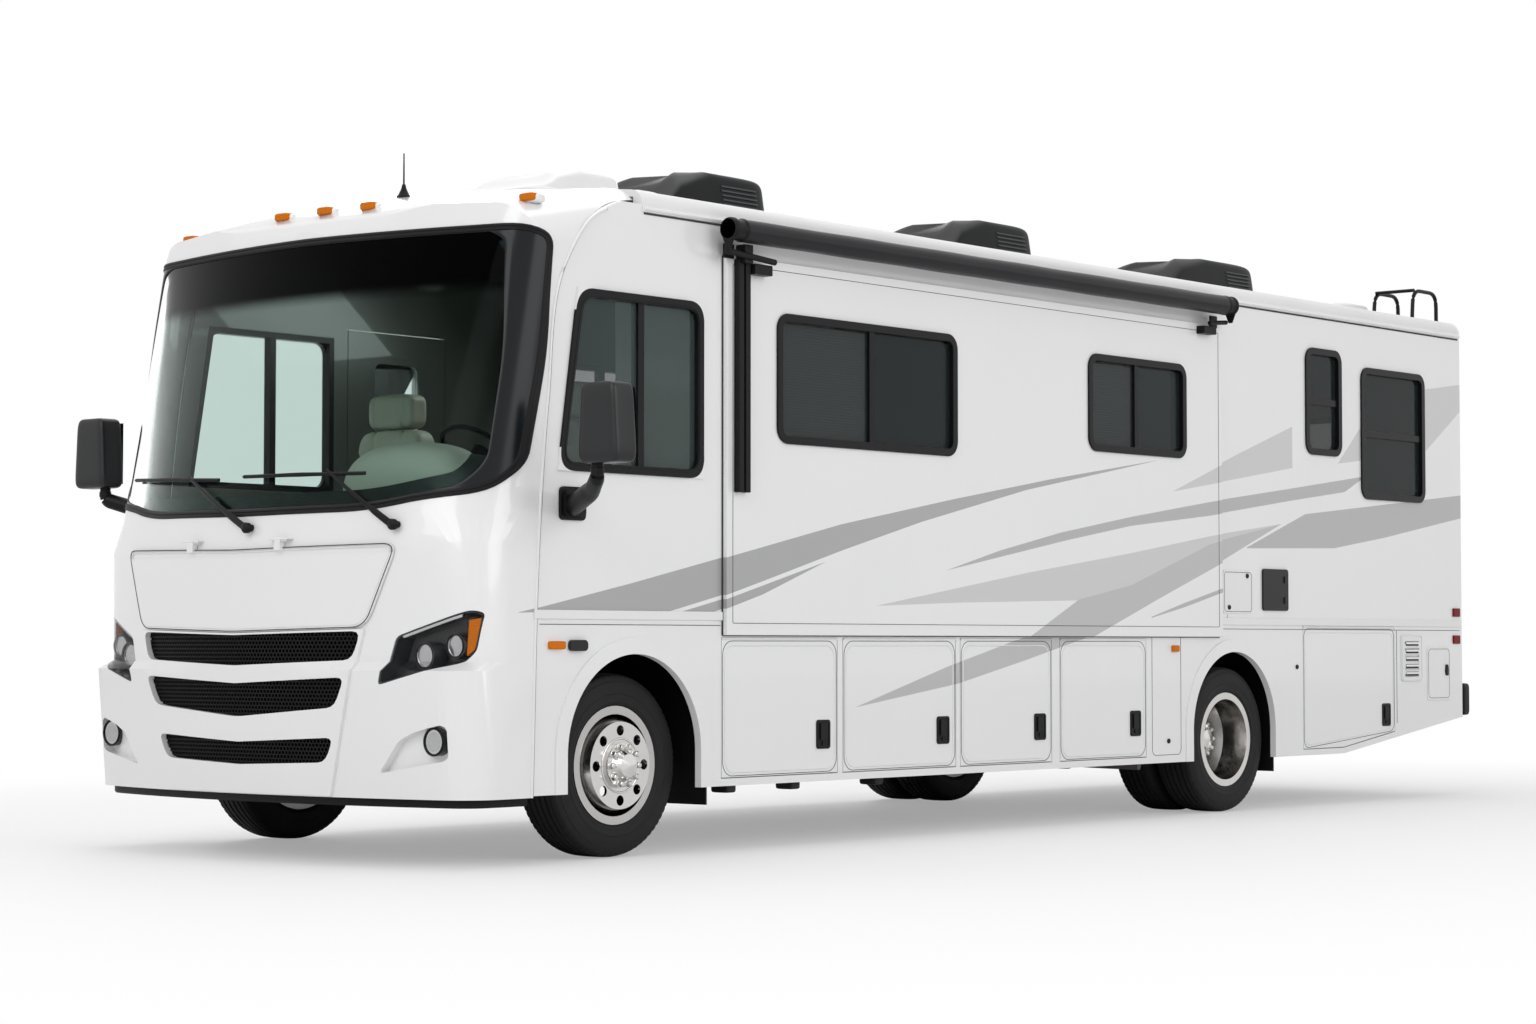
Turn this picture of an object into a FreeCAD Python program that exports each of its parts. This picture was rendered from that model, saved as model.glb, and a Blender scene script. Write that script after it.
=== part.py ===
import FreeCAD, Part
import math
import os

V = FreeCAD.Vector
X_AXIS, Y_AXIS, Z_AXIS = V(1, 0, 0), V(0, 1, 0), V(0, 0, 1)
SIDES = (1, -1)

# Every length is in millimetres.
# The vehicle faces -Y, its left side is +X, and the ground is z = 0.

# Body shell
half_width = 1295.0
nose_y = -4684.0
tail_y = 4684.0
rear_cap_front_y = 4535.0
rear_face_y = 4591.0
roof_seam_y = -3363.0
roof_peak_z = 3145.0
roof_crown_radius = 10700.0
roof_corner_radius = 75.0
belt_z = 1088.0
skirt_bottom_z = 308.0
skirt_rise_start_y = 3026.0
skirt_rear_bottom_z = 502.0
wall_thickness = 45.0
skirt_thickness = 30.0
roof_thickness = 60.0
cap_thickness = 30.0
rear_cap_thickness = 40.0
rear_corner_radius = 38.0
overrun = 40.0
gap = 5.0
seat = 0.3
running = 0.1

# Floor and step well
floor_top_z = 1045.0
floor_thickness = 65.0
floor_bottom_z = floor_top_z - floor_thickness
floor_front_y = -4440.0
engine_cover_half_width = 410.0
engine_cover_front_y = -4420.0
engine_cover_rear_y = -3420.0
engine_cover_top_z = 1235.0
engine_cover_wall = 30.0

# Nose: height, front line, front radius and corner radius of each level
bumper_radius, bumper_corner = 4700.0, 200.0
bonnet_radius, bonnet_corner = 3000.0, 250.0
cowl_radius, cowl_corner = 3000.0, 400.0
brow_radius, brow_corner = 5000.0, 200.0
corner_steps = 8
ease_share, ease_steps, ease_angle = 0.45, 3, 0.12
screen_ease, grille_ease, lamp_ease, hood_ease = 150.0, 45.0, 25.0, 70.0
nose_levels = (
    (300.0, -4612.0, bumper_radius, bumper_corner),
    (860.0, -4660.0, bumper_radius, bumper_corner),
    (900.0, -4664.0, bonnet_radius, bonnet_corner),
    (1415.0, -4668.0, bonnet_radius, bonnet_corner),
    (1560.0, -4642.0, cowl_radius, cowl_corner),
    (2846.0, -4262.0, brow_radius, brow_corner),
    (3200.0, -4156.0, brow_radius, brow_corner),
)
nose_store = {}
shoulder_radius = 230.0
shoulder_rise = 60.0
shoulder_drop = 90.0
shoulder_slope = 0.2
brow_points = ((-4248.0, 2890.0), (-4140.0, 2985.0), (-3940.0, 3062.0), (-3660.0, 3122.0))
cap_seam_points = (
    (-3363.0, 3023.0), (-3700.0, 2895.0), (-3868.0, 2671.0),
    (-3974.0, 2059.0), (-4023.0, 1525.0), (-4068.0, 300.0),
)

# Windscreen opening, half of its outline from the foot's middle to the head's middle
screen_outline = (
    (0.0, 1552.0), (750.0, 1562.0), (1160.0, 1640.0), (1255.0, 1760.0),
    (1262.0, 2300.0), (1215.0, 2790.0), (1120.0, 2846.0), (0.0, 2858.0),
)
gasket_width = 62.0
gasket_proud = 8.0
gasket_depth = 34.0
screen_inset = 4.0
screen_glass = 8.0
screen_back_y = -4040.0

# Grille openings, half outlines from the top's middle to the bottom's middle
grille_openings = (
    ((0.0, 1017.0), (744.0, 1034.0), (698.0, 906.0), (0.0, 880.0)),
    ((0.0, 800.0), (679.0, 831.0), (612.0, 697.0), (0.0, 649.0)),
    ((0.0, 536.0), (598.0, 564.0), (542.0, 453.0), (0.0, 434.0)),
)
grille_inset = 25.0
grille_plate = 12.0
valance_z0, valance_z1 = 250.0, 318.0

# Raised centre panel and its lid
panel_proud = 16.0
hood_lift = 5.3
hood_strip, hood_strip_drop = 38.0, 6.0
hood_outline = ((0.0, 1405.0), (921.0, 1422.0), (765.0, 1048.0), (0.0, 1030.0))
centre_outline = ((0.0, 1025.0), (758.0, 1043.0), (560.0, 305.0), (0.0, 305.0))
hood_opening_inset = 60.0
hood_axis_y = -4682.0
hood_axis_z = 1446.0
hinge_radius = 5.0
hood_hinge_x = 300.0
knuckle_length = 40.0
hood_web = 25.0
hood_fixed_web = 48.0
hood_lug_y = 28.0
hood_lug_z = 34.0

# Head lamps and fog lamps on the nose
lamp_outline = ((841.0, 795.0), (905.0, 1010.0), (1225.0, 1125.0), (1262.0, 1115.0), (1240.0, 940.0), (1200.0, 890.0))
lamp_depth = 110.0
lamp_wall = 10.0
lens_thickness = 5.0
bulb_places = ((1012.0, 925.0, 62.0), (1148.0, 968.0, 58.0))
bulb_inset = 30.0
dish_share = 0.82
fog_inset = 12.0
fog_x = 1105.0
fog_z = 552.0
fog_radius = 62.0
fog_rim = 8.0
fog_bowl_depth = 30.0
fog_length = 75.0
scoop_outline = ((815.0, 400.0), (935.0, 560.0), (1020.0, 600.0), (1160.0, 636.0), (1190.0, 620.0), (1190.0, 478.0), (1160.0, 462.0))
scoop_depth = 42.0
scoop_wall = 10.0

# Windows: near edge, far edge, sill, head and the middle bar's place on each
cab_window = (-3922.0, -2940.0, 1750.0, 2580.0)
cab_window_rake = 125.0
cab_window_bar_y = -3366.0
bed_window = (3258.0, 4069.0, 1875.0, 2697.0)
bed_window_bar_z = 2283.0
narrow_window = (2586.0, 3014.0, 2123.0, 2774.0)
narrow_window_bar_z = 2448.0
lounge_window = (-1500.0, -300.0, 1941.0, 2573.0)
lounge_window_bar_y = -900.0
galley_window = (300.0, 1300.0, 2030.0, 2568.0)
galley_window_bar_y = 800.0
slide_front_window = (-2434.0, -983.0, 1941.0, 2573.0)
slide_front_bar_y = -1687.0
slide_rear_window = (218.0, 1203.0, 2030.0, 2568.0)
slide_rear_bar_y = 703.0
rear_window_half_width = 600.0
rear_window_sill_z = 1900.0
rear_window_head_z = 2500.0
window_corner = 80.0
frame_lap = 8.0
frame_width = 40.0
frame_proud = 12.0
frame_inner_depth = 20.0
bar_width = 40.0
pane_thickness = 6.0

# Slide-out room on the left
room_y0, room_y1 = -2750.0, 1550.0
room_top_z = 2785.0
room_inner_x = 560.0
room_wall = 40.0
fascia_y0, fascia_y1 = -2798.0, 1598.0
fascia_z0, fascia_z1 = 1018.0, 2817.0
fascia_thickness = 25.0
room_gap = 10.0

# Awning over the slide-out room
roller_x = 1410.0
roller_z = 2926.0
roller_radius = 58.0
roller_y0, roller_y1 = -2892.0, 1567.0
bracket_plate = 12.0
bracket_height = 60.0
arm_y0, arm_y1 = -2750.0, -2653.0
arm_bottom_z = 1692.0
arm_depth = 40.0

# Running gear
wheel_radius = 422.0
tyre_width = 247.0
bead_radius = 248.3
tyre_shares = ((1.0, 0.42), (0.97, 0.8), (0.8, 1.0))
front_axle_y = -3420.0
rear_axle_y = 1760.0
front_wheel_x = 1071.5
rear_outer_x = 1121.5
rear_inner_x = 842.5
kingpin_x = 890.0
kingpin_radius = 18.0
kingpin_length = 204.0
axle_eye_radius = 38.0
axle_eye_height = 104.0
ear_thickness = 40.0
ear_reach = 50.0
knuckle_plate_x = 45.0
knuckle_plate = 25.0
spindle_radius = 30.0
spindle_end_x = 1235.0
beam_height = 90.0
beam_width = 60.0
beam_drop = 42.0
rim_radius = 248.0
rim_wall = 14.0
rim_flange_radius = 272.0
rim_half_width = 103.0
rim_flange = 10.0
dish_start = 50.0
dish_offset = 139.5
dish_radius = 200.0
disc_thickness = 14.0
hub_radius = 105.0
hub_inner = 60.0
hub_outer = 26.0
hub_cap_length = 50.0
hub_cap_share = 0.72
rear_hub_length = 95.0
hand_hole_radius = 24.0
hand_hole_circle = 160.0
hand_hole_count = 8
rim_sides = 48
tyre_sides = rim_sides
rear_tube_radius = 70.0
diff_radius = 200.0
rear_spindle_radius = 60.0
hub_cap_radius = 75.0

# Springs
spring_x = 395.0
spring_width = 60.0
spring_thickness = 45.0
front_spring_half = 720.0
rear_spring_half = 760.0
spring_eye_z = 640.0

# Wheel arches
arch_radius = 450.0
arch_centre_z = 481.0
arch_lip = 75.0
arch_lip_proud = 8.0
front_arch_y = -3405.0
liner_inner_x = 632.0
rear_liner_inner_x = 662.0
liner_sheet = 12.0
front_liner_y0, front_liner_y1 = -3990.0, -2860.0
rear_liner_y0, rear_liner_y1 = 1255.0, 2265.0
liner_top_z = 975.0
liner_bottom_z = 430.0
liner_notch_half, liner_notch_z = 110.0, 520.0
flap_thickness = 10.0
flap_bottom_z = 222.0
front_flap_x = 960.0
flap_outer_x = 1255.0

# Ladder frame
rail_x = 430.0
rail_width = 75.0
rail_web = 8.0
rail_bottom_z = 700.0
rail_top_z = 950.0
frame_front_y = -4450.0
frame_rear_y = 4500.0
crossmember_width = 60.0
crossmember_height = 180.0
crossmember_places = (-4445.0, -3445.0, -2400.0, -1250.0, -100.0, 1050.0, 2500.0, 3800.0, 4435.0)
mount_y0, mount_y1 = -3950.0, -3850.0
mount_z0, mount_z1 = 760.0, 840.0
outrigger_x = 631.0

# Engine, exhaust and fuel tank
engine_half_width = 320.0
engine_y0, engine_y1 = -4300.0, -3500.0
engine_z0, engine_z1 = 560.0, 1190.0
shaft_radius = 50.0
shaft_z = 560.0
exhaust_x = -500.0
exhaust_radius = 40.0
silencer_radius = 110.0
silencer_y0, silencer_y1 = 60.0, 900.0
exhaust_z = 540.0
hanger_thickness = 10.0
hanger_width = 40.0
tank_half_width = 330.0
tank_z0, tank_z1 = 560.0, 900.0

# Basement compartments: near edge and far edge of each door
door_z0, door_hinge_z = 348.0, 1002.0
left_doors = ((-2800.0, -1933.0), (-1884.0, -957.0), (-912.0, -94.0), (-12.0, 827.0))
right_doors = ((-2060.0, -1100.0), (-1050.0, -100.0), (-50.0, 900.0))
rear_door = (2547.0, 3661.0)
rear_door_hinge_z = 1080.0
rear_door_slope_y = 3026.0
rear_door_rear_z = 432.0
door_thickness = 28.0
door_drop = 5.0
basement_x0 = 640.0
basement_sheet = 18.0
basement_y1 = 1236.0
rear_bay_y0, rear_bay_y1 = 2500.0, 3705.0
handle_width = 110.0
handle_z0, handle_z1 = 465.0, 607.0
handle_depth = 5.0
handle_inset = 60.0

# Entry door on the right
entry_y0, entry_y1 = -2850.0, -2150.0
entry_z0, entry_z1 = 500.0, 2620.0
entry_window = (-2700.0, -2300.0, 1900.0, 2500.0)
step_depth = 300.0
step_tread = 30.0
step_wall = 20.0
entry_knuckle_places = (620.0, 1500.0, 2400.0)
step_mid_z = 780.0
step_inner_x = 660.0

# Cab
dash_y1 = -3990.0
dash_z0, dash_z1 = 1260.0, 1620.0
dash_clearance = 6.0
floor_clearance = 90.0
binnacle_x0, binnacle_x1 = 380.0, 880.0
binnacle_y0, binnacle_y1 = -4230.0, -3960.0
binnacle_top_z = 1800.0
column_radius = 30.0
column_length = 520.0
wheel_rim_radius = 205.0
wheel_rim_tube = 14.0
wheel_rim_sides = 36
steering_x = 600.0
steering_y = -3700.0
steering_z = 1850.0
steering_tilt = 38.0
steering_hub_radius = 60.0
steering_hub_thickness = 40.0
seat_x = 600.0
seat_half_width = 260.0
seat_y0, seat_y1 = -3640.0, -3180.0
seat_back_y1 = -3020.0
seat_cushion_z = 1430.0
seat_top_z = 1540.0
seat_back_top_z = 2060.0
headrest_half_width = 160.0
headrest_top_z = 2240.0
pedestal_half_width = 180.0

# Roof equipment
cooler_half_width = 345.0
cooler_spans = ((-2261.0, -1262.0), (165.0, 1189.0), (2440.0, 3700.0))
cooler_top_z = 3445.0
cooler_front_z = 3240.0
cooler_base = 70.0
cooler_ease = 60.0
cooler_top_share = 0.86
louvre_count, louvre_pitch, louvre_slot, louvre_depth, louvre_share = 5, 30.0, 14.0, 25.0, 0.38
vent_boxes = ((0.0, 620.0, -3330.0, -2720.0, 3290.0), (60.0, 520.0, -2620.0, -2330.0, 3265.0),
              (330.0, 760.0, 3950.0, 4400.0, 3215.0))
vent_slope_share = 0.55
antenna_x, antenna_y = 150.0, -3780.0
antenna_radius = 5.0
antenna_top_z = 3330.0

# Ladder on the rear
ladder_x0, ladder_x1 = 800.0, 1080.0
ladder_tube = 13.0
ladder_y = 4655.0
ladder_bottom_z = 800.0
ladder_top_z = 3300.0
ladder_roof_y = 4330.0
rung_pitch = 290.0

# Rear bumper and receiver
bumper_half_width = 1180.0
bumper_z0, bumper_z1 = 512.0, 724.0
receiver_half = 32.0
receiver_bore_half = 25.4
receiver_length = 250.0
receiver_z = 470.0
receiver_pin_radius = 8.2
receiver_pin_inset = 85.0
plate_pad_half_width, plate_pad_half_height, plate_pad_thickness = 160.0, 85.0, 10.0
plate_z = 1100.0
plate_hole_x, plate_hole_z = 88.9, 60.325
plate_hole_radius, plate_hole_depth = 3.2, 25.0

# Mirrors and wipers
mirror_x0, mirror_x1 = 1604.0, 1884.0
mirror_y0, mirror_y1 = -4150.0, -4020.0
mirror_z0, mirror_z1 = 1755.0, 2111.0
mirror_tube = 18.0
mirror_base_y0, mirror_base_y1 = -3911.0, -3747.0
mirror_base_z0, mirror_base_z1 = 1529.0, 1679.0
mirror_base_plate = 14.0
wiper_tube = 8.0
wiper_pivots = ((900.0, 1500.0), (90.0, 1500.0))
wiper_elbows = ((500.0, 1752.0), (-430.0, 1748.0))
wiper_blade_ends = (((-20.0, 1737.0), (707.0, 1732.0)), ((-1000.0, 1760.0), (-192.0, 1728.0)))
wiper_lift = 39.0
wiper_head_lift = 35.0
blade_lift = 14.0
blade_steps = 4

# Small lamps, mouldings and patio awning
marker_length = 110.0
marker_height = 45.0
marker_proud = 22.0
brow_markers = ((0.0, 3021.0), (296.0, 3018.0), (-296.0, 3018.0), (1180.0, 2990.0), (-1180.0, 2990.0))
side_marker_places = ((-3930.0, 971.0), (1117.0, 951.0))
tail_lamp_places = ((4434.0, 4524.0, 1153.0, 1208.0), (4434.0, 4524.0, 978.0, 1033.0))
tail_lamp_x0, tail_lamp_x1 = 1080.0, 1200.0
tail_lamp_z0, tail_lamp_z1 = 1000.0, 1350.0
moulding_proud = 10.0
hatches = (((1640.0, 1963.0, 1154.0, 1407.0), 5.0), ((2073.0, 2361.0, 1174.0, 1421.0), 12.0),
           ((4087.0, 4390.0, 617.0, 958.0), 5.0), ((-3849.0, -3738.0, 945.0, 995.0), 22.0))
louvre_span = (3745.0, 4006.0, 742.0, 1035.0)
hatch_corner = 20.0
vent_slot_count = 6
belt_height = 40.0
gutter_height = 30.0
gutter_z = 2965.0
case_y0, case_y1 = -2050.0, 2450.0
case_z0, case_z1 = 2790.0, 2930.0
case_depth = 110.0
case_arm_width = 60.0
case_arm_depth = 45.0
case_arm_bottom_z = 1130.0


def box(x0, x1, y0, y1, z0, z1):
    """Box between two corners given as ranges along X, Y and Z."""
    low = V(min(x0, x1), min(y0, y1), min(z0, z1))
    return Part.makeBox(abs(x1 - x0), abs(y1 - y0), abs(z1 - z0), low)


def rod(start, end, radius):
    """Round bar between two points."""
    way = end - start
    return Part.makeCylinder(radius, way.Length, start, way)


def stacked(ranges):
    """Boxes of which each later one stops just short of those before it."""
    solids = []
    for index, span in enumerate(ranges):
        solid = box(*span)
        for x0, x1, y0, y1, z0, z1 in ranges[:index]:
            solid = solid.cut(box(x0 - seat, x1 + seat, y0 - seat, y1 + seat, z0 - seat, z1 + seat))
        solids.append(solid)
    return solids


def join(shapes):
    """One shape from several that meet or overlap."""
    shapes = list(shapes)
    return shapes[0] if len(shapes) == 1 else shapes[0].multiFuse(shapes[1:]).removeSplitter()


def group(shapes):
    """Several separate solids in one node."""
    return Part.makeCompound([solid for shape in shapes for solid in shape.Solids])


def across(shape):
    """Mirror image on the other side of the vehicle."""
    return shape.mirror(V(0, 0, 0), X_AXIS)


def on_side(shape, side):
    """A left-hand shape, or its mirror image for the right-hand side."""
    return shape if side > 0 else across(shape)


def plate_yz(points, x0, x1):
    """Plate between two X places with an outline in Y and Z."""
    wire = Part.makePolygon([V(x0, y, z) for y, z in points] + [V(x0, points[0][0], points[0][1])])
    return Part.Face(wire).extrude(V(x1 - x0, 0, 0))


def plate_xz(points, y0, y1):
    """Plate between two Y places with an outline in X and Z."""
    wire = Part.makePolygon([V(x, y0, z) for x, z in points] + [V(points[0][0], y0, points[0][1])])
    return Part.Face(wire).extrude(V(0, y1 - y0, 0))


def rounded_yz(span, x0, x1, radius, grow=0.0):
    """Plate between two X places with a rounded rectangle in Y and Z."""
    y0, y1, z0, z1 = span
    solid = box(x0, x1, y0 - grow, y1 + grow, z0 - grow, z1 + grow)
    corners = [edge for edge in solid.Edges if abs(edge.tangentAt(edge.FirstParameter).x) > 1 - 1e-6]
    return solid.makeFillet(radius + grow, corners)


def mirrored_outline(half):
    """Full outline from a half outline that starts and ends on the centre plane."""
    return list(half) + [(-x, z) for x, z in reversed(half) if x > 0]


def eased(points, radius):
    """Outline whose corners are cut by short chords of an arc of one radius, where the runs leave room."""
    done = []
    count = len(points)
    for index, (x, z) in enumerate(points):
        before, after = V(*points[index - 1], 0), V(*points[(index + 1) % count], 0)
        corner = V(x, z, 0)
        into, out = corner - before, after - corner
        reach = min(radius, into.Length * ease_share, out.Length * ease_share)
        if into.getAngle(out) < ease_angle:
            done.append((x, z))
            continue
        first, last = corner - into.normalize() * reach, corner + out.normalize() * reach
        for step in range(ease_steps + 1):
            t = step / ease_steps
            p = first * (1 - t) ** 2 + corner * (2 * t * (1 - t)) + last * t ** 2
            done.append((p.x, p.y))
    return done


def shrunk_outline(half, amount):
    """Half outline moved inwards towards its own middle."""
    zs = [z for x, z in half]
    middle = (min(zs) + max(zs)) / 2
    widest = max(x for x, z in half)
    rise = (max(zs) - min(zs)) / 2
    return [(x * (widest - amount) / widest, middle + (z - middle) * (rise - amount) / rise) for x, z in half]


def plan_wire(z, front, front_radius, corner_radius, back_y, width):
    """Closed plan outline: sides, corner arcs and one long front arc."""
    centre_y = front + front_radius
    corner_x = width - corner_radius
    corner_y = centre_y - math.sqrt((front_radius - corner_radius) ** 2 - corner_x ** 2)
    reach = math.hypot(corner_x, corner_y - centre_y)
    join_x = corner_x / reach * front_radius
    join_y = centre_y + (corner_y - centre_y) / reach * front_radius
    full_angle = math.atan2(join_y - corner_y, join_x - corner_x)
    bend = []
    for step in range(corner_steps + 1):
        angle = full_angle * step / corner_steps
        bend.append(V(corner_x + corner_radius * math.cos(angle), corner_y + corner_radius * math.sin(angle), z))
    other = [V(-p.x, p.y, z) for p in bend]
    back_left, back_right = V(width, back_y, z), V(-width, back_y, z)
    edges = [Part.LineSegment(a, b).toShape() for a, b in zip([back_right] + other, other)]
    edges.append(Part.Arc(other[-1], V(0, front, z), bend[-1]).toShape())
    turned = bend[::-1] + [back_left, back_right]
    edges += [Part.LineSegment(a, b).toShape() for a, b in zip(turned, turned[1:])]
    return Part.Wire(edges)


def roof_spring_z():
    """Height at which the roof's corner arcs leave the upright sides."""
    centre_z = roof_peak_z - roof_crown_radius
    return centre_z + math.sqrt((roof_crown_radius - roof_corner_radius) ** 2
                                - (half_width - roof_corner_radius) ** 2)


def body_section(y0, y1, grow, base_z):
    """The body's cross-section with its crowned roof, carried along Y."""
    width, peak = half_width + grow, roof_peak_z + grow
    crown, corner = roof_crown_radius + grow, roof_corner_radius + grow
    if corner <= 0:
        corner = seat
    centre_z = peak - crown
    corner_x = width - corner
    corner_z = centre_z + math.sqrt((crown - corner) ** 2 - corner_x ** 2)
    reach = math.hypot(corner_x, corner_z - centre_z)
    join_x = corner_x / reach * crown
    join_z = centre_z + (corner_z - centre_z) / reach * crown
    half_angle = math.atan2(join_z - corner_z, join_x - corner_x) / 2
    mid_x = corner_x + corner * math.cos(half_angle)
    mid_z = corner_z + corner * math.sin(half_angle)
    edges = [
        Part.LineSegment(V(width, y0, base_z), V(width, y0, corner_z)).toShape(),
        Part.Arc(V(width, y0, corner_z), V(mid_x, y0, mid_z), V(join_x, y0, join_z)).toShape(),
        Part.Arc(V(join_x, y0, join_z), V(0, y0, peak), V(-join_x, y0, join_z)).toShape(),
        Part.Arc(V(-join_x, y0, join_z), V(-mid_x, y0, mid_z), V(-width, y0, corner_z)).toShape(),
        Part.LineSegment(V(-width, y0, corner_z), V(-width, y0, base_z)).toShape(),
        Part.LineSegment(V(-width, y0, base_z), V(width, y0, base_z)).toShape(),
    ]
    return Part.Face(Part.Wire(edges)).extrude(V(0, y1 - y0, 0))


def brow_prism(grow):
    """Side profile over the windscreen, carried across the vehicle."""
    far = half_width * 2
    a, b, c, d = [V(-far, y - grow, z + grow) for y, z in brow_points]
    e = V(-far, roof_seam_y, roof_peak_z + grow)
    front = nose_y * 2
    corners = [V(-far, 0, e.z), V(-far, 0, 0), V(-far, front, 0), V(-far, front, a.z)]
    edges = [Part.Arc(a, b, c).toShape(), Part.Arc(c, d, e).toShape(), Part.LineSegment(e, corners[0]).toShape()]
    edges += [Part.LineSegment(p, q).toShape() for p, q in zip(corners, corners[1:] + [a])]
    return Part.Face(Part.Wire(edges)).extrude(V(2 * far, 0, 0))


def nose_solid(grow):
    """The whole front end as one solid, its skin moved out by grow, made once for each distance."""
    if grow not in nose_store:
        nose_store[grow] = new_nose_solid(grow)
    return nose_store[grow]


def shoulder_prism(grow):
    """Rounded cross-section carried forwards and down, which takes the edges off the brow's two shoulders."""
    width, peak, r = half_width + grow, roof_peak_z + shoulder_rise + grow, shoulder_radius
    top_x, side_z = width - r, peak - shoulder_drop - r
    share = math.sqrt(0.5)
    centre_z = side_z
    half = [V(width, 0, 0), V(width, 0, side_z), V(top_x + r * share, 0, centre_z + r * share), V(top_x, 0, side_z + r), V(0, 0, peak)]
    left = [V(-point.x, 0, point.z) for point in half]
    edges = [Part.LineSegment(half[0], half[1]).toShape(), Part.Arc(half[1], half[2], half[3]).toShape(),
             Part.LineSegment(half[3], half[4]).toShape(), Part.LineSegment(left[4], left[3]).toShape(),
             Part.Arc(left[3], left[2], left[1]).toShape(), Part.LineSegment(left[1], left[0]).toShape(),
             Part.LineSegment(left[0], half[0]).toShape()]
    run = roof_seam_y + overrun * 2 - nose_y * 1.1
    face = Part.Face(Part.Wire(edges))
    face.translate(V(0, roof_seam_y + overrun * 2, 0))
    return face.extrude(V(0, -run, -run * shoulder_slope))


def new_nose_solid(grow):
    """One front end: lofted levels within the roof's section, the shoulders and the brow's profile."""
    back_y = roof_seam_y + overrun
    wires = [plan_wire(z, front - grow, front_radius + grow, corner + grow, back_y, half_width + grow)
             for z, front, front_radius, corner in nose_levels]
    shape = Part.makeLoft(wires, True, True)
    shape = shape.common(body_section(nose_y * 2, back_y, grow, 0))
    return shape.common(shoulder_prism(grow)).common(brow_prism(grow))


def nose_skin(outer, inner):
    """Layer of the front end between two offsets."""
    return nose_solid(outer).cut(nose_solid(inner))


def cap_region():
    """Everything in front of the seam between the front cap and the side walls."""
    far = half_width * 2
    p = [V(-far, y, z) for y, z in cap_seam_points]
    top = V(-far, p[0].y, p[0].z + overrun * 10)
    low = V(-far, p[-1].y, 0)
    front_low, front_top = V(-far, nose_y * 2, 0), V(-far, nose_y * 2, top.z)
    edges = [
        Part.LineSegment(top, p[0]).toShape(),
        Part.Arc(p[0], p[1], p[2]).toShape(),
        Part.Arc(p[2], p[3], p[4]).toShape(),
        Part.LineSegment(p[4], p[5]).toShape(),
        Part.LineSegment(p[5], low).toShape(),
        Part.LineSegment(low, front_low).toShape(),
        Part.LineSegment(front_low, front_top).toShape(),
        Part.LineSegment(front_top, top).toShape(),
    ]
    return Part.Face(Part.Wire(edges)).extrude(V(2 * far, 0, 0))


def inset_outline(points, amount):
    """Outline drawn in towards its own middle by about one distance."""
    xs, zs = [x for x, z in points], [z for x, z in points]
    mid_x, mid_z = (min(xs) + max(xs)) / 2, (min(zs) + max(zs)) / 2
    half_x, half_z = (max(xs) - min(xs)) / 2, (max(zs) - min(zs)) / 2
    return [(mid_x + (x - mid_x) * (1 - amount / half_x), mid_z + (z - mid_z) * (1 - amount / half_z)) for x, z in points]


def nose_prism(outline):
    """Cutter that runs through the front end along Y."""
    return plate_xz(outline, nose_y - overrun * 2, roof_seam_y)


def front_opening(outline):
    """Cutter for the nose only, deep enough for lamps and grilles."""
    return plate_xz(outline, nose_y - overrun * 2, nose_y + overrun * 14)


def arch_cutter(y, radius, x0, x1):
    """Round-topped wheel opening, open below."""
    top = Part.makeCylinder(radius, abs(x1 - x0), V(min(x0, x1), y, arch_centre_z), X_AXIS)
    return join([top, box(x0, x1, y - radius, y + radius, 0, arch_centre_z)])


def ring_at(x0, x1, y, z, inner, outer):
    """Flat ring round an axis along X."""
    start = V(min(x0, x1), y, z)
    return Part.makeCylinder(outer, abs(x1 - x0), start, X_AXIS).cut(
        Part.makeCylinder(inner, abs(x1 - x0), start, X_AXIS))


def revolved(points, x, y, z):
    """Solid of revolution about an axis along X from points of offset and radius."""
    wire = Part.makePolygon([V(x + a, y, z + r) for a, r in points] + [V(x + points[0][0], y, z + points[0][1])])
    return Part.Face(wire).revolve(V(x, y, z), X_AXIS, 360)


def knuckles(place, way, webs):
    """A moving barrel on a hinge axis and the two fixed barrels beside it, each with its own web."""
    half = knuckle_length / 2
    offset = way * (knuckle_length + seat)
    pieces = []
    for centre, web_way in ((place, webs[0]), (place + offset, webs[1]), (place - offset, webs[1])):
        start = centre - way * half
        barrel = rod(start, start + way * knuckle_length, hinge_radius)
        if web_way is not None:
            side = way.cross(web_way).normalize() * (hinge_radius / 2)
            corners = [start - side, start + side, start + side + web_way, start - side + web_way]
            web = Part.Face(Part.makePolygon(corners + corners[:1])).extrude(way * knuckle_length)
            barrel = barrel.fuse(web)
        pieces.append(barrel)
    return pieces[0], pieces[1:]


def faceted_ring(points, sides, x, y, z):
    """Solid of flat facets round an axis along X, from a closed profile of offset and radius."""
    rings = []
    for offset, radius in points:
        turn = [2 * math.pi * (step + 0.5) / sides for step in range(sides)]
        rings.append([V(x + offset, y + radius * math.sin(a), z - radius * math.cos(a)) for a in turn])
    faces = []
    for low, high in zip(rings, rings[1:] + rings[:1]):
        for step in range(sides):
            nxt = (step + 1) % sides
            corners = []
            for corner in (low[step], low[nxt], high[nxt], high[step]):
                if all((corner - other).Length > seat / 3 for other in corners):
                    corners.append(corner)
            if len(corners) > 2:
                faces.append(Part.Face(Part.makePolygon(corners + corners[:1])))
    solid = Part.Solid(Part.Shell(faces))
    return solid if solid.Volume > 0 else solid.reversed()


def skirt_outline():
    """Side outline of the skirt from the ground up to the belt line."""
    return [(cap_seam_points[-1][0] - overrun, skirt_bottom_z), (skirt_rise_start_y, skirt_bottom_z),
            (rear_cap_front_y, skirt_rear_bottom_z), (rear_cap_front_y, belt_z),
            (cap_seam_points[-1][0] - overrun, belt_z)]


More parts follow.
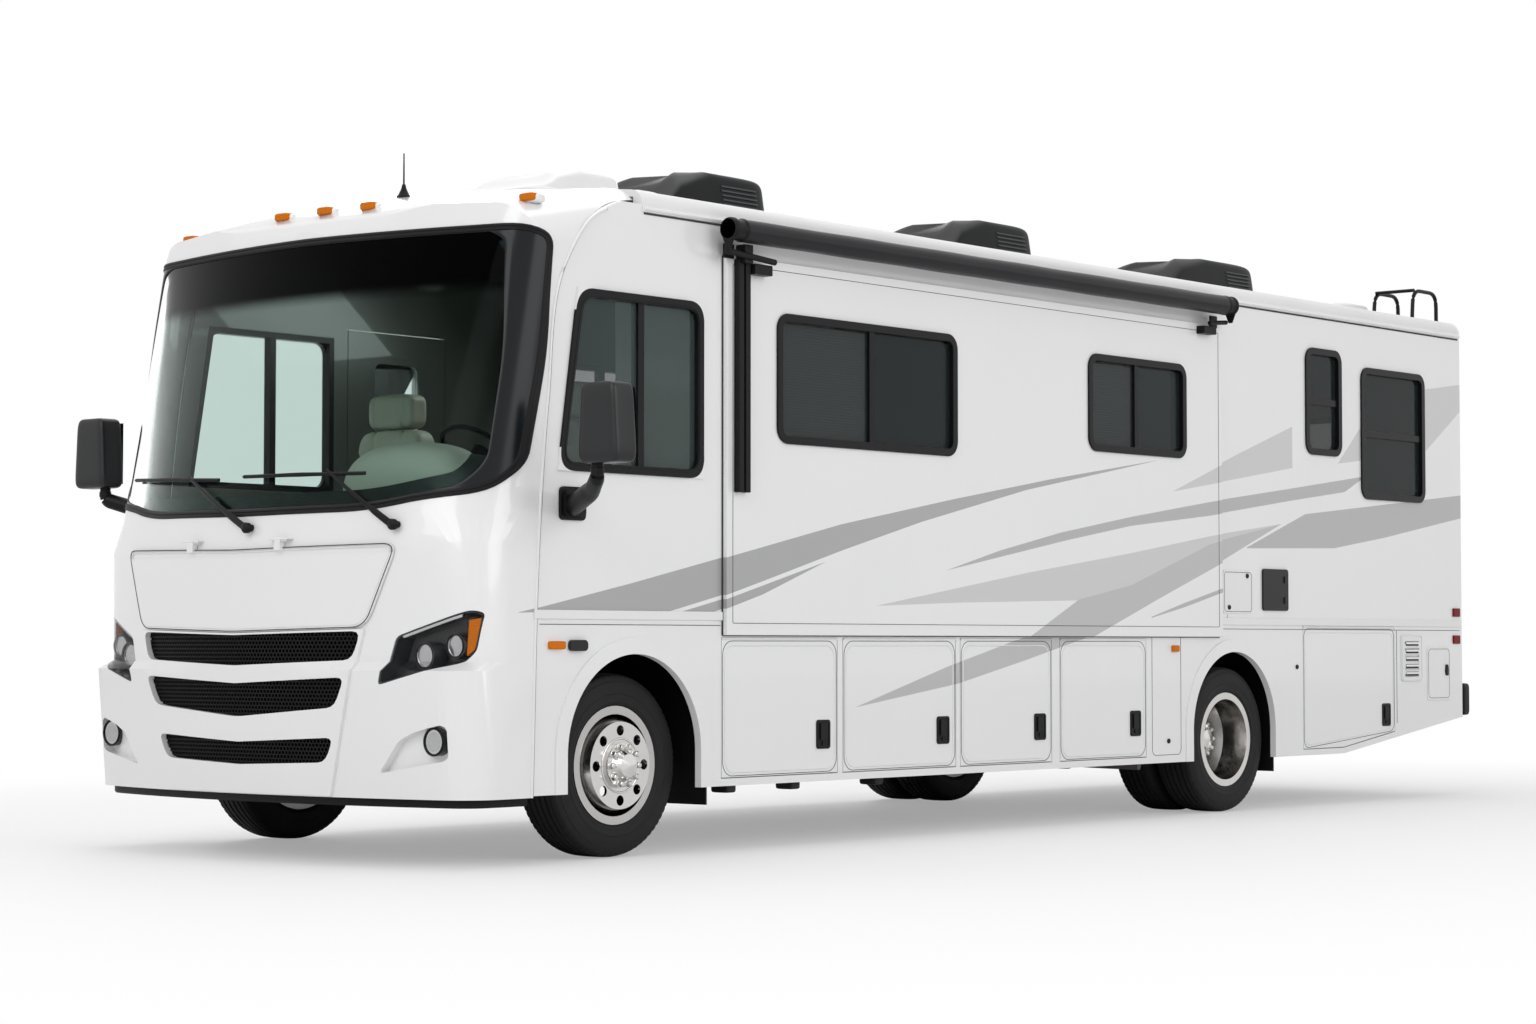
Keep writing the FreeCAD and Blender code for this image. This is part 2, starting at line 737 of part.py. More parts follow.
def bay_door_outline(span, margin):
    """Outline of a plain basement door, grown by a margin on three sides and up past its hinge."""
    y0, y1 = span
    top = door_hinge_z + hinge_radius + seat if margin else door_hinge_z - door_drop
    return [(y0 - margin, door_z0 - margin), (y1 + margin, door_z0 - margin), (y1 + margin, top), (y0 - margin, top)]


def rear_door_outline(margin):
    """Outline of the rear basement door, whose lower edge follows the skirt upwards."""
    y0, y1 = rear_door
    top = rear_door_hinge_z + hinge_radius + seat if margin else rear_door_hinge_z - door_drop
    return [(y0 - margin, door_z0 - margin), (rear_door_slope_y, door_z0 - margin),
            (y1 + margin, rear_door_rear_z - margin), (y1 + margin, top), (y0 - margin, top)]


def window_parts(span, x_out, x_in, bar_y=None, bar_z=None):
    """Frame and glass of a window in a left-hand wall between two X places."""
    y0, y1, z0, z1 = span
    frame = rounded_yz(span, x_out, x_out + frame_proud, window_corner).fuse(
        rounded_yz(span, x_in, x_out, window_corner, -frame_lap - seat))
    frame = frame.cut(rounded_yz(span, x_in - overrun, x_out + overrun, window_corner, -frame_width))
    bars = []
    if bar_y is not None:
        bars.append(box(x_in, x_out + frame_proud / 2, bar_y - bar_width / 2, bar_y + bar_width / 2, z0, z1))
    if bar_z is not None:
        bars.append(box(x_in, x_out + frame_proud / 2, y0, y1, bar_z - bar_width / 2, bar_z + bar_width / 2))
    core = rounded_yz(span, x_in, x_out, window_corner, -frame_width / 2)
    if bars:
        frame = join([frame] + [bar.common(core) for bar in bars])
    glass_x = x_out - frame_inner_depth
    pane = rounded_yz(span, glass_x, glass_x + pane_thickness, window_corner, -frame_width - seat)
    for bar in bars:
        grown = bar.BoundBox
        pane = pane.cut(box(grown.XMin, grown.XMax, grown.YMin - seat, grown.YMax + seat,
                            grown.ZMin - seat, grown.ZMax + seat))
    return frame, pane


def cab_window_parts():
    """Raked front window of the cab with its upright bar."""
    y0, y1, z0, z1 = cab_window
    x_out, x_in = half_width, half_width - wall_thickness
    raked = lambda inset, low, high: plate_yz(
        [(y0 + inset, z0 + inset), (y1 - inset, z0 + inset), (y1 - inset, z1 - inset),
         (y0 + cab_window_rake + inset, z1 - inset)], low, high)
    frame = raked(0, x_out, x_out + frame_proud).fuse(raked(frame_lap + seat, x_in, x_out))
    frame = frame.cut(raked(frame_width, x_in - overrun, x_out + overrun))
    bar = box(x_in, x_out + frame_proud / 2, cab_window_bar_y - bar_width / 2, cab_window_bar_y + bar_width / 2, z0, z1)
    frame = join([frame, bar.common(raked(frame_width / 2, x_in, x_out))])
    glass_x = x_out - frame_inner_depth
    pane = raked(frame_width + seat, glass_x, glass_x + pane_thickness)
    pane = pane.cut(box(x_in, x_out, cab_window_bar_y - bar_width / 2 - seat,
                        cab_window_bar_y + bar_width / 2 + seat, z0, z1))
    return frame, pane, raked(frame_lap, x_in - overrun, x_out + overrun)


def shell_panels():
    """Front cap, walls, skirts, roof and rear cap."""
    nodes = {}
    region = cap_region()
    spring = roof_spring_z()
    inner = nose_solid(-cap_thickness)
    cap = nose_solid(0).common(region)
    centre = nose_solid(panel_proud).common(front_opening(mirrored_outline(centre_outline)))
    cap = cap.fuse(centre).cut(inner)
    cap = cap.cut(plate_xz(eased(mirrored_outline(screen_outline), screen_ease), nose_y - overrun * 2, screen_back_y))
    for opening in grille_openings:
        cap = cap.cut(front_opening(eased(mirrored_outline(opening), grille_ease)))
    cap = cap.cut(front_opening(mirrored_outline(shrunk_outline(hood_outline, hood_opening_inset))))
    tray_mouth = front_opening(eased(scoop_outline, lamp_ease))
    tray = nose_skin(0, -scoop_depth - scoop_wall).common(tray_mouth)
    hollow = nose_skin(overrun, -scoop_depth).common(front_opening(eased(inset_outline(scoop_outline, scoop_wall), lamp_ease)))
    tray = tray.cut(hollow)
    for side in SIDES:
        cap = cap.cut(on_side(front_opening(eased(lamp_outline, lamp_ease)), side))
        cap = cap.cut(on_side(tray_mouth, side)).fuse(on_side(tray, side))
        cap = cap.cut(Part.makeCylinder(fog_radius + seat, half_width, V(side * fog_x, nose_y - overrun, fog_z), Y_AXIS))
    fixed = []
    for side in SIDES:
        place = V(side * hood_hinge_x, hood_axis_y, hood_axis_z)
        for barrel in knuckles(place, X_AXIS, (None, V(0, hood_fixed_web, 0)))[1]:
            fixed.append(barrel)
    nodes["front_cap"] = join([cap] + fixed)

    wall = box(half_width - wall_thickness, half_width, cap_seam_points[-1][0] - overrun, rear_cap_front_y, belt_z, spring)
    wall = wall.cut(region)
    skirt = plate_yz(skirt_outline(), half_width - skirt_thickness, half_width).cut(region)
    lip_x = (half_width - skirt_thickness, half_width + arch_lip_proud)
    for y in (front_arch_y, rear_axle_y):
        lip = arch_cutter(y, arch_radius + arch_lip, *lip_x)
        lip = lip.common(box(*lip_x, y - half_width, y + half_width, skirt_bottom_z, belt_z))
        skirt = skirt.fuse(lip).cut(arch_cutter(y, arch_radius, 0, half_width * 2))
    left, right = wall, across(wall)
    left_skirt, right_skirt = skirt, across(skirt)
    cab_cut = cab_window_parts()[2]
    through = (half_width - wall_thickness - overrun, half_width + overrun)
    left = left.cut(cab_cut)
    right = right.cut(across(cab_cut))
    for span in (bed_window, narrow_window):
        left = left.cut(rounded_yz(span, *through, window_corner, -frame_lap))
    for span in (bed_window, lounge_window, galley_window):
        right = right.cut(across(rounded_yz(span, *through, window_corner, -frame_lap)))
    opening = box(room_inner_x, half_width + overrun, room_y0 - room_gap, room_y1 + room_gap,
                  floor_top_z - gap, room_top_z + room_gap)
    left, left_skirt = left.cut(opening), left_skirt.cut(opening)
    entry = box(-half_width - overrun, -half_width + wall_thickness + overrun, entry_y0 - gap, entry_y1 + gap,
                entry_z0 - gap, entry_z1 + gap)
    right, right_skirt = right.cut(entry), right_skirt.cut(entry)
    for span in left_doors:
        left_skirt = left_skirt.cut(plate_yz(bay_door_outline(span, gap), *through))
    left_skirt = left_skirt.cut(plate_yz(rear_door_outline(gap), *through))
    for span in right_doors:
        right_skirt = right_skirt.cut(across(plate_yz(bay_door_outline(span, gap), *through)))
    fixed = [across(barrel) for z in entry_knuckle_places for barrel in entry_knuckles(z)[1]]
    right = join([right] + [barrel for barrel in fixed if barrel.BoundBox.ZMin > belt_z])
    right_skirt = join([right_skirt] + [barrel for barrel in fixed if barrel.BoundBox.ZMin < belt_z])
    nodes["left_wall"], nodes["right_wall"] = left, right
    nodes["skirts"] = group([left_skirt, right_skirt])

    roof = body_section(roof_seam_y, rear_cap_front_y, 0, 0).cut(body_section(roof_seam_y, rear_cap_front_y, -roof_thickness, 0))
    far = half_width * 2
    nodes["roof"] = roof.common(box(-far, far, nose_y, tail_y, spring, roof_peak_z + overrun))
    rear = body_section(rear_cap_front_y, rear_face_y, 0, skirt_rear_bottom_z)
    edges = [edge for edge in rear.Edges if edge.BoundBox.YMin > rear_face_y - seat and edge.CenterOfMass.z > skirt_rear_bottom_z + seat]
    rear = rear.makeFillet(rear_corner_radius, edges)
    rear = rear.cut(body_section(rear_cap_front_y - overrun, rear_face_y - rear_cap_thickness, -wall_thickness, 0))
    glass = box(-rear_window_half_width, rear_window_half_width, rear_cap_front_y, tail_y, rear_window_sill_z, rear_window_head_z)
    rear = rear.cut(glass)
    pad = box(-plate_pad_half_width, plate_pad_half_width, rear_face_y, rear_face_y + plate_pad_thickness,
              plate_z - plate_pad_half_height, plate_z + plate_pad_half_height)
    rear = join([rear, pad])
    for side_x in SIDES:
        for side_z in SIDES:
            start = V(side_x * plate_hole_x, rear_face_y + plate_pad_thickness - plate_hole_depth, plate_z + side_z * plate_hole_z)
            rear = rear.cut(Part.makeCylinder(plate_hole_radius, plate_hole_depth, start, Y_AXIS))
    nodes["rear_cap"] = rear
    return nodes


def glazing():
    """Windscreen, its gasket, and the frames and panes of the fixed windows."""
    nodes = {}
    outline = eased(mirrored_outline(screen_outline), screen_ease)
    inside = eased(mirrored_outline(shrunk_outline(screen_outline, gasket_width)), screen_ease)
    front = plate_xz(outline, nose_y - overrun * 2, screen_back_y)
    nodes["windscreen_gasket"] = nose_skin(gasket_proud, -gasket_depth).common(front).cut(nose_prism(inside))
    nodes["windscreen"] = nose_skin(-screen_inset, -screen_inset - screen_glass).common(front).common(nose_prism(inside))
    x_out, x_in = half_width, half_width - wall_thickness
    frame, pane, cutter = cab_window_parts()
    frames, panes = [frame, across(frame)], [pane, across(pane)]
    specs = [(bed_window, None, bed_window_bar_z, 1), (narrow_window, None, narrow_window_bar_z, 1),
             (bed_window, None, bed_window_bar_z, -1), (lounge_window, lounge_window_bar_y, None, -1),
             (galley_window, galley_window_bar_y, None, -1)]
    for span, bar_y, bar_z, side in specs:
        frame, pane = window_parts(span, x_out, x_in, bar_y, bar_z)
        frames.append(on_side(frame, side))
        panes.append(on_side(pane, side))
    outer = box(-rear_window_half_width, rear_window_half_width, rear_face_y - rear_cap_thickness,
                rear_face_y + frame_proud, rear_window_sill_z, rear_window_head_z)
    hole = box(-rear_window_half_width + frame_width, rear_window_half_width - frame_width, rear_cap_front_y, tail_y,
               rear_window_sill_z + frame_width, rear_window_head_z - frame_width)
    frames.append(outer.cut(hole))
    panes.append(hole.common(box(-half_width, half_width, rear_face_y - frame_inner_depth,
                                 rear_face_y - frame_inner_depth + pane_thickness, 0, roof_peak_z)))
    nodes["window_frames"], nodes["window_panes"] = group(frames), group(panes)
    return nodes


def nose_fittings():
    """Grille plates, lamps, markers and wipers of the front end."""
    nodes = {}
    grilles = []
    layer = nose_skin(-grille_inset, -grille_inset - grille_plate)
    for opening in grille_openings:
        grilles.append(layer.common(front_opening(eased(mirrored_outline(opening), grille_ease))))
    skirt_y = nose_levels[0][1] + cap_thickness + seat
    wires = [plan_wire(valance_z0, y, bumper_radius - cap_thickness, bumper_corner - cap_thickness, roof_seam_y, half_width - cap_thickness - y + skirt_y)
             for y in (skirt_y, skirt_y + grille_plate)]
    valance = Part.Face(wires[0]).extrude(V(0, 0, valance_z1 - valance_z0))
    valance = valance.cut(Part.Face(wires[1]).extrude(V(0, 0, valance_z1 - valance_z0)))
    reach = half_width - bumper_corner
    grilles.append(valance.common(box(-reach, reach, nose_y, nose_y + half_width / 2, valance_z0, valance_z1)))
    nodes["grilles"] = group(grilles)

    housing_layer = nose_skin(-lens_thickness, -lamp_depth)
    inner_layer = nose_skin(overrun, -lamp_depth + lamp_wall)
    lens_layer = nose_skin(0, -lens_thickness)
    housings, lenses = [], []
    mouth = front_opening(eased(lamp_outline, lamp_ease))
    bowl = housing_layer.common(mouth)
    bowl = bowl.cut(inner_layer.common(front_opening(eased(inset_outline(lamp_outline, lamp_wall), lamp_ease))))
    lens = lens_layer.common(mouth)
    for x, z, radius in bulb_places:
        front = screen_point(x, z, 0).y
        cup = Part.makeCylinder(radius, lamp_depth - bulb_inset, V(x, front + bulb_inset, z), Y_AXIS)
        dish = Part.makeSphere(radius * dish_share, V(x, front + bulb_inset, z))
        well = Part.makeCylinder(radius - fog_rim, fog_rim, V(x, front + bulb_inset, z), Y_AXIS)
        bowl = bowl.fuse(cup.cut(dish).cut(well).common(nose_skin(-lens_thickness, -lamp_depth)))
    start = V(fog_x, screen_point(fog_x, fog_z, 0).y + fog_inset, fog_z)
    fog = Part.makeCylinder(fog_radius, fog_length, start, Y_AXIS)
    fog = fog.cut(Part.makeCylinder(fog_radius - fog_rim, fog_bowl_depth, start, Y_AXIS))
    bulb = Part.makeSphere(fog_radius / 2, start + V(0, fog_bowl_depth + fog_rim, 0))
    fog = fog.fuse(bulb).removeSplitter()
    for side in SIDES:
        housings += [on_side(bowl, side), on_side(fog, side)]
        lenses.append(on_side(lens, side))
    nodes["headlamps"], nodes["lamp_lenses"] = group(housings), group(lenses)

    markers = []
    marker_layer = nose_skin(marker_proud, -seat)
    for x, z in brow_markers:
        block = box(x - marker_length / 2, x + marker_length / 2, nose_y - overrun, roof_seam_y,
                    z - marker_height / 2, z + marker_height / 2)
        markers.append(marker_layer.common(block).cut(nose_solid(seat)))
    for side in SIDES:
        for y, z in side_marker_places:
            block = box(half_width, half_width + marker_proud, y - marker_length / 2, y + marker_length / 2,
                        z - marker_height / 2, z + marker_height / 2)
            markers.append(on_side(block, side))
    nodes["marker_lamps"] = group(markers)

    wipers = []
    for pivot, elbow, blade in zip(wiper_pivots, wiper_elbows, wiper_blade_ends):
        foot, head = screen_point(*pivot, wiper_lift), screen_point(*elbow, wiper_head_lift)
        arm = rod(foot, head, wiper_tube)
        front, back = [], []
        for step in range(blade_steps + 1):
            share = step / blade_steps
            x = blade[0][0] + (blade[1][0] - blade[0][0]) * share
            y = screen_point(x, elbow[1], blade_lift).y
            front.append(V(x, y - wiper_tube, elbow[1] - wiper_tube * 3))
            back.append(V(x, y + wiper_tube, elbow[1] - wiper_tube * 3))
        outline = front + back[::-1]
        rubber = Part.Face(Part.makePolygon(outline + outline[:1])).extrude(V(0, 0, wiper_tube * 2))
        clip = box(head.x - wiper_tube * 3, head.x + wiper_tube * 3, head.y - wiper_tube, head.y + wiper_tube * 2,
                   head.z - wiper_tube * 3, head.z + wiper_tube)
        stud = rod(foot, foot + V(0, wiper_lift + gap * 3, 0), wiper_tube * 2).cut(nose_solid(seat))
        wipers.append(join([arm, clip, stud, rubber]))
    nodes["wipers"] = group(wipers)
    return nodes


def screen_point(x, z, lift):
    """Point at a distance in front of the nose's skin at a given width and height."""
    levels = nose_levels
    for low, high in zip(levels, levels[1:]):
        if low[0] <= z <= high[0]:
            share = (z - low[0]) / (high[0] - low[0])
            ys = []
            for _, front, radius, corner in (low, high):
                corner_x = half_width - corner
                centre_y = front + radius
                if abs(x) < corner_x * radius / (radius - corner):
                    ys.append(centre_y - math.sqrt(radius ** 2 - x ** 2))
                else:
                    corner_y = centre_y - math.sqrt((radius - corner) ** 2 - corner_x ** 2)
                    ys.append(corner_y - math.sqrt(corner ** 2 - (abs(x) - corner_x) ** 2))
            return V(x, ys[0] * (1 - share) + ys[1] * share - lift, z)
    raise ValueError("height outside the nose")


def slide_room():
    """Room that slides out on the left, its windows and the awning above it."""
    nodes = {}
    x_out = half_width + gap
    x_wall, low, t = half_width - wall_thickness, floor_top_z + seat, room_wall
    fascia = box(x_out, x_out + fascia_thickness, fascia_y0, fascia_y1, fascia_z0, fascia_z1)
    room = join([box(x_wall, x_out, room_y0, room_y1, low, room_top_z), fascia])
    back = x_wall - seat
    plates = [box(room_inner_x, back, room_y0, room_y1, low, low + t),
              box(room_inner_x, back, room_y0, room_y1, room_top_z - t, room_top_z)]
    for y0, y1 in ((room_y0, room_y0 + t), (room_y1 - t, room_y1)):
        plates.append(box(room_inner_x, back, y0, y1, low + t + seat, room_top_z - t - seat))
    x_face, x_in = x_out + fascia_thickness, half_width - wall_thickness
    frames, panes = [], []
    for span, bar_y in ((slide_front_window, slide_front_bar_y), (slide_rear_window, slide_rear_bar_y)):
        room = room.cut(rounded_yz(span, x_in - overrun, x_face + overrun, window_corner, -frame_lap))
        frame, pane = window_parts(span, x_face, x_in, bar_y)
        frames.append(frame)
        panes.append(pane)
    nodes["slide_room"] = group([room] + plates)
    nodes["slide_window_frames"], nodes["slide_window_panes"] = group(frames), group(panes)

    roller = rod(V(roller_x, roller_y0, roller_z), V(roller_x, roller_y1, roller_z), roller_radius)
    pieces = [roller]
    for y0, y1 in ((roller_y0, roller_y0 + bracket_height * 2), (roller_y1 - bracket_height * 2, roller_y1)):
        pieces.append(box(x_face, roller_x, y0, y1, roller_z - roller_radius * 2, roller_z - roller_radius / 2))
        pieces.append(box(x_face, x_face + bracket_plate, max(y0, fascia_y0), min(y1, fascia_y1),
                          fascia_z1 - bracket_height, roller_z))
    arm = box(x_face, x_face + arm_depth, arm_y0, arm_y1, arm_bottom_z, roller_z)
    nodes["slide_awning"] = join(pieces + [arm])
    return nodes


def tyre_at(x, y):
    """Tyre as a solid of revolution with a flat tread and sloped shoulders."""
    half = tyre_width / 2
    bead = rim_half_width - seat
    right = [(bead, bead_radius), (bead, rim_flange_radius + gap)]
    tread = wheel_radius / math.cos(math.pi / tyre_sides)
    right += [(half * a, rim_flange_radius + (tread - rim_flange_radius) * b) for a, b in tyre_shares]
    left = [(-a, r) for a, r in reversed(right)]
    return faceted_ring(right + left, tyre_sides, x, y, wheel_radius)


def rim_at(x, y, bore_radius, way):
    """Rim whose dish and disc stand out to one side, with hand holes and a hub bore."""
    r0, w, t, f = rim_radius - rim_wall, rim_half_width, disc_thickness, rim_flange
    near, far = dish_offset - t / 2, dish_offset + t / 2
    profile = [(-w - f, rim_flange_radius), (-w, rim_flange_radius), (-w, rim_radius), (w, rim_radius),
               (w, rim_flange_radius), (w + f, rim_flange_radius), (w + f, r0), (dish_start + t, r0),
               (far, dish_radius), (far, hub_radius / 2), (near, hub_radius / 2), (near, dish_radius - t),
               (dish_start, r0), (-w - f, r0)]
    rim = faceted_ring([(way * a, r) for a, r in profile], rim_sides, x, y, wheel_radius)
    holes = []
    for step in range(hand_hole_count):
        angle = 2 * math.pi * step / hand_hole_count
        centre = V(x + way * dish_offset - t, y + hand_hole_circle * math.cos(angle),
                   wheel_radius + hand_hole_circle * math.sin(angle))
        holes.append(Part.makeCylinder(hand_hole_radius, t * 2, centre, X_AXIS))
    axle = Part.makeCylinder(bore_radius, t * 4, V(x + way * dish_offset - t * 2, y, wheel_radius), X_AXIS)
    return rim.cut(Part.makeCompound(holes)).cut(axle)


def hub_cap(x, y):
    """Closed dome over the end of a hub."""
    r, depth = hub_cap_radius, hub_cap_length
    return revolved([(0, 0), (0, r), (depth * hub_cap_share, r * hub_cap_share), (depth, 0)], x, y, wheel_radius)


def wheels():
    """Tyres and rims of the four wheel positions."""
    nodes = {}
    for side, name in ((1, "left"), (-1, "right")):
        nodes[f"front_{name}_tyre"] = on_side(tyre_at(front_wheel_x, front_axle_y), side)
        bore = spindle_radius + running
        disc_x = front_wheel_x + dish_offset
        hub = ring_at(disc_x - hub_inner, disc_x + hub_outer, front_axle_y, wheel_radius, bore, hub_radius)
        cap = hub_cap(disc_x + hub_outer, front_axle_y)
        nodes[f"front_{name}_rim"] = on_side(join([rim_at(front_wheel_x, front_axle_y, bore, 1), hub, cap]), side)
        nodes[f"rear_{name}_tyres"] = on_side(group([tyre_at(x, rear_axle_y) for x in (rear_inner_x, rear_outer_x)]), side)
        meet_x = (rear_inner_x + rear_outer_x) / 2
        bore = rear_spindle_radius + running
        hub = ring_at(meet_x - hub_inner, meet_x + rear_hub_length, rear_axle_y, wheel_radius, bore, hub_radius)
        rims = [rim_at(x, rear_axle_y, bore, way) for x, way in ((rear_inner_x, 1), (rear_outer_x, -1))]
        cap = hub_cap(meet_x + rear_hub_length, rear_axle_y)
        nodes[f"rear_{name}_rims"] = on_side(join(rims + [hub, cap]), side)
    return nodes


def leaf_spring(x, y, half_length, seat_z):
    """Leaf spring as one arched bar with its hanger brackets."""
    t = spring_thickness
    top = Part.Arc(V(x, y - half_length, spring_eye_z), V(x, y, seat_z + t), V(x, y + half_length, spring_eye_z)).toShape()
    low = Part.Arc(V(x, y + half_length, spring_eye_z - t), V(x, y, seat_z), V(x, y - half_length, spring_eye_z - t)).toShape()
    ends = [Part.LineSegment(V(x, y + s * half_length, spring_eye_z), V(x, y + s * half_length, spring_eye_z - t)).toShape()
            for s in SIDES]
    leaf = Part.Face(Part.Wire([top, ends[0], low, ends[1]])).extrude(V(spring_width, 0, 0))
    pieces = [leaf]
    for s in SIDES:
        pieces.append(box(x, x + spring_width, y + s * half_length, y + s * (half_length - spring_width),
                          spring_eye_z - t, rail_bottom_z))
    return join(pieces)


def axles():
    """Front beam with springs, rear tube with springs and shaft, and the two knuckles."""
    nodes = {}
    x0 = spring_x - spring_width / 2
    z = wheel_radius
    beam_low = z - beam_height / 2 - beam_drop
    beam_top = beam_low + beam_height
    eye_low = z - axle_eye_height / 2
    beam_end = kingpin_x - axle_eye_radius * 3
    pieces = [box(-beam_end, beam_end, front_axle_y - beam_width / 2, front_axle_y + beam_width / 2, beam_low, beam_top)]
    for side in SIDES:
        place = V(side * kingpin_x, front_axle_y, 0)
        pieces.append(Part.makeCylinder(axle_eye_radius, axle_eye_height, place + V(0, 0, eye_low)))
        pieces.append(Part.makeCylinder(kingpin_radius, kingpin_length, place + V(0, 0, z - kingpin_length / 2)))
        pieces.append(box(side * (beam_end - beam_width), side * kingpin_x, front_axle_y - beam_width / 2,
                          front_axle_y + beam_width / 2, eye_low, eye_low + axle_eye_height))
        pieces.append(on_side(leaf_spring(x0, front_axle_y, front_spring_half, beam_top - gap), side))
    nodes["front_axle"] = join(pieces)

    tube_end = rear_inner_x - tyre_width / 2
    pieces = [rod(V(-tube_end, rear_axle_y, z), V(tube_end, rear_axle_y, z), rear_tube_radius),
              rod(V(-diff_radius * 0.6, rear_axle_y, z), V(diff_radius * 0.6, rear_axle_y, z), diff_radius)]
    meet_x = (rear_inner_x + rear_outer_x) / 2
    for side in SIDES:
        pieces.append(rod(V(side * tube_end, rear_axle_y, z), V(side * (meet_x + rear_hub_length - gap), rear_axle_y, z), rear_spindle_radius))
        pieces.append(on_side(leaf_spring(x0, rear_axle_y, rear_spring_half, z + rear_tube_radius - spring_thickness / 2), side))
    pieces.append(rod(V(0, engine_y1 + seat, shaft_z), V(0, rear_axle_y - diff_radius / 2, z), shaft_radius))
    nodes["rear_axle"] = join(pieces)

    ear_z = axle_eye_height / 2 + seat
    knuckle = []
    for low in (z + ear_z, z - ear_z - ear_thickness):
        ear = box(kingpin_x - ear_reach * 0.8, kingpin_x + knuckle_plate_x + knuckle_plate, front_axle_y - ear_reach,
                  front_axle_y + ear_reach, low, low + ear_thickness)
        knuckle.append(ear.cut(Part.makeCylinder(kingpin_radius + running, ear_thickness * 2, V(kingpin_x, front_axle_y, low - ear_thickness / 2))))
    knuckle.append(box(kingpin_x + knuckle_plate_x, kingpin_x + knuckle_plate_x + knuckle_plate, front_axle_y - ear_reach,
                       front_axle_y + ear_reach, z - ear_z - ear_thickness, z + ear_z + ear_thickness))
    knuckle.append(rod(V(kingpin_x + knuckle_plate_x, front_axle_y, z), V(spindle_end_x, front_axle_y, z), spindle_radius))
    knuckle = join(knuckle)
    nodes["left_knuckle"], nodes["right_knuckle"] = knuckle, across(knuckle)
    return nodes


def ladder_frame():
    """Chassis rails of C-section with crossmembers and outriggers."""
    pieces = []
    rail = box(rail_x - rail_width, rail_x, frame_front_y, frame_rear_y, rail_bottom_z, rail_top_z)
    rail = rail.cut(box(rail_x - rail_width - overrun, rail_x - rail_web, frame_front_y, frame_rear_y,
                        rail_bottom_z + rail_web, rail_top_z - rail_web))
    pieces += [rail, across(rail)]
    mid_z = (rail_bottom_z + rail_top_z) / 2
    for y in crossmember_places:
        pieces.append(box(-rail_x, rail_x, y, y + crossmember_width, mid_z - crossmember_height / 2, mid_z + crossmember_height / 2))
        pieces.append(box(-outrigger_x, outrigger_x, y, y + crossmember_width, rail_top_z, floor_bottom_z))
    for side in SIDES:
        pieces.append(box(side * (engine_half_width + seat), side * (rail_x - rail_web), mount_y0, mount_y1, mount_z0, mount_z1))
    return {"chassis_frame": join(pieces)}


def bay_plates(y0, y1, low, high, walls, x1):
    """Back, bottom, top and partitions of a row of basement compartments as separate plates."""
    t, half = basement_sheet, basement_sheet / 2
    x0 = basement_x0 + t + seat
    plates = [box(basement_x0, basement_x0 + t, y0, y1, low, high), box(x0, x1, y0, y1, low, low + t),
              box(x0, x1, y0, y1, high - t, high)]
    for y in walls:
        plates.append(box(x0, x1, y - half, y + half, low + t + seat, high - t - seat))
    return plates


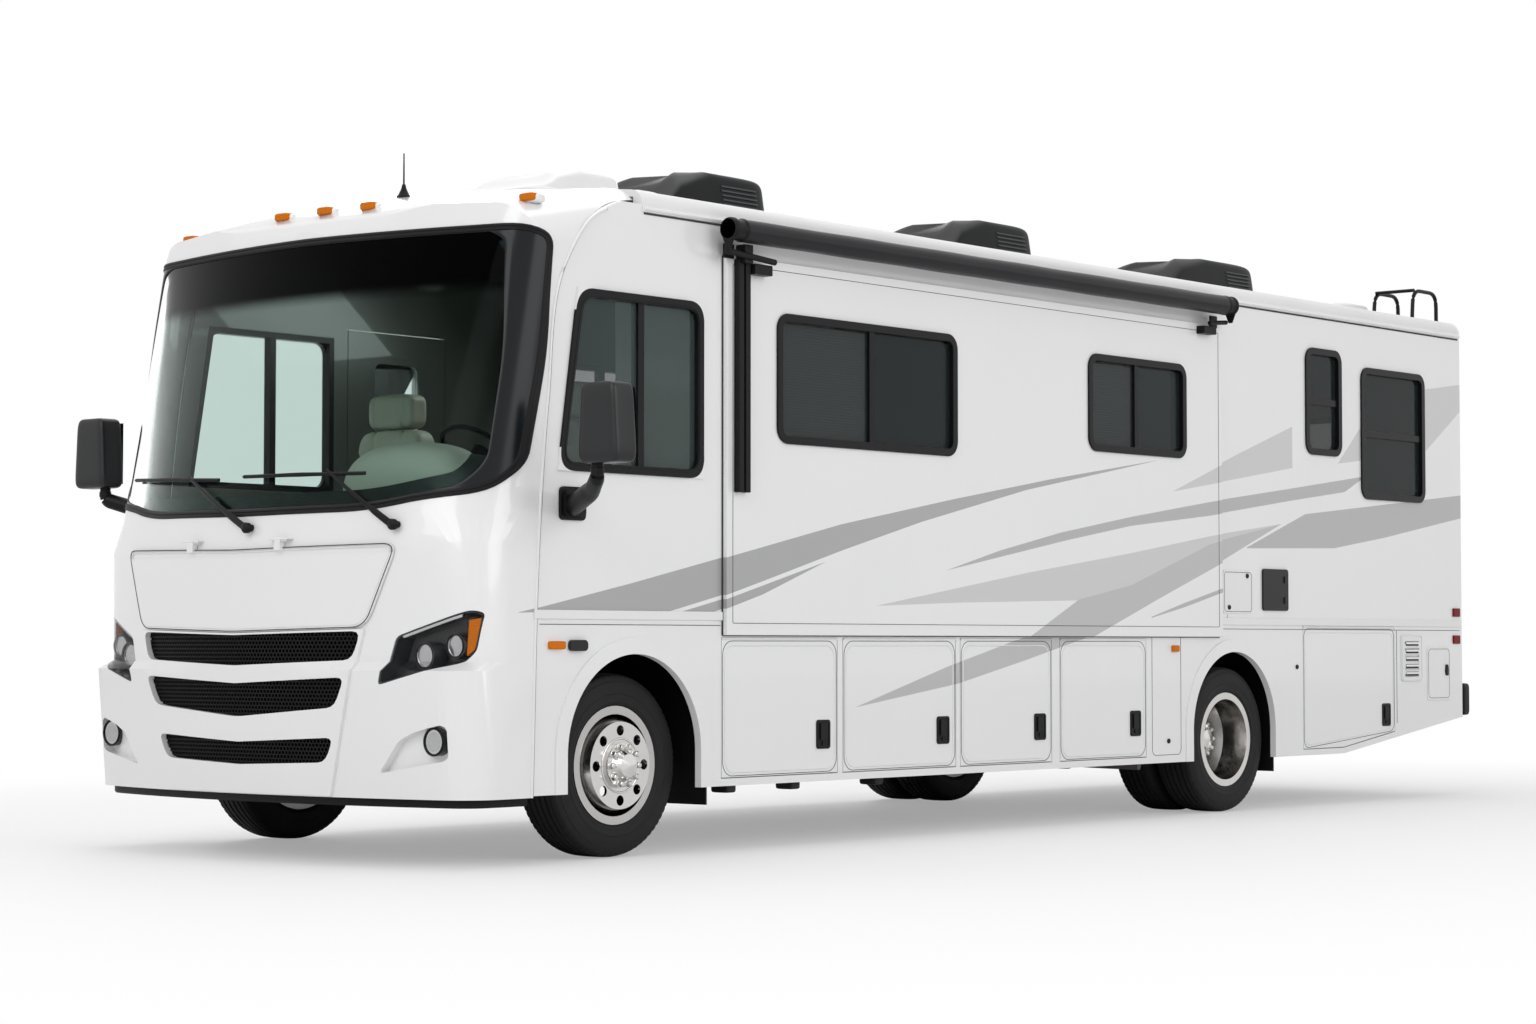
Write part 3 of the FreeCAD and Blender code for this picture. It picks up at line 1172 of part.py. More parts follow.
def under_body():
    """Engine, exhaust, fuel tank, wheel-house liners and basement compartments."""
    nodes = {}
    nodes["engine"] = box(-engine_half_width, engine_half_width, engine_y0, engine_y1, engine_z0, engine_z1)
    silencer = rod(V(exhaust_x, silencer_y0, exhaust_z), V(exhaust_x, silencer_y1, exhaust_z), silencer_radius)
    pipe = rod(V(exhaust_x, engine_y1 + overrun, exhaust_z), V(exhaust_x, silencer_y1 + silencer_radius * 2, exhaust_z), exhaust_radius)
    pieces = [silencer, pipe]
    for y in crossmember_places:
        if engine_y1 + overrun < y < silencer_y1 + silencer_radius * 2 - hanger_width:
            mid = y + crossmember_width / 2
            pieces.append(box(exhaust_x - hanger_width / 2, exhaust_x + hanger_width / 2, mid - hanger_thickness / 2,
                              mid + hanger_thickness / 2, exhaust_z, rail_top_z - seat))
    nodes["exhaust"] = join(pieces)
    tank_y0, tank_y1 = crossmember_places[-3] + crossmember_width + seat, crossmember_places[-2] - seat
    tank = box(-tank_half_width, tank_half_width, tank_y0, tank_y1, tank_z0, tank_z1)
    upright = [edge for edge in tank.Edges if edge.Length > tank_y1 - tank_y0 - seat]
    nodes["fuel_tank"] = tank.makeFillet(overrun, upright)

    liners = []
    x1 = half_width - skirt_thickness - seat
    for axle_y, y0, y1, x0, flap_x in ((front_axle_y, front_liner_y0, front_liner_y1, liner_inner_x, front_flap_x),
                                       (rear_axle_y, rear_liner_y0, rear_liner_y1, rear_liner_inner_x, rear_liner_inner_x)):
        t = liner_sheet
        wall = box(x0, x0 + t, y0, y1, liner_bottom_z, liner_top_z)
        wall = wall.cut(box(0, half_width, axle_y - liner_notch_half, axle_y + liner_notch_half, 0, liner_notch_z))
        flap = box(flap_x, flap_outer_x, y1 - flap_thickness, y1, flap_bottom_z, liner_bottom_z + flap_thickness)
        back = join([box(x0 + t + seat, x1, y1 - t, y1, liner_bottom_z, liner_top_z - t - seat), flap])
        plates = [wall, back, box(x0 + t + seat, x1, y0, y0 + t, liner_bottom_z, liner_top_z - t - seat),
                  box(x0 + t + seat, x1, y0, y1, liner_top_z - t, liner_top_z)]
        liners += [on_side(plate, side) for plate in plates for side in SIDES]
    nodes["wheel_liners"] = group(liners)

    bays = []
    x1 = half_width - skirt_thickness - seat
    low, high, half = door_z0 - basement_sheet, floor_bottom_z - seat, basement_sheet / 2
    specs = ((1, front_liner_y1 + gap, basement_y1, left_doors), (-1, entry_y1 + overrun, basement_y1, right_doors))
    for side, y0, y1, doors in specs:
        walls = [y0 + half] + [(a[1] + b[0]) / 2 for a, b in zip(doors, doors[1:])]
        walls += [doors[-1][1] + basement_sheet, y1 - half] if y1 - doors[-1][1] > basement_sheet * 10 else [y1 - half]
        bays += [on_side(plate, side) for plate in bay_plates(y0, y1, low, high, walls, x1)]
    walls = [rear_bay_y0 + half, rear_bay_y1 - half]
    plates = bay_plates(rear_bay_y0, rear_bay_y1, low, high, walls, x1)
    keep = plate_yz([(rear_bay_y0, low), (skirt_rise_start_y, low), (rear_bay_y1, rear_door_rear_z - basement_sheet),
                     (rear_bay_y1, high), (rear_bay_y0, high)], 0, half_width)
    slope = plate_yz([(skirt_rise_start_y, low), (rear_bay_y1, rear_door_rear_z - basement_sheet),
                      (rear_bay_y1, rear_door_rear_z), (skirt_rise_start_y, low + basement_sheet)], basement_x0, x1)
    base = plates[1].common(box(0, half_width, rear_bay_y0, skirt_rise_start_y, 0, high)).fuse(slope)
    bays += [plates[0].common(keep), base.removeSplitter(), plates[2]]
    for plate in plates[3:]:
        bays.append(plate.common(keep).cut(base.translated(V(0, 0, seat))).cut(base))
    nodes["basement"] = group(bays)
    return nodes


def basement_door(outline, span, hinge_z, side):
    """Basement door with its hinge barrel along the top and a recessed handle's plate."""
    x0 = half_width - door_thickness
    leaf = plate_yz(outline, x0, half_width)
    y0, y1 = span
    axis_x = half_width + 1
    barrel = rod(V(axis_x, y0, hinge_z), V(axis_x, y1, hinge_z), hinge_radius)
    web = box(half_width - hinge_radius, half_width, y0, y1, hinge_z - door_drop * 2, hinge_z)
    handle = box(half_width, half_width + handle_depth, y1 - handle_inset - handle_width, y1 - handle_inset, handle_z0, handle_z1)
    return on_side(join([leaf, web, barrel, handle]), side)


def entry_knuckles(z):
    """Hinge barrels of the entry door, drawn for the left side: one moving and a list of fixed ones."""
    place = V(half_width + hinge_radius, entry_y0, z)
    moving, fixed = knuckles(place, Z_AXIS, (None, None))
    inward = box(half_width, half_width + hinge_radius, entry_y0, entry_y0 + gap, z - knuckle_length / 2, z + knuckle_length / 2)
    plates = []
    for barrel in fixed:
        low, high = barrel.BoundBox.ZMin, barrel.BoundBox.ZMax
        plates.append(join([barrel, box(half_width, half_width + hinge_radius, entry_y0 - gap * 3, entry_y0, low, high)]))
    return join([moving, inward]), plates


def doors():
    """Basement doors, entry door and hood panel."""
    nodes = {}
    for index, span in enumerate(left_doors, 1):
        nodes[f"left_bay_door_{index}"] = basement_door(bay_door_outline(span, 0), span, door_hinge_z, 1)
    for index, span in enumerate(right_doors, 1):
        nodes[f"right_bay_door_{index}"] = basement_door(bay_door_outline(span, 0), span, door_hinge_z, -1)
    nodes["rear_bay_door"] = basement_door(rear_door_outline(0), rear_door, rear_door_hinge_z, 1)

    x1 = half_width
    leaf = box(x1 - wall_thickness, x1, entry_y0, entry_y1, entry_z0, entry_z1)
    span = entry_window
    leaf = leaf.cut(rounded_yz(span, x1 - wall_thickness - overrun, x1 + overrun, window_corner, -frame_lap))
    frame, pane = window_parts(span, x1, x1 - wall_thickness)
    barrels = [entry_knuckles(z)[0] for z in entry_knuckle_places]
    grip = box(x1, x1 + overrun, entry_y1 - handle_width, entry_y1 - handle_width / 2, handle_z0 + belt_z, handle_z1 + belt_z)
    nodes["entry_door"] = across(join([leaf, frame, grip] + barrels))
    nodes["entry_door_pane"] = across(pane)

    skin = nose_solid(panel_proud).cut(nose_solid(hood_lift))
    hood = skin.common(front_opening(eased(mirrored_outline(hood_outline), hood_ease)))
    top, side_top = hood_outline[0][1] - hood_strip, hood_outline[1][1] - hood_strip
    strip = mirrored_outline([(0, hood_axis_z), (half_width, hood_axis_z), (half_width, side_top), (0, top)])
    hood = hood.cut(nose_skin(panel_proud + gap, panel_proud - hood_strip_drop).common(front_opening(strip)))
    barrels = []
    for side in SIDES:
        place = V(side * hood_hinge_x, hood_axis_y, hood_axis_z)
        moving = knuckles(place, X_AXIS, (V(0, 0, -hood_web), None))[0]
        half = knuckle_length / 2
        low = hood_outline[0][1] - gap * 2
        lug = box(place.x - half, place.x + half, hood_axis_y - hinge_radius, hood_axis_y - hinge_radius + hood_lug_y,
                  low, low + hood_lug_z)
        barrels.append(moving.fuse(lug))
    nodes["hood_panel"] = join([hood] + barrels)
    return nodes


def floor_node():
    """Floor plates, the raised engine cover and the entry steps."""
    y0, y1 = floor_front_y, rear_face_y - rear_cap_thickness
    low, high = floor_bottom_z, floor_top_z
    x_out = half_width - wall_thickness - seat
    w, t = engine_cover_half_width, engine_cover_wall
    inner = -step_inner_x + step_wall
    plates = stacked([(w + seat, x_out, y0, engine_cover_rear_y, low, high), (-x_out, -w - seat, y0, engine_cover_rear_y, low, high),
                      (-x_out, x_out, engine_cover_rear_y, entry_y0, low, high),
                      (inner + seat, x_out, entry_y0, entry_y1, low, high), (-x_out, x_out, entry_y1, y1, low, high)])
    rounded = nose_solid(-cap_thickness - floor_clearance)
    plates = [plate.common(rounded) for plate in plates[:2]] + plates[2:]
    front, rear, top = engine_cover_front_y, engine_cover_rear_y - seat, engine_cover_top_z
    cover = stacked([(-w, w, front, rear, top - t, top), (-w, w, front, front + t, low, top),
                     (-w, w, rear - t, rear, low, top), (-w, -w + t, front, rear, low, top),
                     (w - t, w, front, rear, low, top)])
    mid_x, step_z = -x_out + step_depth, entry_z0
    near, far = entry_y0 + seat, entry_y1 - seat
    steps = stacked([(-x_out, inner, near, near + liner_sheet, step_z, high), (-x_out, inner, far - liner_sheet, far, step_z, high),
                     (-x_out, mid_x, near, far, step_z, step_z + step_tread),
                     (-step_inner_x, inner, near, far, step_mid_z - step_tread, high),
                     (mid_x, -step_inner_x, near, far, step_mid_z - step_tread, step_mid_z),
                     (mid_x, mid_x + step_tread, near, far, step_z, step_mid_z)])
    return {"floor": group(plates + cover + steps)}


def cab():
    """Dashboard, front seats and steering wheel."""
    nodes = {}
    hull = nose_solid(-cap_thickness - dash_clearance)
    reach = half_width - wall_thickness - seat
    dash = hull.common(box(-reach, reach, nose_y, dash_y1, dash_z0, dash_z1))
    hump = box(binnacle_x0, binnacle_x1, binnacle_y0, binnacle_y1, dash_z1 - overrun, binnacle_top_z)
    column_way = V(0, -math.sin(math.radians(steering_tilt)), -math.cos(math.radians(steering_tilt)))
    centre = V(steering_x, steering_y, steering_z)
    low = centre + column_way * (steering_hub_thickness / 2 + seat)
    column = rod(low, low + column_way * column_length, column_radius)
    nodes["dashboard"] = join([dash, hump, column])

    rim = []
    for step in range(6):
        angle = math.pi * step / 3
        rim.append((wheel_rim_tube * math.cos(angle), wheel_rim_radius + wheel_rim_tube * math.sin(angle)))
    ring = faceted_ring(rim, wheel_rim_sides, 0, 0, 0)
    ring.Placement = FreeCAD.Placement(centre, FreeCAD.Rotation(X_AXIS, column_way))
    hub = Part.makeCylinder(steering_hub_radius, steering_hub_thickness, centre - column_way * (steering_hub_thickness / 2), column_way)
    spokes = [rod(centre - X_AXIS * wheel_rim_radius, centre + X_AXIS * wheel_rim_radius, wheel_rim_tube * 0.8)]
    nodes["steering_wheel"] = join([ring, hub] + spokes)

    seats = []
    for side in SIDES:
        x = side * seat_x
        w = seat_half_width
        seats.append(join([
            box(x - pedestal_half_width, x + pedestal_half_width, seat_y0 + overrun * 2, seat_y1 - overrun, floor_top_z, seat_cushion_z),
            box(x - w, x + w, seat_y0, seat_back_y1, seat_cushion_z, seat_top_z),
            box(x - w, x + w, seat_y1, seat_back_y1, seat_top_z, seat_back_top_z),
            box(x - headrest_half_width, x + headrest_half_width, seat_y1 + overrun / 2, seat_back_y1, seat_back_top_z, headrest_top_z),
        ]))
    nodes["cab_seats"] = group(seats)
    return nodes


def roof_equipment():
    """Air conditioners, vents and aerial on the roof."""
    nodes = {}
    roof_solid = body_section(nose_y, tail_y, seat, 0)
    units = []
    for y0, y1 in cooler_spans:
        length = y1 - y0
        outline = [(y0, roof_peak_z - cooler_base * 2), (y0, roof_peak_z + cooler_base), (y0 + length * 0.25, cooler_front_z + cooler_base * 2),
                   (y0 + length * 0.45, cooler_top_z), (y1 - cooler_base, cooler_top_z), (y1, cooler_top_z - cooler_base),
                   (y1, roof_peak_z - cooler_base * 2)]
        unit = plate_yz(eased(outline, cooler_ease), -cooler_half_width, cooler_half_width)
        w, top, low = cooler_half_width, cooler_top_z + overrun, roof_peak_z - cooler_base * 3
        face = [(-w, low), (-w, roof_peak_z + cooler_base), (-w * cooler_top_share, top), (w * cooler_top_share, top),
                (w, roof_peak_z + cooler_base), (w, low)]
        unit = unit.common(plate_xz(eased(face, cooler_ease), y0 - overrun, y1 + overrun))
        for step in range(louvre_count):
            z = roof_peak_z + cooler_base + louvre_pitch * (step + 1)
            for side in SIDES:
                unit = unit.cut(on_side(box(w * cooler_top_share, w, y1 - length * louvre_share, y1 - cooler_base * 2, z, z + louvre_slot), side))
            unit = unit.cut(box(-w * cooler_top_share, w * cooler_top_share, y1 - louvre_depth, y1 + overrun, z - louvre_pitch, z - louvre_pitch + louvre_slot))
        units.append(unit.cut(roof_solid))
    nodes["air_conditioners"] = group(units)
    fittings = []
    for x0, x1, y0, y1, top in vent_boxes:
        low = roof_peak_z - cooler_base * 2
        slope = (top - roof_peak_z) * vent_slope_share
        side = plate_yz(eased([(y0, low), (y0, top - slope), (y0 + slope * 2, top), (y1 - slope * 2, top), (y1, top - slope), (y1, low)], slope), x0, x1)
        face = plate_xz(eased([(x0, low), (x0, top - slope), (x0 + slope, top), (x1 - slope, top), (x1, top - slope), (x1, low)], slope), y0, y1)
        fittings.append(side.common(face).cut(roof_solid).cut(nose_solid(seat)))
    mast = rod(V(antenna_x, antenna_y, roof_peak_z - cooler_base * 2), V(antenna_x, antenna_y, antenna_top_z), antenna_radius)
    fittings.append(mast.cut(nose_solid(seat)))
    nodes["roof_fittings"] = group(fittings)
    return nodes


def rear_equipment():
    """Ladder, bumper with receiver, tail lamps."""
    nodes = {}
    r = ladder_tube
    pieces = []
    for x in (ladder_x0, ladder_x1):
        path = [V(x, ladder_y, ladder_bottom_z), V(x, ladder_y, ladder_top_z), V(x, ladder_roof_y, ladder_top_z),
                V(x, ladder_roof_y, roof_peak_z - cooler_base)]
        for start, end in zip(path, path[1:]):
            pieces.append(rod(start, end, r))
        for corner in path[1:3]:
            pieces.append(Part.makeSphere(r, corner))
        for z in (ladder_bottom_z + rung_pitch / 2, ladder_bottom_z + rung_pitch * 6.5):
            pieces.append(rod(V(x, rear_face_y, z), V(x, ladder_y, z), r * 0.8))
    count = int((roof_peak_z - ladder_bottom_z) / rung_pitch)
    for step in range(count):
        z = ladder_bottom_z + rung_pitch * (step + 0.3)
        pieces.append(rod(V(ladder_x0, ladder_y, z), V(ladder_x1, ladder_y, z), r * 0.9))
    pieces.append(rod(V(ladder_x0, ladder_roof_y, ladder_top_z), V(ladder_x1, ladder_roof_y, ladder_top_z), r * 0.9))
    nodes["ladder"] = join(pieces).cut(body_section(nose_y, rear_face_y, seat, 0))

    bar = box(-bumper_half_width, bumper_half_width, rear_face_y, tail_y, bumper_z0, bumper_z1)
    tube = box(-receiver_half, receiver_half, tail_y - receiver_length, tail_y - gap, receiver_z - receiver_half, receiver_z + receiver_half)
    tube = tube.cut(box(-receiver_bore_half, receiver_bore_half, rear_face_y - receiver_length, tail_y, receiver_z - receiver_bore_half,
                        receiver_z + receiver_bore_half))
    hanger = box(-receiver_half * 2, receiver_half * 2, rear_face_y, tail_y - gap * 2, receiver_z + receiver_half, bumper_z0)
    hole = Part.makeCylinder(receiver_pin_radius, receiver_half * 4, V(-receiver_half * 2, tail_y - receiver_pin_inset, receiver_z), X_AXIS)
    nodes["rear_bumper"] = join([bar, tube, hanger]).cut(hole)

    lamps = []
    for side in SIDES:
        lamps.append(on_side(box(tail_lamp_x0, tail_lamp_x1, rear_face_y, rear_face_y + marker_proud, tail_lamp_z0, tail_lamp_z1), side))
        for y0, y1, z0, z1 in tail_lamp_places:
            lamps.append(on_side(box(half_width, half_width + marker_proud / 2, y0, y1, z0, z1), side))
    nodes["tail_lamps"] = group(lamps)
    return nodes


def side_equipment():
    """Mirrors, mouldings and the patio awning on the right."""
    nodes = {}
    head = box(mirror_x0, mirror_x1, mirror_y0, mirror_y1, mirror_z0, mirror_z1)
    uprights = [edge for edge in head.Edges if edge.Length > mirror_z1 - mirror_z0 - seat]
    head = head.makeFillet(overrun, uprights)
    base = box(half_width, half_width + mirror_base_plate, mirror_base_y0, mirror_base_y1, mirror_base_z0, mirror_base_z1)
    foot = V(half_width + mirror_base_plate, (mirror_base_y0 + mirror_base_y1) / 2, (mirror_base_z0 + mirror_base_z1) / 2)
    elbow = V((mirror_x0 + mirror_x1) / 2, (mirror_y0 + mirror_y1) / 2, mirror_z0 - mirror_tube)
    top = V(elbow.x, elbow.y, mirror_z0 + mirror_tube)
    mirror = join([head, base, rod(foot, elbow, mirror_tube), rod(elbow, top, mirror_tube), Part.makeSphere(mirror_tube, elbow)])
    nodes["mirrors"] = group([mirror, across(mirror)])

    strips = []
    x0, x1 = half_width, half_width + moulding_proud
    for side, spans in ((1, ((cap_seam_points[-1][0], fascia_y0 - gap), (fascia_y1 + gap, rear_cap_front_y))),
                        (-1, ((cap_seam_points[-1][0], entry_y0 - gap * 2), (entry_y1 + gap * 2, rear_cap_front_y)))):
        for y0, y1 in spans:
            strips.append(on_side(box(x0, x1, y0, y1, belt_z, belt_z + belt_height), side))
        strips.append(on_side(box(x0, x1, roof_seam_y, rear_cap_front_y, gutter_z, gutter_z + gutter_height), side))
    x_seat = half_width + seat
    for span, proud in hatches:
        strips.append(rounded_yz(span, x_seat, x_seat + proud, hatch_corner))
    y0, y1, z0, z1 = louvre_span
    louvre = rounded_yz(louvre_span, x_seat, x_seat + moulding_proud, hatch_corner)
    for step in range(vent_slot_count):
        z = z0 + (z1 - z0) * (step + 1) / (vent_slot_count + 1)
        louvre = louvre.cut(box(x_seat, half_width * 2, y0 + hatch_corner * 2, y1 - hatch_corner * 2, z - louvre_slot, z))
    louvre = louvre.fuse(rounded_yz(louvre_span, x_seat, x_seat + moulding_proud / 4, hatch_corner))
    strips.append(louvre)
    nodes["trim_mouldings"] = group(strips)

    case = box(half_width + moulding_proud, half_width + moulding_proud + case_depth, case_y0, case_y1, case_z0, case_z1)
    long_edges = [edge for edge in case.Edges if edge.Length > case_y1 - case_y0 - seat and edge.CenterOfMass.x > half_width + moulding_proud * 2]
    case = case.makeFillet(overrun, long_edges)
    pieces = [case, box(half_width, half_width + moulding_proud, case_y0, case_y1, case_z0 + case_depth / 2, case_z1)]
    for y in (case_y0 + case_arm_width, case_y1 - case_arm_width * 2):
        pieces.append(box(half_width + moulding_proud + gap, half_width + moulding_proud + gap + case_arm_depth, y, y + case_arm_width, case_arm_bottom_z, case_z0 + overrun))
        pieces.append(box(half_width, half_width + moulding_proud + gap, y, y + case_arm_width, case_arm_bottom_z + overrun, case_arm_bottom_z + overrun * 3))
    nodes["patio_awning"] = across(join(pieces))
    return nodes


def main():
    """Build every node and write one file for each."""
    os.makedirs("parts", exist_ok=True)
    nodes = {}
    for maker in (shell_panels, glazing, nose_fittings, slide_room, wheels, axles, ladder_frame, under_body, doors,
                  floor_node, cab, roof_equipment, rear_equipment, side_equipment):
        nodes.update(maker())
    for name, shape in nodes.items():
        shape.exportStep(f"parts/{name}.step")
        print(f"{name:24s} solids {len(shape.Solids):3d} valid {shape.isValid()} volume {shape.Volume / 1e6:10.2f}")
    print(len(nodes), "nodes")


main()
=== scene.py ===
import logging
import math
from dataclasses import dataclass
from enum import Enum
from typing import Callable, Dict, List, Mapping, Optional, Sequence, Tuple, Union

import bpy
import numpy as np
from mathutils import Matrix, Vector


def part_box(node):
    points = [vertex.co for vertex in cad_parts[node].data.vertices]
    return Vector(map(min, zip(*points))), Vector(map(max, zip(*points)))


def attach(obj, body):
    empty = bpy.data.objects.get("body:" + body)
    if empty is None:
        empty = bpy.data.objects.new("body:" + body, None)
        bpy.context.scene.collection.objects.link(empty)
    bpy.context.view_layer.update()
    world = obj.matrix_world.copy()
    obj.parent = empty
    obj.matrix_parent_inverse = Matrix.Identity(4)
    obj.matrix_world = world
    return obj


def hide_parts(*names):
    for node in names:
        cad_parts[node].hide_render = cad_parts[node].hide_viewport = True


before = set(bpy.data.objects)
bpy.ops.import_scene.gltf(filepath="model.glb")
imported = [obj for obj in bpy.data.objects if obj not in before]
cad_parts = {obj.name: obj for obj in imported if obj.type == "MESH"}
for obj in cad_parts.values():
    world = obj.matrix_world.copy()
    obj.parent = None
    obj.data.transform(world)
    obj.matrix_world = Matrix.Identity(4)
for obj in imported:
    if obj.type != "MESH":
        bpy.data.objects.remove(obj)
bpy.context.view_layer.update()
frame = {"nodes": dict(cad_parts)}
LOG = logging.getLogger("motorhome")

RGB = Tuple[float, float, float]
Point = Tuple[float, float, float]
Pair = Tuple[float, float]
Curve = Tuple[Pair, ...]
ACROSS, ALONG, UPWARD = (1.0, 0.0, 0.0), (0.0, 1.0, 0.0), (0.0, 0.0, 1.0)
FRONT_AXLE_Y, REAR_AXLE_Y, AXLE_Z = -3.42, 1.76, 0.422
BOTH_SIDES = ((1, "left"), (-1, "right"))


# Shader graphs


def operator(operation: str, turned: bool = False) -> Callable[["Signal", object], "Signal"]:
    """A method of signals that adds one Math node.

    Args:
        operation: Name of the Math node's operation.
        turned: Whether the signal comes second.

    Returns:
        The method.
    """
    def method(self: "Signal", other: object) -> "Signal":
        """The node's result for the signal and another value or signal."""
        return self.math(operation, other, self) if turned else self.math(operation, self, other)
    return method


class Signal:
    """One output socket of a material, on which Python's operators add Math nodes."""

    def __init__(self, graph: "Graph", socket: bpy.types.NodeSocket) -> None:
        """Keeps the socket and the graph that new nodes go into."""
        self.graph = graph
        self.socket = socket

    def math(self, operation: str, first: object, second: object = 0.0) -> "Signal":
        """Adds one Math node.

        Args:
            operation: Name of the Math node's operation.
            first: Value or signal of the first socket.
            second: Value or signal of the second socket.

        Returns:
            The node's result.
        """
        return self.graph.node("ShaderNodeMath", {"operation": operation}, {0: first, 1: second})

    __add__, __radd__ = operator("ADD"), operator("ADD", True)
    __sub__, __rsub__ = operator("SUBTRACT"), operator("SUBTRACT", True)
    __mul__, __rmul__ = operator("MULTIPLY"), operator("MULTIPLY", True)
    __truediv__, __rtruediv__ = operator("DIVIDE"), operator("DIVIDE", True)
    __gt__, __lt__ = operator("GREATER_THAN"), operator("LESS_THAN")
    highest = operator("MAXIMUM")

    def __pow__(self, other: object) -> "Signal":
        """Power of the signal's size."""
        return self.math("POWER", abs(self), other)

    def __abs__(self) -> "Signal":
        """Distance from zero."""
        return self.math("ABSOLUTE", self)

    def sine(self) -> "Signal":
        """Sine of the signal in radians."""
        return self.math("SINE", self)

    def rise(self, low: float, high: float) -> "Signal":
        """Soft step.

        Args:
            low: Where the step starts at 0.
            high: Where it ends at 1.

        Returns:
            A value from 0 to 1.
        """
        return self.graph.node("ShaderNodeMapRange", {"interpolation_type": "SMOOTHSTEP"},
                               {0: self, 1: low, 2: high, 3: 0.0, 4: 1.0})


class Graph:
    """The node tree of one material or of the world."""

    def __init__(self, tree: bpy.types.NodeTree) -> None:
        """Empties the tree."""
        self.tree = tree
        tree.nodes.clear()
        self._place: Optional[Signal] = None
        self._axes: Optional[Tuple[Signal, Signal, Signal]] = None

    def node(self, kind: str, settings: Optional[Mapping[str, object]] = None,
             inputs: Optional[Mapping[Union[int, str], object]] = None,
             output: Union[int, str] = 0) -> Signal:
        """Adds one node of any type.

        Args:
            kind: The node's type.
            settings: Its settings, which are set first; "stops" holds a ramp's places and grey levels.
            inputs: Values or signals of its sockets, by number or name.
            output: The socket that is wanted.

        Returns:
            The wanted output.
        """
        made = self.tree.nodes.new(kind)
        for key, value in (settings or {}).items():
            if key == "stops":
                elements = made.color_ramp.elements
                elements.remove(elements[-1])
                for index, (place, level) in enumerate(value):
                    element = elements[0] if index == 0 else elements.new(place)
                    element.position = place
                    element.color = (level, level, level, 1.0)
            else:
                setattr(made, key, value)
        for key, value in (inputs or {}).items():
            if isinstance(value, Signal):
                self.tree.links.new(value.socket, made.inputs[key])
            else:
                made.inputs[key].default_value = value
        return Signal(self, made.outputs[output]) if made.outputs else Signal(self, None)

    def place(self) -> Signal:
        """Object coordinates."""
        if self._place is None:
            self._place = self.node("ShaderNodeTexCoord", output="Object")
        return self._place

    def axes(self) -> Tuple[Signal, Signal, Signal]:
        """The three object coordinates, each on its own."""
        if self._axes is None:
            split = self.node("ShaderNodeSeparateXYZ", inputs={0: self.place()})
            self._axes = tuple(Signal(self, split.socket.node.outputs[i]) for i in range(3))
        return self._axes

    def noise(self, scale: float, detail: float = 2.0, stretch: Point = (1.0, 1.0, 1.0)) -> Signal:
        """Noise of the surface's place.

        Args:
            scale: Patches in a metre.
            detail: Octaves.
            stretch: Extra scale along each axis.

        Returns:
            A value round 0.5.
        """
        place = self.place()
        if stretch != (1.0, 1.0, 1.0):
            place = self.node("ShaderNodeMapping", inputs={"Vector": place, "Scale": stretch})
        return self.node("ShaderNodeTexNoise", inputs={"Vector": place, "Scale": scale, "Detail": detail})

    def mix(self, factor: object, first: object, second: object) -> Signal:
        """Colour between two others."""
        return self.node("ShaderNodeMix", {"data_type": "RGBA"}, {0: factor, 6: first, 7: second}, output=2)

    def finish(self, surface: Signal) -> None:
        """Sends a shader to the output."""
        world = self.tree.id_data == bpy.context.scene.world
        self.node("ShaderNodeOutputWorld" if world else "ShaderNodeOutputMaterial",
                  inputs={"Surface": surface})


def opaque(colour: RGB) -> Tuple[float, float, float, float]:
    """Colour with its fourth number."""
    return (colour[0], colour[1], colour[2], 1.0)


# Finishes


@dataclass(frozen=True)
class Finish:
    """A finish whose colour, gloss and relief wander a little over the surface."""

    paint: "Paint"
    colour: RGB
    roughness: float = 0.4
    metallic: float = 0.0
    coat: float = 0.0
    cloudiness: float = 0.05
    cloud_scale: float = 1.7
    gloss_spread: float = 0.08
    grain_scale: float = 350.0
    grain_depth: float = 0.00012
    grain_stretch: Point = (1.0, 1.0, 1.0)
    specular: float = 0.5
    transmission: float = 0.0
    bending: float = 1.5

    def tint(self, graph: Graph) -> Signal:
        """Base colour, darker in soft patches."""
        dark = tuple(c * (1.0 - 4.0 * self.cloudiness) for c in self.colour)
        clouds = graph.noise(self.cloud_scale, 3.0).rise(0.3, 0.8)
        return graph.mix(clouds * 0.25, opaque(self.colour), opaque(dark))

    def relief(self, graph: Graph) -> Signal:
        """Surface normal under fine grain."""
        grain = graph.noise(self.grain_scale, 2.0, self.grain_stretch)
        return graph.node("ShaderNodeBump", inputs={"Strength": 1.0, "Distance": self.grain_depth,
                                                    "Height": grain})

    def gloss(self, graph: Graph) -> Signal:
        """Roughness, rougher in places."""
        return (graph.noise(self.cloud_scale * 3.0, 2.0) - 0.5) * self.gloss_spread + self.roughness

    def clearness(self, graph: Graph) -> Optional[Signal]:
        """Alpha, where it changes over the surface."""
        return None

    def glow(self) -> Tuple[RGB, float]:
        """Emission colour and strength."""
        return (0.0, 0.0, 0.0), 0.0

    def build(self) -> bpy.types.Material:
        """Makes the material."""
        material = bpy.data.materials.new(self.paint.value)
        material.use_nodes = True
        graph = Graph(material.node_tree)
        colour, strength = self.glow()
        inputs = {"Base Color": self.tint(graph), "Roughness": self.gloss(graph), "Metallic": self.metallic,
                  "Coat Weight": self.coat, "Coat Roughness": 0.03, "Specular IOR Level": self.specular,
                  "Transmission Weight": self.transmission, "IOR": self.bending,
                  "Normal": self.relief(graph), "Emission Color": opaque(colour),
                  "Emission Strength": strength}
        alpha = self.clearness(graph)
        if alpha is not None:
            inputs["Alpha"] = alpha
        graph.finish(graph.node("ShaderNodeBsdfPrincipled", inputs=inputs))
        return material


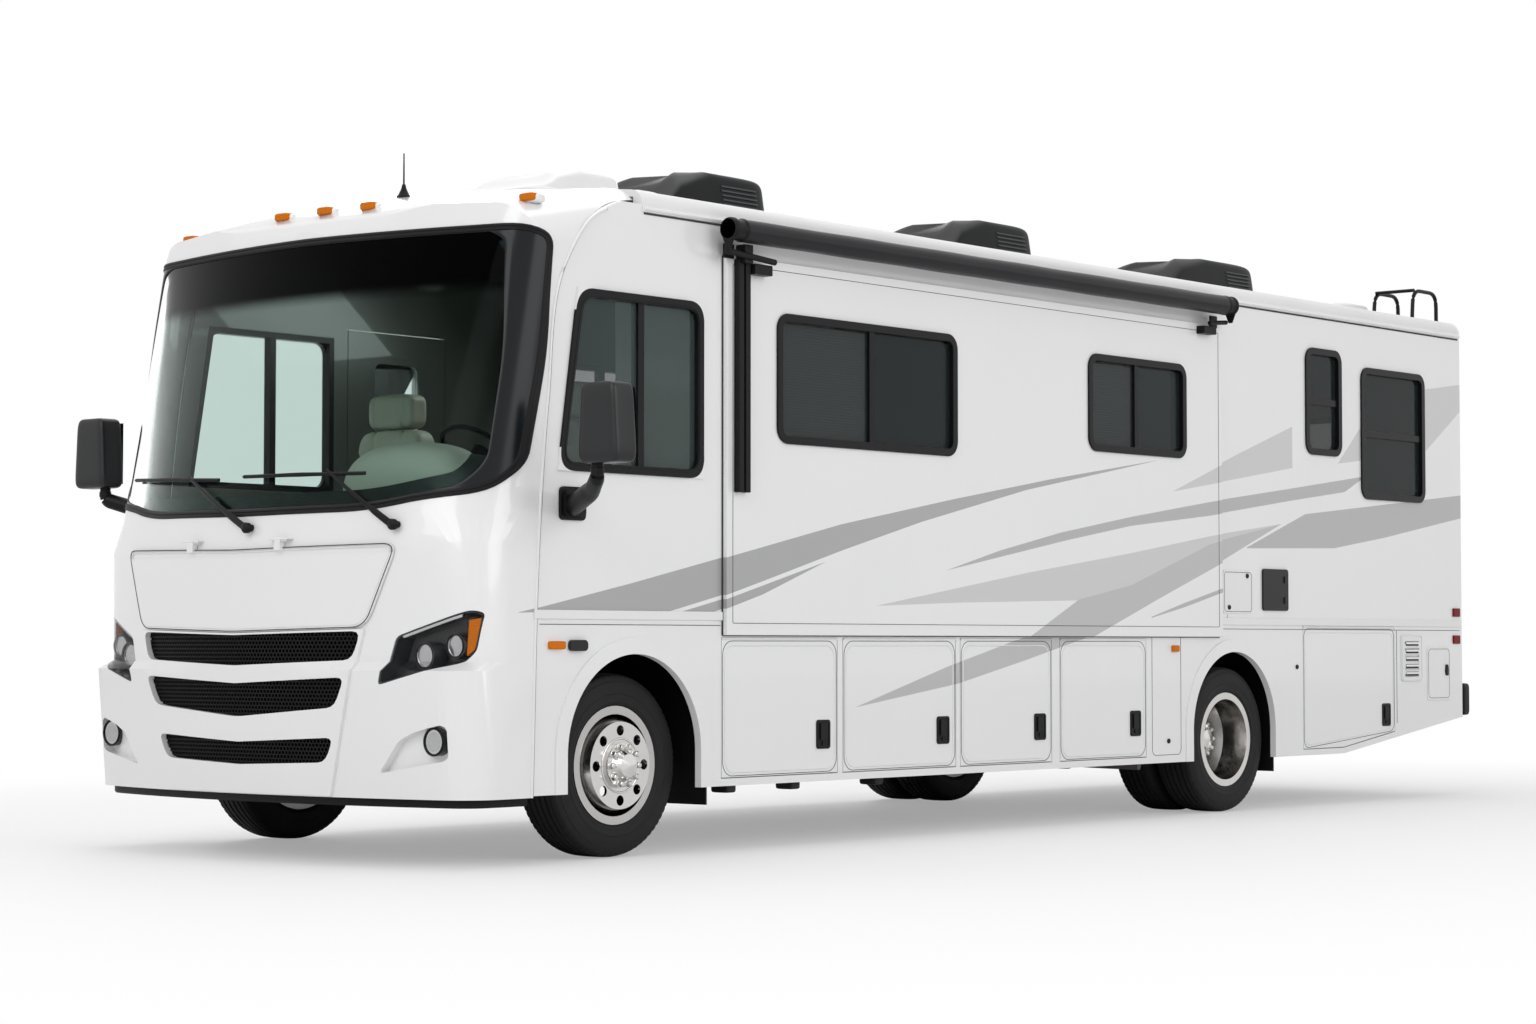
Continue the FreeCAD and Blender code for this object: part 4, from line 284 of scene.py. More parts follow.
@dataclass(frozen=True)
class Band:
    """One painted stripe between two lines of place along the side and height."""

    top: Curve
    low: Curve
    shade: float


@dataclass(frozen=True)
class StripedPaint(Finish):
    """Glossy white with grey stripes along both sides.

    The ramps that hold the stripes' edges run from a base height over a span of height.
    """

    bands: Tuple[Band, ...] = ()
    side_from: float = 1.2
    base: float = 0.6
    span: float = 2.2

    def band_mask(self, graph: Graph, band: Band) -> Signal:
        """1 inside a stripe.

        The place along the side runs two ramps whose grey levels are the heights of the stripe's edges.
        """
        _, y, z = graph.axes()
        first, last = band.top[0][0], band.top[-1][0]
        share = (y - first) / (last - first)
        height = (z - self.base) / self.span
        lines = []
        for line in (band.top, band.low):
            stops = [(min(max((a - first) / (last - first), 0.0), 1.0), (b - self.base) / self.span) for a,
                     b in line]
            lines.append(graph.node("ShaderNodeValToRGB", {"stops": stops}, {0: share}))
        return (height < lines[0]) * (height > lines[1]) * (share > 0.0) * (share < 1.0)

    def tint(self, graph: Graph) -> Signal:
        """White under the stripes."""
        colour = Finish.tint(self, graph)
        side = abs(graph.axes()[0]) > self.side_from
        for band in self.bands:
            grey = opaque(tuple(c * band.shade for c in self.colour))
            colour = graph.mix(self.band_mask(graph, band) * side, colour, grey)
        return colour


@dataclass(frozen=True)
class LinedPaint(StripedPaint):
    """The striped paint outside and the cabin's lining on the inside of the walls."""

    lining: RGB = (0.085, 0.088, 0.08)
    inner_x: float = 1.262

    def tint(self, graph: Graph) -> Signal:
        """Lining where the place is nearer to the middle than the wall's outer skin."""
        x, _, z = graph.axes()
        inside = (abs(x) < self.inner_x) * (z > 1.046)
        return graph.mix(inside, StripedPaint.tint(self, graph), opaque(self.lining))


@dataclass(frozen=True)
class LinedCap(StripedPaint):
    """The striped paint outside the nose and the cabin's lining on its inner faces.

    A face is an inner one where it looks back at a point in the middle of the cab.
    """

    lining: RGB = (0.05, 0.054, 0.05)
    middle: Point = (0.0, -2.6, 2.2)
    from_z: float = 1.5

    def tint(self, graph: Graph) -> Signal:
        """Lining on inner faces above the dashboard."""
        x, y, z = graph.axes()
        split = graph.node("ShaderNodeSeparateXYZ",
                           inputs={0: graph.node("ShaderNodeTexCoord", output="Normal")})
        nx, ny, nz = (Signal(graph, split.socket.node.outputs[i]) for i in range(3))
        away = nx * (x - self.middle[0]) + ny * (y - self.middle[1]) + nz * (z - self.middle[2])
        return graph.mix((away < 0.0) * (z > self.from_z), StripedPaint.tint(self, graph),
                         opaque(self.lining))


@dataclass(frozen=True)
class LinedRoof(Finish):
    """Roof skin above and the cabin's pale ceiling below.

    The border follows the crown: its height falls with the square of the distance from the middle.
    """

    ceiling: RGB = (0.10, 0.104, 0.096)
    peak_z: float = 3.112
    crown: float = 21.4

    def tint(self, graph: Graph) -> Signal:
        """Ceiling below the crowned border."""
        x, _, z = graph.axes()
        inside = (z < self.peak_z - x ** 2.0 / self.crown) * (abs(x) < 1.24)
        return graph.mix(inside, Finish.tint(self, graph), opaque(self.ceiling))


@dataclass(frozen=True)
class FittingPaint(Finish):
    """White fittings, of which those inside given boxes along the side are black."""

    second: RGB = (0.02, 0.02, 0.021)
    spans: Tuple[Tuple[float, float, float, float], ...] = ((2.05, 2.38, 1.15, 1.44),
                                                            (-3.87, -3.72, 0.93, 1.01))

    def tint(self, graph: Graph) -> Signal:
        """Black where the place lies inside one of the boxes."""
        _, y, z = graph.axes()
        colour = Finish.tint(self, graph)
        for y0, y1, z0, z1 in self.spans:
            inside = (y > y0) * (y < y1) * (z > z0) * (z < z1)
            colour = graph.mix(inside, colour, opaque(self.second))
        return colour


@dataclass(frozen=True)
class Glass(Finish):
    """Tinted sheet, each of whose two faces shows more reflection than view at a low angle."""

    density: float = 0.4
    clear_before_y: Optional[float] = None
    clear_density: float = 0.25
    cab_colour: RGB = (0.06, 0.082, 0.079)

    def tint(self, graph: Graph) -> Signal:
        """The tint, lighter and greener beside the driver."""
        colour = Finish.tint(self, graph)
        if self.clear_before_y is None:
            return colour
        return graph.mix(graph.axes()[1] < self.clear_before_y, colour, opaque(self.cab_colour))

    def clearness(self, graph: Graph) -> Signal:
        """Alpha: the tint's density, raised at a low angle and lowered in the far cab panes.

        The rise is the fifth power of how far the surface is turned away, the same from both of its sides.
        """
        x, y, _ = graph.axes()
        turned = graph.node("ShaderNodeLayerWeight", inputs={"Blend": 0.5}, output="Facing")
        reflection = turned ** 5.0 * 0.7 + 0.03
        density = self.density + reflection
        if self.clear_before_y is not None:
            clear = (x < 0.0) * (y < -0.2)
            density = density - clear * (self.density - self.clear_density)
        return density


@dataclass(frozen=True)
class Screen(Finish):
    """Clear green-tinted glass that filters what is behind it, with a dark sun band along its top."""

    band_colour: RGB = (0.003, 0.0045, 0.006)
    band_z: Pair = (2.52, 2.60)

    def tint(self, graph: Graph) -> Signal:
        """The filter's colour, near black in the sun band."""
        band = graph.axes()[2].rise(*self.band_z)
        return graph.mix(band, Finish.tint(self, graph), opaque(self.band_colour))


@dataclass(frozen=True)
class Lens(Finish):
    """Ribbed coloured lamp lens with a glow: real light in the ceiling lamps, a faint painted glow for caught
    sunlight in the unlit amber and red lenses.
    """

    rib_pitch: float = 0.012
    # glow strength: painted light in the unlit amber and red lenses, real light in the ceiling lamps
    lamp_and_painted_glow: float = 0.0

    def relief(self, graph: Graph) -> Signal:
        """Upright ribs across the lens."""
        x, y, z = graph.axes()
        wave = 2.0 * math.pi / self.rib_pitch
        ribs = ((x + y) * wave).sine() + (z * wave).sine()
        return graph.node("ShaderNodeBump", inputs={"Strength": 0.6, "Distance": 0.001, "Height": ribs})

    def glow(self) -> Tuple[RGB, float]:
        """Emission colour and strength: painted glow for sunlight caught in an unlit lens, real light in a
        lit one.
        """
        return self.colour, self.lamp_and_painted_glow


@dataclass(frozen=True)
class Turned(Finish):
    """Polished metal with fine turning marks round an axle, darker deep inside the wheel as painted shade."""

    axle_y: float = 0.0
    axle_z: float = AXLE_Z
    deep_x: Pair = (1.0, 1.2)
    # share of the colour left under the painted shade deep in the wheel
    deep_share: float = 0.34

    def tint(self, graph: Graph) -> Signal:
        """Painted shade in the wheel's depth, none on its outer lip and hub cap."""
        x, y, z = graph.axes()
        reach = ((y - self.axle_y) ** 2.0 + (z - self.axle_z) ** 2.0) ** 0.5
        # painted shade: a darker colour deep in the dish, fading out at the lip and hub
        painted_shade = (1.0 - abs(x).rise(*self.deep_x)) * reach.rise(0.06, 0.13)
        shaded_colour = opaque(tuple(c * self.deep_share for c in self.colour))
        return graph.mix(painted_shade, Finish.tint(self, graph), shaded_colour)

    def relief(self, graph: Graph) -> Signal:
        """Rings whose height is a noise of the distance from the axle."""
        _, y, z = graph.axes()
        reach = ((y - self.axle_y) ** 2.0 + (z - self.axle_z) ** 2.0) ** 0.5
        rings = graph.node("ShaderNodeTexNoise", {"noise_dimensions": "1D"},
                           {"W": reach, "Scale": 900.0, "Detail": 2.0})
        return graph.node("ShaderNodeBump", inputs={"Strength": 0.25, "Distance": 0.0004, "Height": rings})


class Paint(Enum):
    """The names of all finishes."""

    BODY = "body_paint"
    WALL = "lined_wall_paint"
    CAP = "lined_cap_paint"
    WHITE = "plain_white_paint"
    FITTINGS = "fitting_paint"
    ROOF = "roof_skin"
    VENTS = "vent_white"
    PLASTIC = "moulded_black_plastic"
    GLOSSY = "glossy_black_plastic"
    RUBBER = "black_rubber_trim"
    TYRE = "tyre_rubber"
    SCREEN = "windscreen_glass"
    PANES = "privacy_glass"
    LAMP = "clear_lens"
    AMBER = "amber_lens_ribbed"
    RED = "red_lens_ribbed"
    CHROME = "lamp_chrome"
    HOUSING = "lamp_housing_black"
    SCREEN_EDGE = "screen_edge_black"
    SHELL = "mirror_shell_black"
    COOLER = "cooler_black_plastic"
    BARS = "louvre_bar_grey"
    FRONT_RIM = "front_polished_alloy"
    REAR_RIM = "rear_polished_alloy"
    NUTS = "bright_nuts"
    FRAME = "frame_black"
    IRON = "cast_iron"
    STEEL = "dark_exhaust_steel"
    TANK = "brushed_tank"
    SHEET = "galvanised_sheet"
    FLOOR = "vinyl_floor"
    DASH = "dash_plastic"
    BINNACLE = "pale_binnacle_plastic"
    LEATHER = "beige_leather_grain"
    BLIND = "window_slats"
    SEAM_SHADOW = "seam_shadow"
    MIRROR = "mirror_glass"
    FABRIC = "awning_vinyl"
    CEILING = "ceiling_lamp"


DARK, MID, LIGHT = 0.46, 0.52, 0.71

STRIPES = (
    Band(((-4.162, 1.116), (-4.014, 1.141), (-3.429, 1.254), (-2.805, 1.383), (-1.928, 1.567),
          (-1.017, 1.721),
          (-0.118, 1.863), (0.942, 2.013)),
         ((-4.162, 1.114), (-4.014, 1.117), (-3.177, 1.126), (-2.805, 1.206), (-2.532, 1.277),
          (-1.929, 1.437),
          (-1.286, 1.596), (-0.362, 1.794), (0.942, 2.013)), DARK),
    Band(((-3.085, 1.127), (-2.805, 1.186), (-2.052, 1.38)),
         ((-3.085, 1.125), (-2.861, 1.126), (-2.532, 1.214), (-2.052, 1.38)), DARK),
    Band(((-1.073, 1.354), (-0.602, 1.467), (-0.046, 1.576), (0.646, 1.683), (1.466, 1.794), (2.4, 1.906),
          (3.321, 2.019)),
         ((-1.073, 1.354), (-0.555, 1.441), (0.029, 1.539), (0.645, 1.633), (1.466, 1.715), (2.399, 1.833),
          (3.059, 1.911), (3.321, 2.019)), MID),
    Band(((1.066, 1.839), (1.805, 2.084), (2.423, 2.277), (2.435, 2.281)),
         ((1.066, 1.839), (1.804, 1.942), (2.42, 2.03), (2.435, 2.03)), LIGHT),
    Band(((2.978, 2.083), (3.26, 2.321), (4.055, 2.603), (4.6, 2.672)),
         ((2.978, 2.083), (3.256, 2.112), (4.069, 2.195), (4.535, 2.475), (4.6, 2.51)), LIGHT),
    Band(((1.904, 1.541), (2.582, 1.76), (3.285, 1.825), (4.6, 1.948)),
         ((1.904, 1.538), (2.925, 1.562), (3.547, 1.642), (4.6, 1.801)), MID),
    Band(((-1.656, 1.167), (-0.365, 1.353), (0.618, 1.478), (1.464, 1.597), (2.305, 1.692)),
         ((-1.656, 1.167), (-0.928, 1.191), (0.127, 1.213), (0.642, 1.297), (1.463, 1.445),
          (2.305, 1.692)), LIGHT),
    Band(((-1.788, 0.663), (-1.025, 0.86), (-0.324, 1.018), (0.127, 1.218), (0.642, 1.303), (1.464, 1.551),
          (2.305, 1.692)),
         ((-1.788, 0.663), (-0.935, 0.772), (-0.325, 0.892), (0.277, 1.019), (0.908, 1.227), (1.625, 1.455),
          (2.305, 1.692)), MID + 0.06),
    Band(((0.843, 1.129), (1.181, 1.209), (1.612, 1.302)),
         ((0.843, 1.123), (1.181, 1.185), (1.612, 1.278)), MID),
)

WHITE: RGB = (0.80, 0.80, 0.805)
SMOOTH_PAINT = {"cloudiness": 0.012, "gloss_spread": 0.05, "grain_scale": 90.0, "grain_depth": 0.00006}

FINISHES: Tuple[Finish, ...] = (
    StripedPaint(Paint.BODY, WHITE, 0.3, coat=0.6, bands=STRIPES, **SMOOTH_PAINT),
    LinedPaint(Paint.WALL, WHITE, 0.3, coat=0.6, bands=STRIPES, **SMOOTH_PAINT),
    LinedCap(Paint.CAP, WHITE, 0.3, coat=0.6, bands=STRIPES, **SMOOTH_PAINT),
    Finish(Paint.WHITE, WHITE, 0.3, coat=0.6, **SMOOTH_PAINT),
    FittingPaint(Paint.FITTINGS, WHITE, 0.34, specular=0.2, **SMOOTH_PAINT),
    LinedRoof(Paint.ROOF, (0.78, 0.78, 0.78), 0.55, cloudiness=0.04, grain_scale=120.0, grain_depth=0.0004),
    Finish(Paint.VENTS, (0.78, 0.78, 0.78), 0.42, cloudiness=0.02),
    Finish(Paint.PLASTIC, (0.009, 0.0092, 0.01), 0.4, cloudiness=0.1, grain_scale=700.0, grain_depth=0.0002,
           specular=0.14),
    Finish(Paint.GLOSSY, (0.007, 0.007, 0.008), 0.24, grain_depth=0.00003, specular=0.16),
    Finish(Paint.RUBBER, (0.009, 0.009, 0.01), 0.45, cloudiness=0.1, grain_scale=500.0, grain_depth=0.0001,
           specular=0.14),
    Finish(Paint.TYRE, (0.014, 0.014, 0.015), 0.58, cloudiness=0.14, cloud_scale=6.0, grain_scale=420.0,
           grain_depth=0.0004, specular=0.18),
    Screen(Paint.SCREEN, (0.70, 0.88, 0.82), 0.0, cloudiness=0.0, gloss_spread=0.0, grain_depth=0.0,
           transmission=1.0, bending=1.07),
    Glass(Paint.PANES, (0.02, 0.027, 0.027), 0.04, cloudiness=0.02, gloss_spread=0.01, grain_depth=0.0,
          density=0.5, clear_before_y=-2.9, clear_density=0.12, specular=0.2),
    Glass(Paint.LAMP, (0.06, 0.062, 0.065), 0.02, cloudiness=0.0, gloss_spread=0.01, grain_depth=0.0,
          density=0.02,
          specular=0.3),
    # faint painted glow in the unlit amber and red lenses, standing for caught sunlight
    Lens(Paint.AMBER, (0.6, 0.155, 0.001), 0.3, lamp_and_painted_glow=0.05, specular=0.08),
    Lens(Paint.RED, (0.17, 0.003, 0.004), 0.25, lamp_and_painted_glow=0.03, specular=0.1),
    Finish(Paint.CHROME, (0.6, 0.6, 0.61), 0.14, 1.0, cloudiness=0.02, gloss_spread=0.05,
           grain_depth=0.00002),
    Finish(Paint.HOUSING, (0.028, 0.029, 0.031), 0.22, grain_depth=0.00003, specular=0.5),
    Finish(Paint.SCREEN_EDGE, (0.006, 0.008, 0.0095), 0.2, gloss_spread=0.03, grain_depth=0.0, specular=0.22),
    Finish(Paint.BARS, (0.045, 0.047, 0.05), 0.4, cloudiness=0.1, specular=0.4),
    Finish(Paint.COOLER, (0.008, 0.0085, 0.0095), 0.42, cloudiness=0.1, grain_scale=500.0,
           grain_depth=0.0002, specular=0.13),
    Finish(Paint.SHELL, (0.011, 0.0115, 0.013), 0.34, specular=0.36, cloudiness=0.08, grain_scale=700.0,
           grain_depth=0.0001),
    Turned(Paint.FRONT_RIM, (0.7, 0.685, 0.67), 0.16, 1.0, cloudiness=0.03, cloud_scale=9.0,
           gloss_spread=0.12, axle_y=FRONT_AXLE_Y,
           deep_x=(1.14, 1.215)),
    Turned(Paint.REAR_RIM, (0.72, 0.7, 0.68), 0.18, 1.0, cloudiness=0.03, cloud_scale=9.0, gloss_spread=0.12,
           axle_y=REAR_AXLE_Y,
           deep_x=(1.0, 1.225)),
    Finish(Paint.NUTS, (0.7, 0.69, 0.68), 0.14, 1.0, cloudiness=0.04, cloud_scale=30.0),
    Finish(Paint.FRAME, (0.012, 0.012, 0.013), 0.5, cloudiness=0.14, cloud_scale=5.0, grain_depth=0.0004,
           specular=0.3),
    Finish(Paint.IRON, (0.09, 0.085, 0.08), 0.62, 0.6, cloudiness=0.16, cloud_scale=7.0, grain_scale=260.0,
           grain_depth=0.001),
    Finish(Paint.STEEL, (0.13, 0.12, 0.11), 0.5, 0.9, cloudiness=0.14, cloud_scale=6.0),
    Finish(Paint.TANK, (0.35, 0.35, 0.36), 0.4, 0.9, cloudiness=0.06, grain_scale=60.0,
           grain_stretch=(1.0, 30.0, 30.0)),
    Finish(Paint.SHEET, (0.42, 0.43, 0.44), 0.42, 0.7, cloudiness=0.12, cloud_scale=14.0),
    Finish(Paint.FLOOR, (0.2, 0.17, 0.14), 0.5, cloudiness=0.12, grain_scale=9.0, grain_depth=0.0008,
           grain_stretch=(14.0, 1.0, 1.0)),
    Finish(Paint.BINNACLE, (0.31, 0.275, 0.25), 0.5, grain_scale=600.0, grain_depth=0.0003),
    Finish(Paint.DASH, (0.085, 0.09, 0.084), 0.55, grain_scale=600.0, grain_depth=0.0003),
    Finish(Paint.LEATHER, (0.43, 0.39, 0.33), 0.46, cloudiness=0.06, cloud_scale=5.0, grain_scale=260.0,
           grain_depth=0.0007),
    Finish(Paint.BLIND, (0.62, 0.64, 0.63), 0.6),
    Finish(Paint.SEAM_SHADOW, (0.05, 0.05, 0.052), 0.7, cloudiness=0.1, specular=0.2),
    Finish(Paint.MIRROR, (0.75, 0.77, 0.78), 0.03, 1.0, cloudiness=0.01, gloss_spread=0.01, grain_depth=0.0),
    Finish(Paint.FABRIC, (0.010, 0.010, 0.012), 0.33, cloudiness=0.08, grain_scale=240.0, grain_depth=0.0003,
           grain_stretch=(1.0, 6.0, 1.0), specular=0.2),
    Lens(Paint.CEILING, (0.95, 0.93, 0.86), 0.4, lamp_and_painted_glow=1.6),
)


class Palette:
    """Makes each finish's material once."""

    def __init__(self, finishes: Sequence[Finish]) -> None:
        """Keeps the finishes by paint."""
        self._finishes = {finish.paint: finish for finish in finishes}
        self._made: Dict[Paint, bpy.types.Material] = {}

    def get(self, paint: Paint) -> bpy.types.Material:
        """The material of a finish."""
        if paint not in self._made:
            self._made[paint] = self._finishes[paint].build()
        return self._made[paint]


PALETTE = Palette(FINISHES)


# Surfaces


@dataclass
class Shape:
    """Points and faces of a mesh in the making."""

    points: np.ndarray
    faces: List[Tuple[int, ...]]

    def __add__(self, other: "Shape") -> "Shape":
        """Both shapes in one mesh."""
        shift = len(self.points)
        return Shape(np.vstack([self.points, other.points]),
                     self.faces + [tuple(i + shift for i in face) for face in other.faces])

    def mirrored(self) -> "Shape":
        """The shape on the other side of the vehicle, its faces turned back outwards."""
        return Shape(self.points * np.array([-1.0, 1.0, 1.0]), [face[::-1] for face in self.faces])

    def moved(self, shift: Point) -> "Shape":
        """The shape at another place."""
        return Shape(self.points + np.array(shift), self.faces)

    def on_side(self, side: int) -> "Shape":
        """The shape itself on the left, its mirror image on the right."""
        return self if side > 0 else self.mirrored()


def merged(shapes: Sequence[Shape]) -> Shape:
    """Many shapes in one mesh."""
    shifts = np.cumsum([0] + [len(s.points) for s in shapes[:-1]])
    faces = [tuple(int(i + shift) for i in face) for s, shift in zip(shapes, shifts) for face in s.faces]
    return Shape(np.vstack([s.points for s in shapes]), faces)


def sheet(points: np.ndarray, close_rows: bool = False, close_columns: bool = False,
          caps: bool = False) -> Shape:
    """Grid of points as a skin of quads.

    Args:
        points: Rows by columns by three numbers.
        close_rows: Joins the last row to the first.
        close_columns: Joins the last column to the first.
        caps: Closes the first and last row with one face each.

    Returns:
        The shape, whose faces follow rows times columns.
    """
    rows, columns = points.shape[:2]
    index = np.arange(rows * columns).reshape(rows, columns)
    down = np.roll(index, -1, 0) if close_rows else index[1:]
    top = index if close_rows else index[:-1]
    if close_columns:
        quads = np.stack([top, np.roll(top, -1, 1), np.roll(down, -1, 1), down], -1)
    else:
        quads = np.stack([top[:, :-1], top[:, 1:], down[:, 1:], down[:, :-1]], -1)
    faces = [tuple(q) for q in quads.reshape(-1, 4).tolist()]
    if caps:
        faces += [tuple(index[0][::-1].tolist()), tuple(index[-1].tolist())]
    return Shape(points.reshape(-1, 3), faces)


def turns(count: int) -> np.ndarray:
    """Even angles all round."""
    return np.linspace(0.0, 2.0 * math.pi, count, endpoint=False)


def lathe(profile: Sequence[Pair], centre: Point, axis: Point, steps: int, closed: bool = False) -> Shape:
    """Profile of offset and radius turned round an axis.

    A point is the centre, plus the offset along the axis, plus the radius times a turning unit vector.

    Args:
        profile: Offsets along the axis and radii.
        centre: A point on the axis.
        axis: Unit direction of the axis.
        steps: Points round the axis.
        closed: Whether the profile's ends meet.

    Returns:
        The turned skin.
    """
    line = np.array(profile, float)
    way = np.array(axis, float)
    helper = np.array([0.0, 0.0, 1.0]) if abs(way[2]) < 0.9 else np.array([1.0, 0.0, 0.0])
    side = np.cross(helper, way)
    side /= np.linalg.norm(side)
    up = np.cross(way, side)
    turn = turns(steps)
    ring = np.cos(turn)[:, None] * side + np.sin(turn)[:, None] * up
    points = np.array(centre) + line[:, 0, None, None] * way + line[:, 1, None, None] * ring[None]
    return sheet(points, close_rows=closed, close_columns=True, caps=not closed)


def tube(path: Sequence[Point], radius: Union[float, Sequence[float]], sides: int = 12) -> Shape:
    """Round bar along a path.

    Each path point carries a circle at right angles to the path's direction there.

    Args:
        path: Points of the middle line.
        radius: Radius of the bar, or one for each point.
        sides: Points of each circle.

    Returns:
        The closed bar.
    """
    line = np.array(path, float)
    way = np.gradient(line, axis=0)
    way /= np.linalg.norm(way, axis=1)[:, None]
    helper = np.where(np.abs(way[:, 2:3]) < 0.9, np.array([[0.0, 0.0, 1.0]]), np.array([[1.0, 0.0, 0.0]]))
    side = np.cross(helper, way)
    side /= np.linalg.norm(side, axis=1)[:, None]
    up = np.cross(way, side)
    turn = turns(sides)
    circle = np.cos(turn)[None, :, None] * side[:, None] + np.sin(turn)[None, :, None] * up[:, None]
    size = np.broadcast_to(np.array(radius, float), (len(line),))[:, None, None]
    return sheet(line[:, None] + size * circle, close_columns=True, caps=True)


def torus(centre: Point, axis: Point, radius: float, section: Pair, steps: int, sides: int) -> Shape:
    """Ring round an axis with an oval section.

    Args:
        centre: Middle of the ring.
        axis: Unit direction of the axis.
        radius: Distance from the axis to the section's middle.
        section: Half size along the axis and half size away from it.
        steps: Points round the axis.
        sides: Points round the section.

    Returns:
        The closed ring.
    """
    deep, high = section
    profile = [(deep * math.sin(t), radius + high * math.cos(t)) for t in turns(sides)]
    return lathe(profile, centre, axis, steps, closed=True)


def bead(path: np.ndarray, radius: float, outward: Point, sides: int = 6) -> Shape:
    """Fine round bar along a closed ring of points on a face.

    Each point carries a circle between the face's outward direction and the direction across the path.
    """
    ahead = np.roll(path, -1, 0) - np.roll(path, 1, 0)
    ahead /= np.linalg.norm(ahead, axis=1)[:, None]
    across = np.cross(ahead, outward)
    turn = turns(sides)[None, :, None]
    circle = radius * (np.cos(turn) * np.array(outward) + np.sin(turn) * across[:, None])
    return sheet(path[:, None] + circle, close_rows=True, close_columns=True)


CORNERS = np.array([[x, y, z] for z in (0, 1) for x, y in ((0, 0), (1, 0), (1, 1), (0, 1))], float)
SIDES_OF_BLOCK = [(3, 2, 1, 0), (4, 5, 6, 7), (0, 1, 5, 4), (1, 2, 6, 5), (2, 3, 7, 6), (3, 0, 4, 7)]


def block(low: Point, high: Point) -> Shape:
    """Six-sided block between two corners."""
    a, b = np.minimum(low, high), np.maximum(low, high)
    return Shape(a + CORNERS * (b - a), list(SIDES_OF_BLOCK))


def prism(outline: Sequence[Pair], axis: int, start: float, end: float) -> Shape:
    """Outline carried along an axis.

    Args:
        outline: Corners in the other two axes, in their usual order.
        axis: 0, 1 or 2.
        start: First place on the axis.
        end: Last place on the axis.

    Returns:
        The closed prism.
    """
    flat = np.array(outline, float)
    area = np.sum(flat[:, 0] * np.roll(flat[:, 1], -1) - np.roll(flat[:, 0], -1) * flat[:, 1])
    if (area > 0) == (axis == 1):
        flat = flat[::-1]
    rows = [np.insert(flat, axis, place, axis=1) for place in sorted((start, end))]
    return sheet(np.array(rows), close_columns=True, caps=True)


def rounded_outline(y0: float, y1: float, z0: float, z1: float, radius: float, steps: int = 6) -> List[Pair]:
    """Rectangle with quarter circles at its corners."""
    turn = np.linspace(0.0, math.pi / 2.0, steps)
    corners = []
    for cy, cz, start in ((y1 - radius, z1 - radius, 0.0), (y0 + radius, z1 - radius, 0.5),
                          (y0 + radius, z0 + radius, 1.0), (y1 - radius, z0 + radius, 1.5)):
        angle = turn + start * math.pi
        corners += list(zip((cy + radius * np.cos(angle)).tolist(), (cz + radius * np.sin(angle)).tolist()))
    return corners


def mirrored_outline(half: Sequence[Pair]) -> List[Pair]:
    """Full outline from a half outline that starts and ends on the centre plane."""
    return list(half) + [(-x, z) for x, z in reversed(half) if x > 0.0]


def bend(first: np.ndarray, corner: np.ndarray, last: np.ndarray, steps: int) -> np.ndarray:
    """Curves from first points to last ones, pulled towards corners.

    A curve is first times (1 - t) squared, plus corner times 2 t (1 - t), plus last times t squared.
    """
    t = np.linspace(0.0, 1.0, steps + 1)[None, :, None]
    return first[:, None] * (1 - t) ** 2 + corner[:, None] * 2 * t * (1 - t) + last[:, None] * t ** 2


def eased(points: Sequence[Pair], radius: float, share: float = 0.45, steps: int = 8) -> np.ndarray:
    """Outline whose corners give way to bends.

    Args:
        points: Corners.
        radius: How far from the corner the curve starts at most.
        share: The same as a share of the corner's sides.
        steps: Chords of each curve.

    Returns:
        The points as two columns.
    """
    corner = np.array(points, float)
    into, out = corner - np.roll(corner, 1, 0), np.roll(corner, -1, 0) - corner
    long_in, long_out = np.linalg.norm(into, axis=1), np.linalg.norm(out, axis=1)
    reach = np.minimum(radius, np.minimum(long_in, long_out) * share)[:, None]
    curve = bend(corner - into / long_in[:, None] * reach, corner, corner + out / long_out[:, None] * reach,
                 steps)
    return curve.reshape(-1, 2)


def even(outline: np.ndarray, count: int) -> np.ndarray:
    """Closed outline with its points at equal distances along it."""
    ring = np.vstack([outline, outline[:1]])
    along = np.concatenate([[0.0], np.cumsum(np.linalg.norm(np.diff(ring, axis=0), axis=1))])
    wanted = np.linspace(0.0, along[-1], count, endpoint=False)
    return np.stack([np.interp(wanted, along, ring[:, i]) for i in (0, 1)], -1)


def inset(outline: np.ndarray, amount: float) -> np.ndarray:
    """Closed outline moved inwards along its normals, whichever way round it runs."""
    ahead = np.roll(outline, -1, 0) - np.roll(outline, 1, 0)
    ahead /= np.maximum(np.linalg.norm(ahead, axis=1), 1e-9)[:, None]
    normal = np.stack([-ahead[:, 1], ahead[:, 0]], -1)
    after = np.roll(outline, -1, 0)
    area = np.sum(outline[:, 0] * after[:, 1] - after[:, 0] * outline[:, 1])
    return outline + normal * amount * (1.0 if area > 0 else -1.0)


def rounded_path(points: Sequence[Point], radius: float, steps: int = 6) -> np.ndarray:
    """Open path whose inner corners are rounded as in eased."""
    corner = np.array(points, float)
    into, out = corner[1:-1] - corner[:-2], corner[2:] - corner[1:-1]
    long_in, long_out = np.linalg.norm(into, axis=1), np.linalg.norm(out, axis=1)
    reach = np.minimum(radius, np.minimum(long_in, long_out) * 0.48)[:, None]
    inner = corner[1:-1]
    curve = bend(inner - into / long_in[:, None] * reach, inner, inner + out / long_out[:, None] * reach,
                 steps)
    return np.vstack([corner[:1], curve.reshape(-1, 3), corner[-1:]])


def soft_block(low: Point, high: Point, roundness: float, rows: int = 24, columns: int = 40) -> Shape:
    """Block with rounded edges: a ball whose sines and cosines are raised to a power below one."""
    return cushion(low, high, roundness, 0.0, rows=rows, columns=columns)


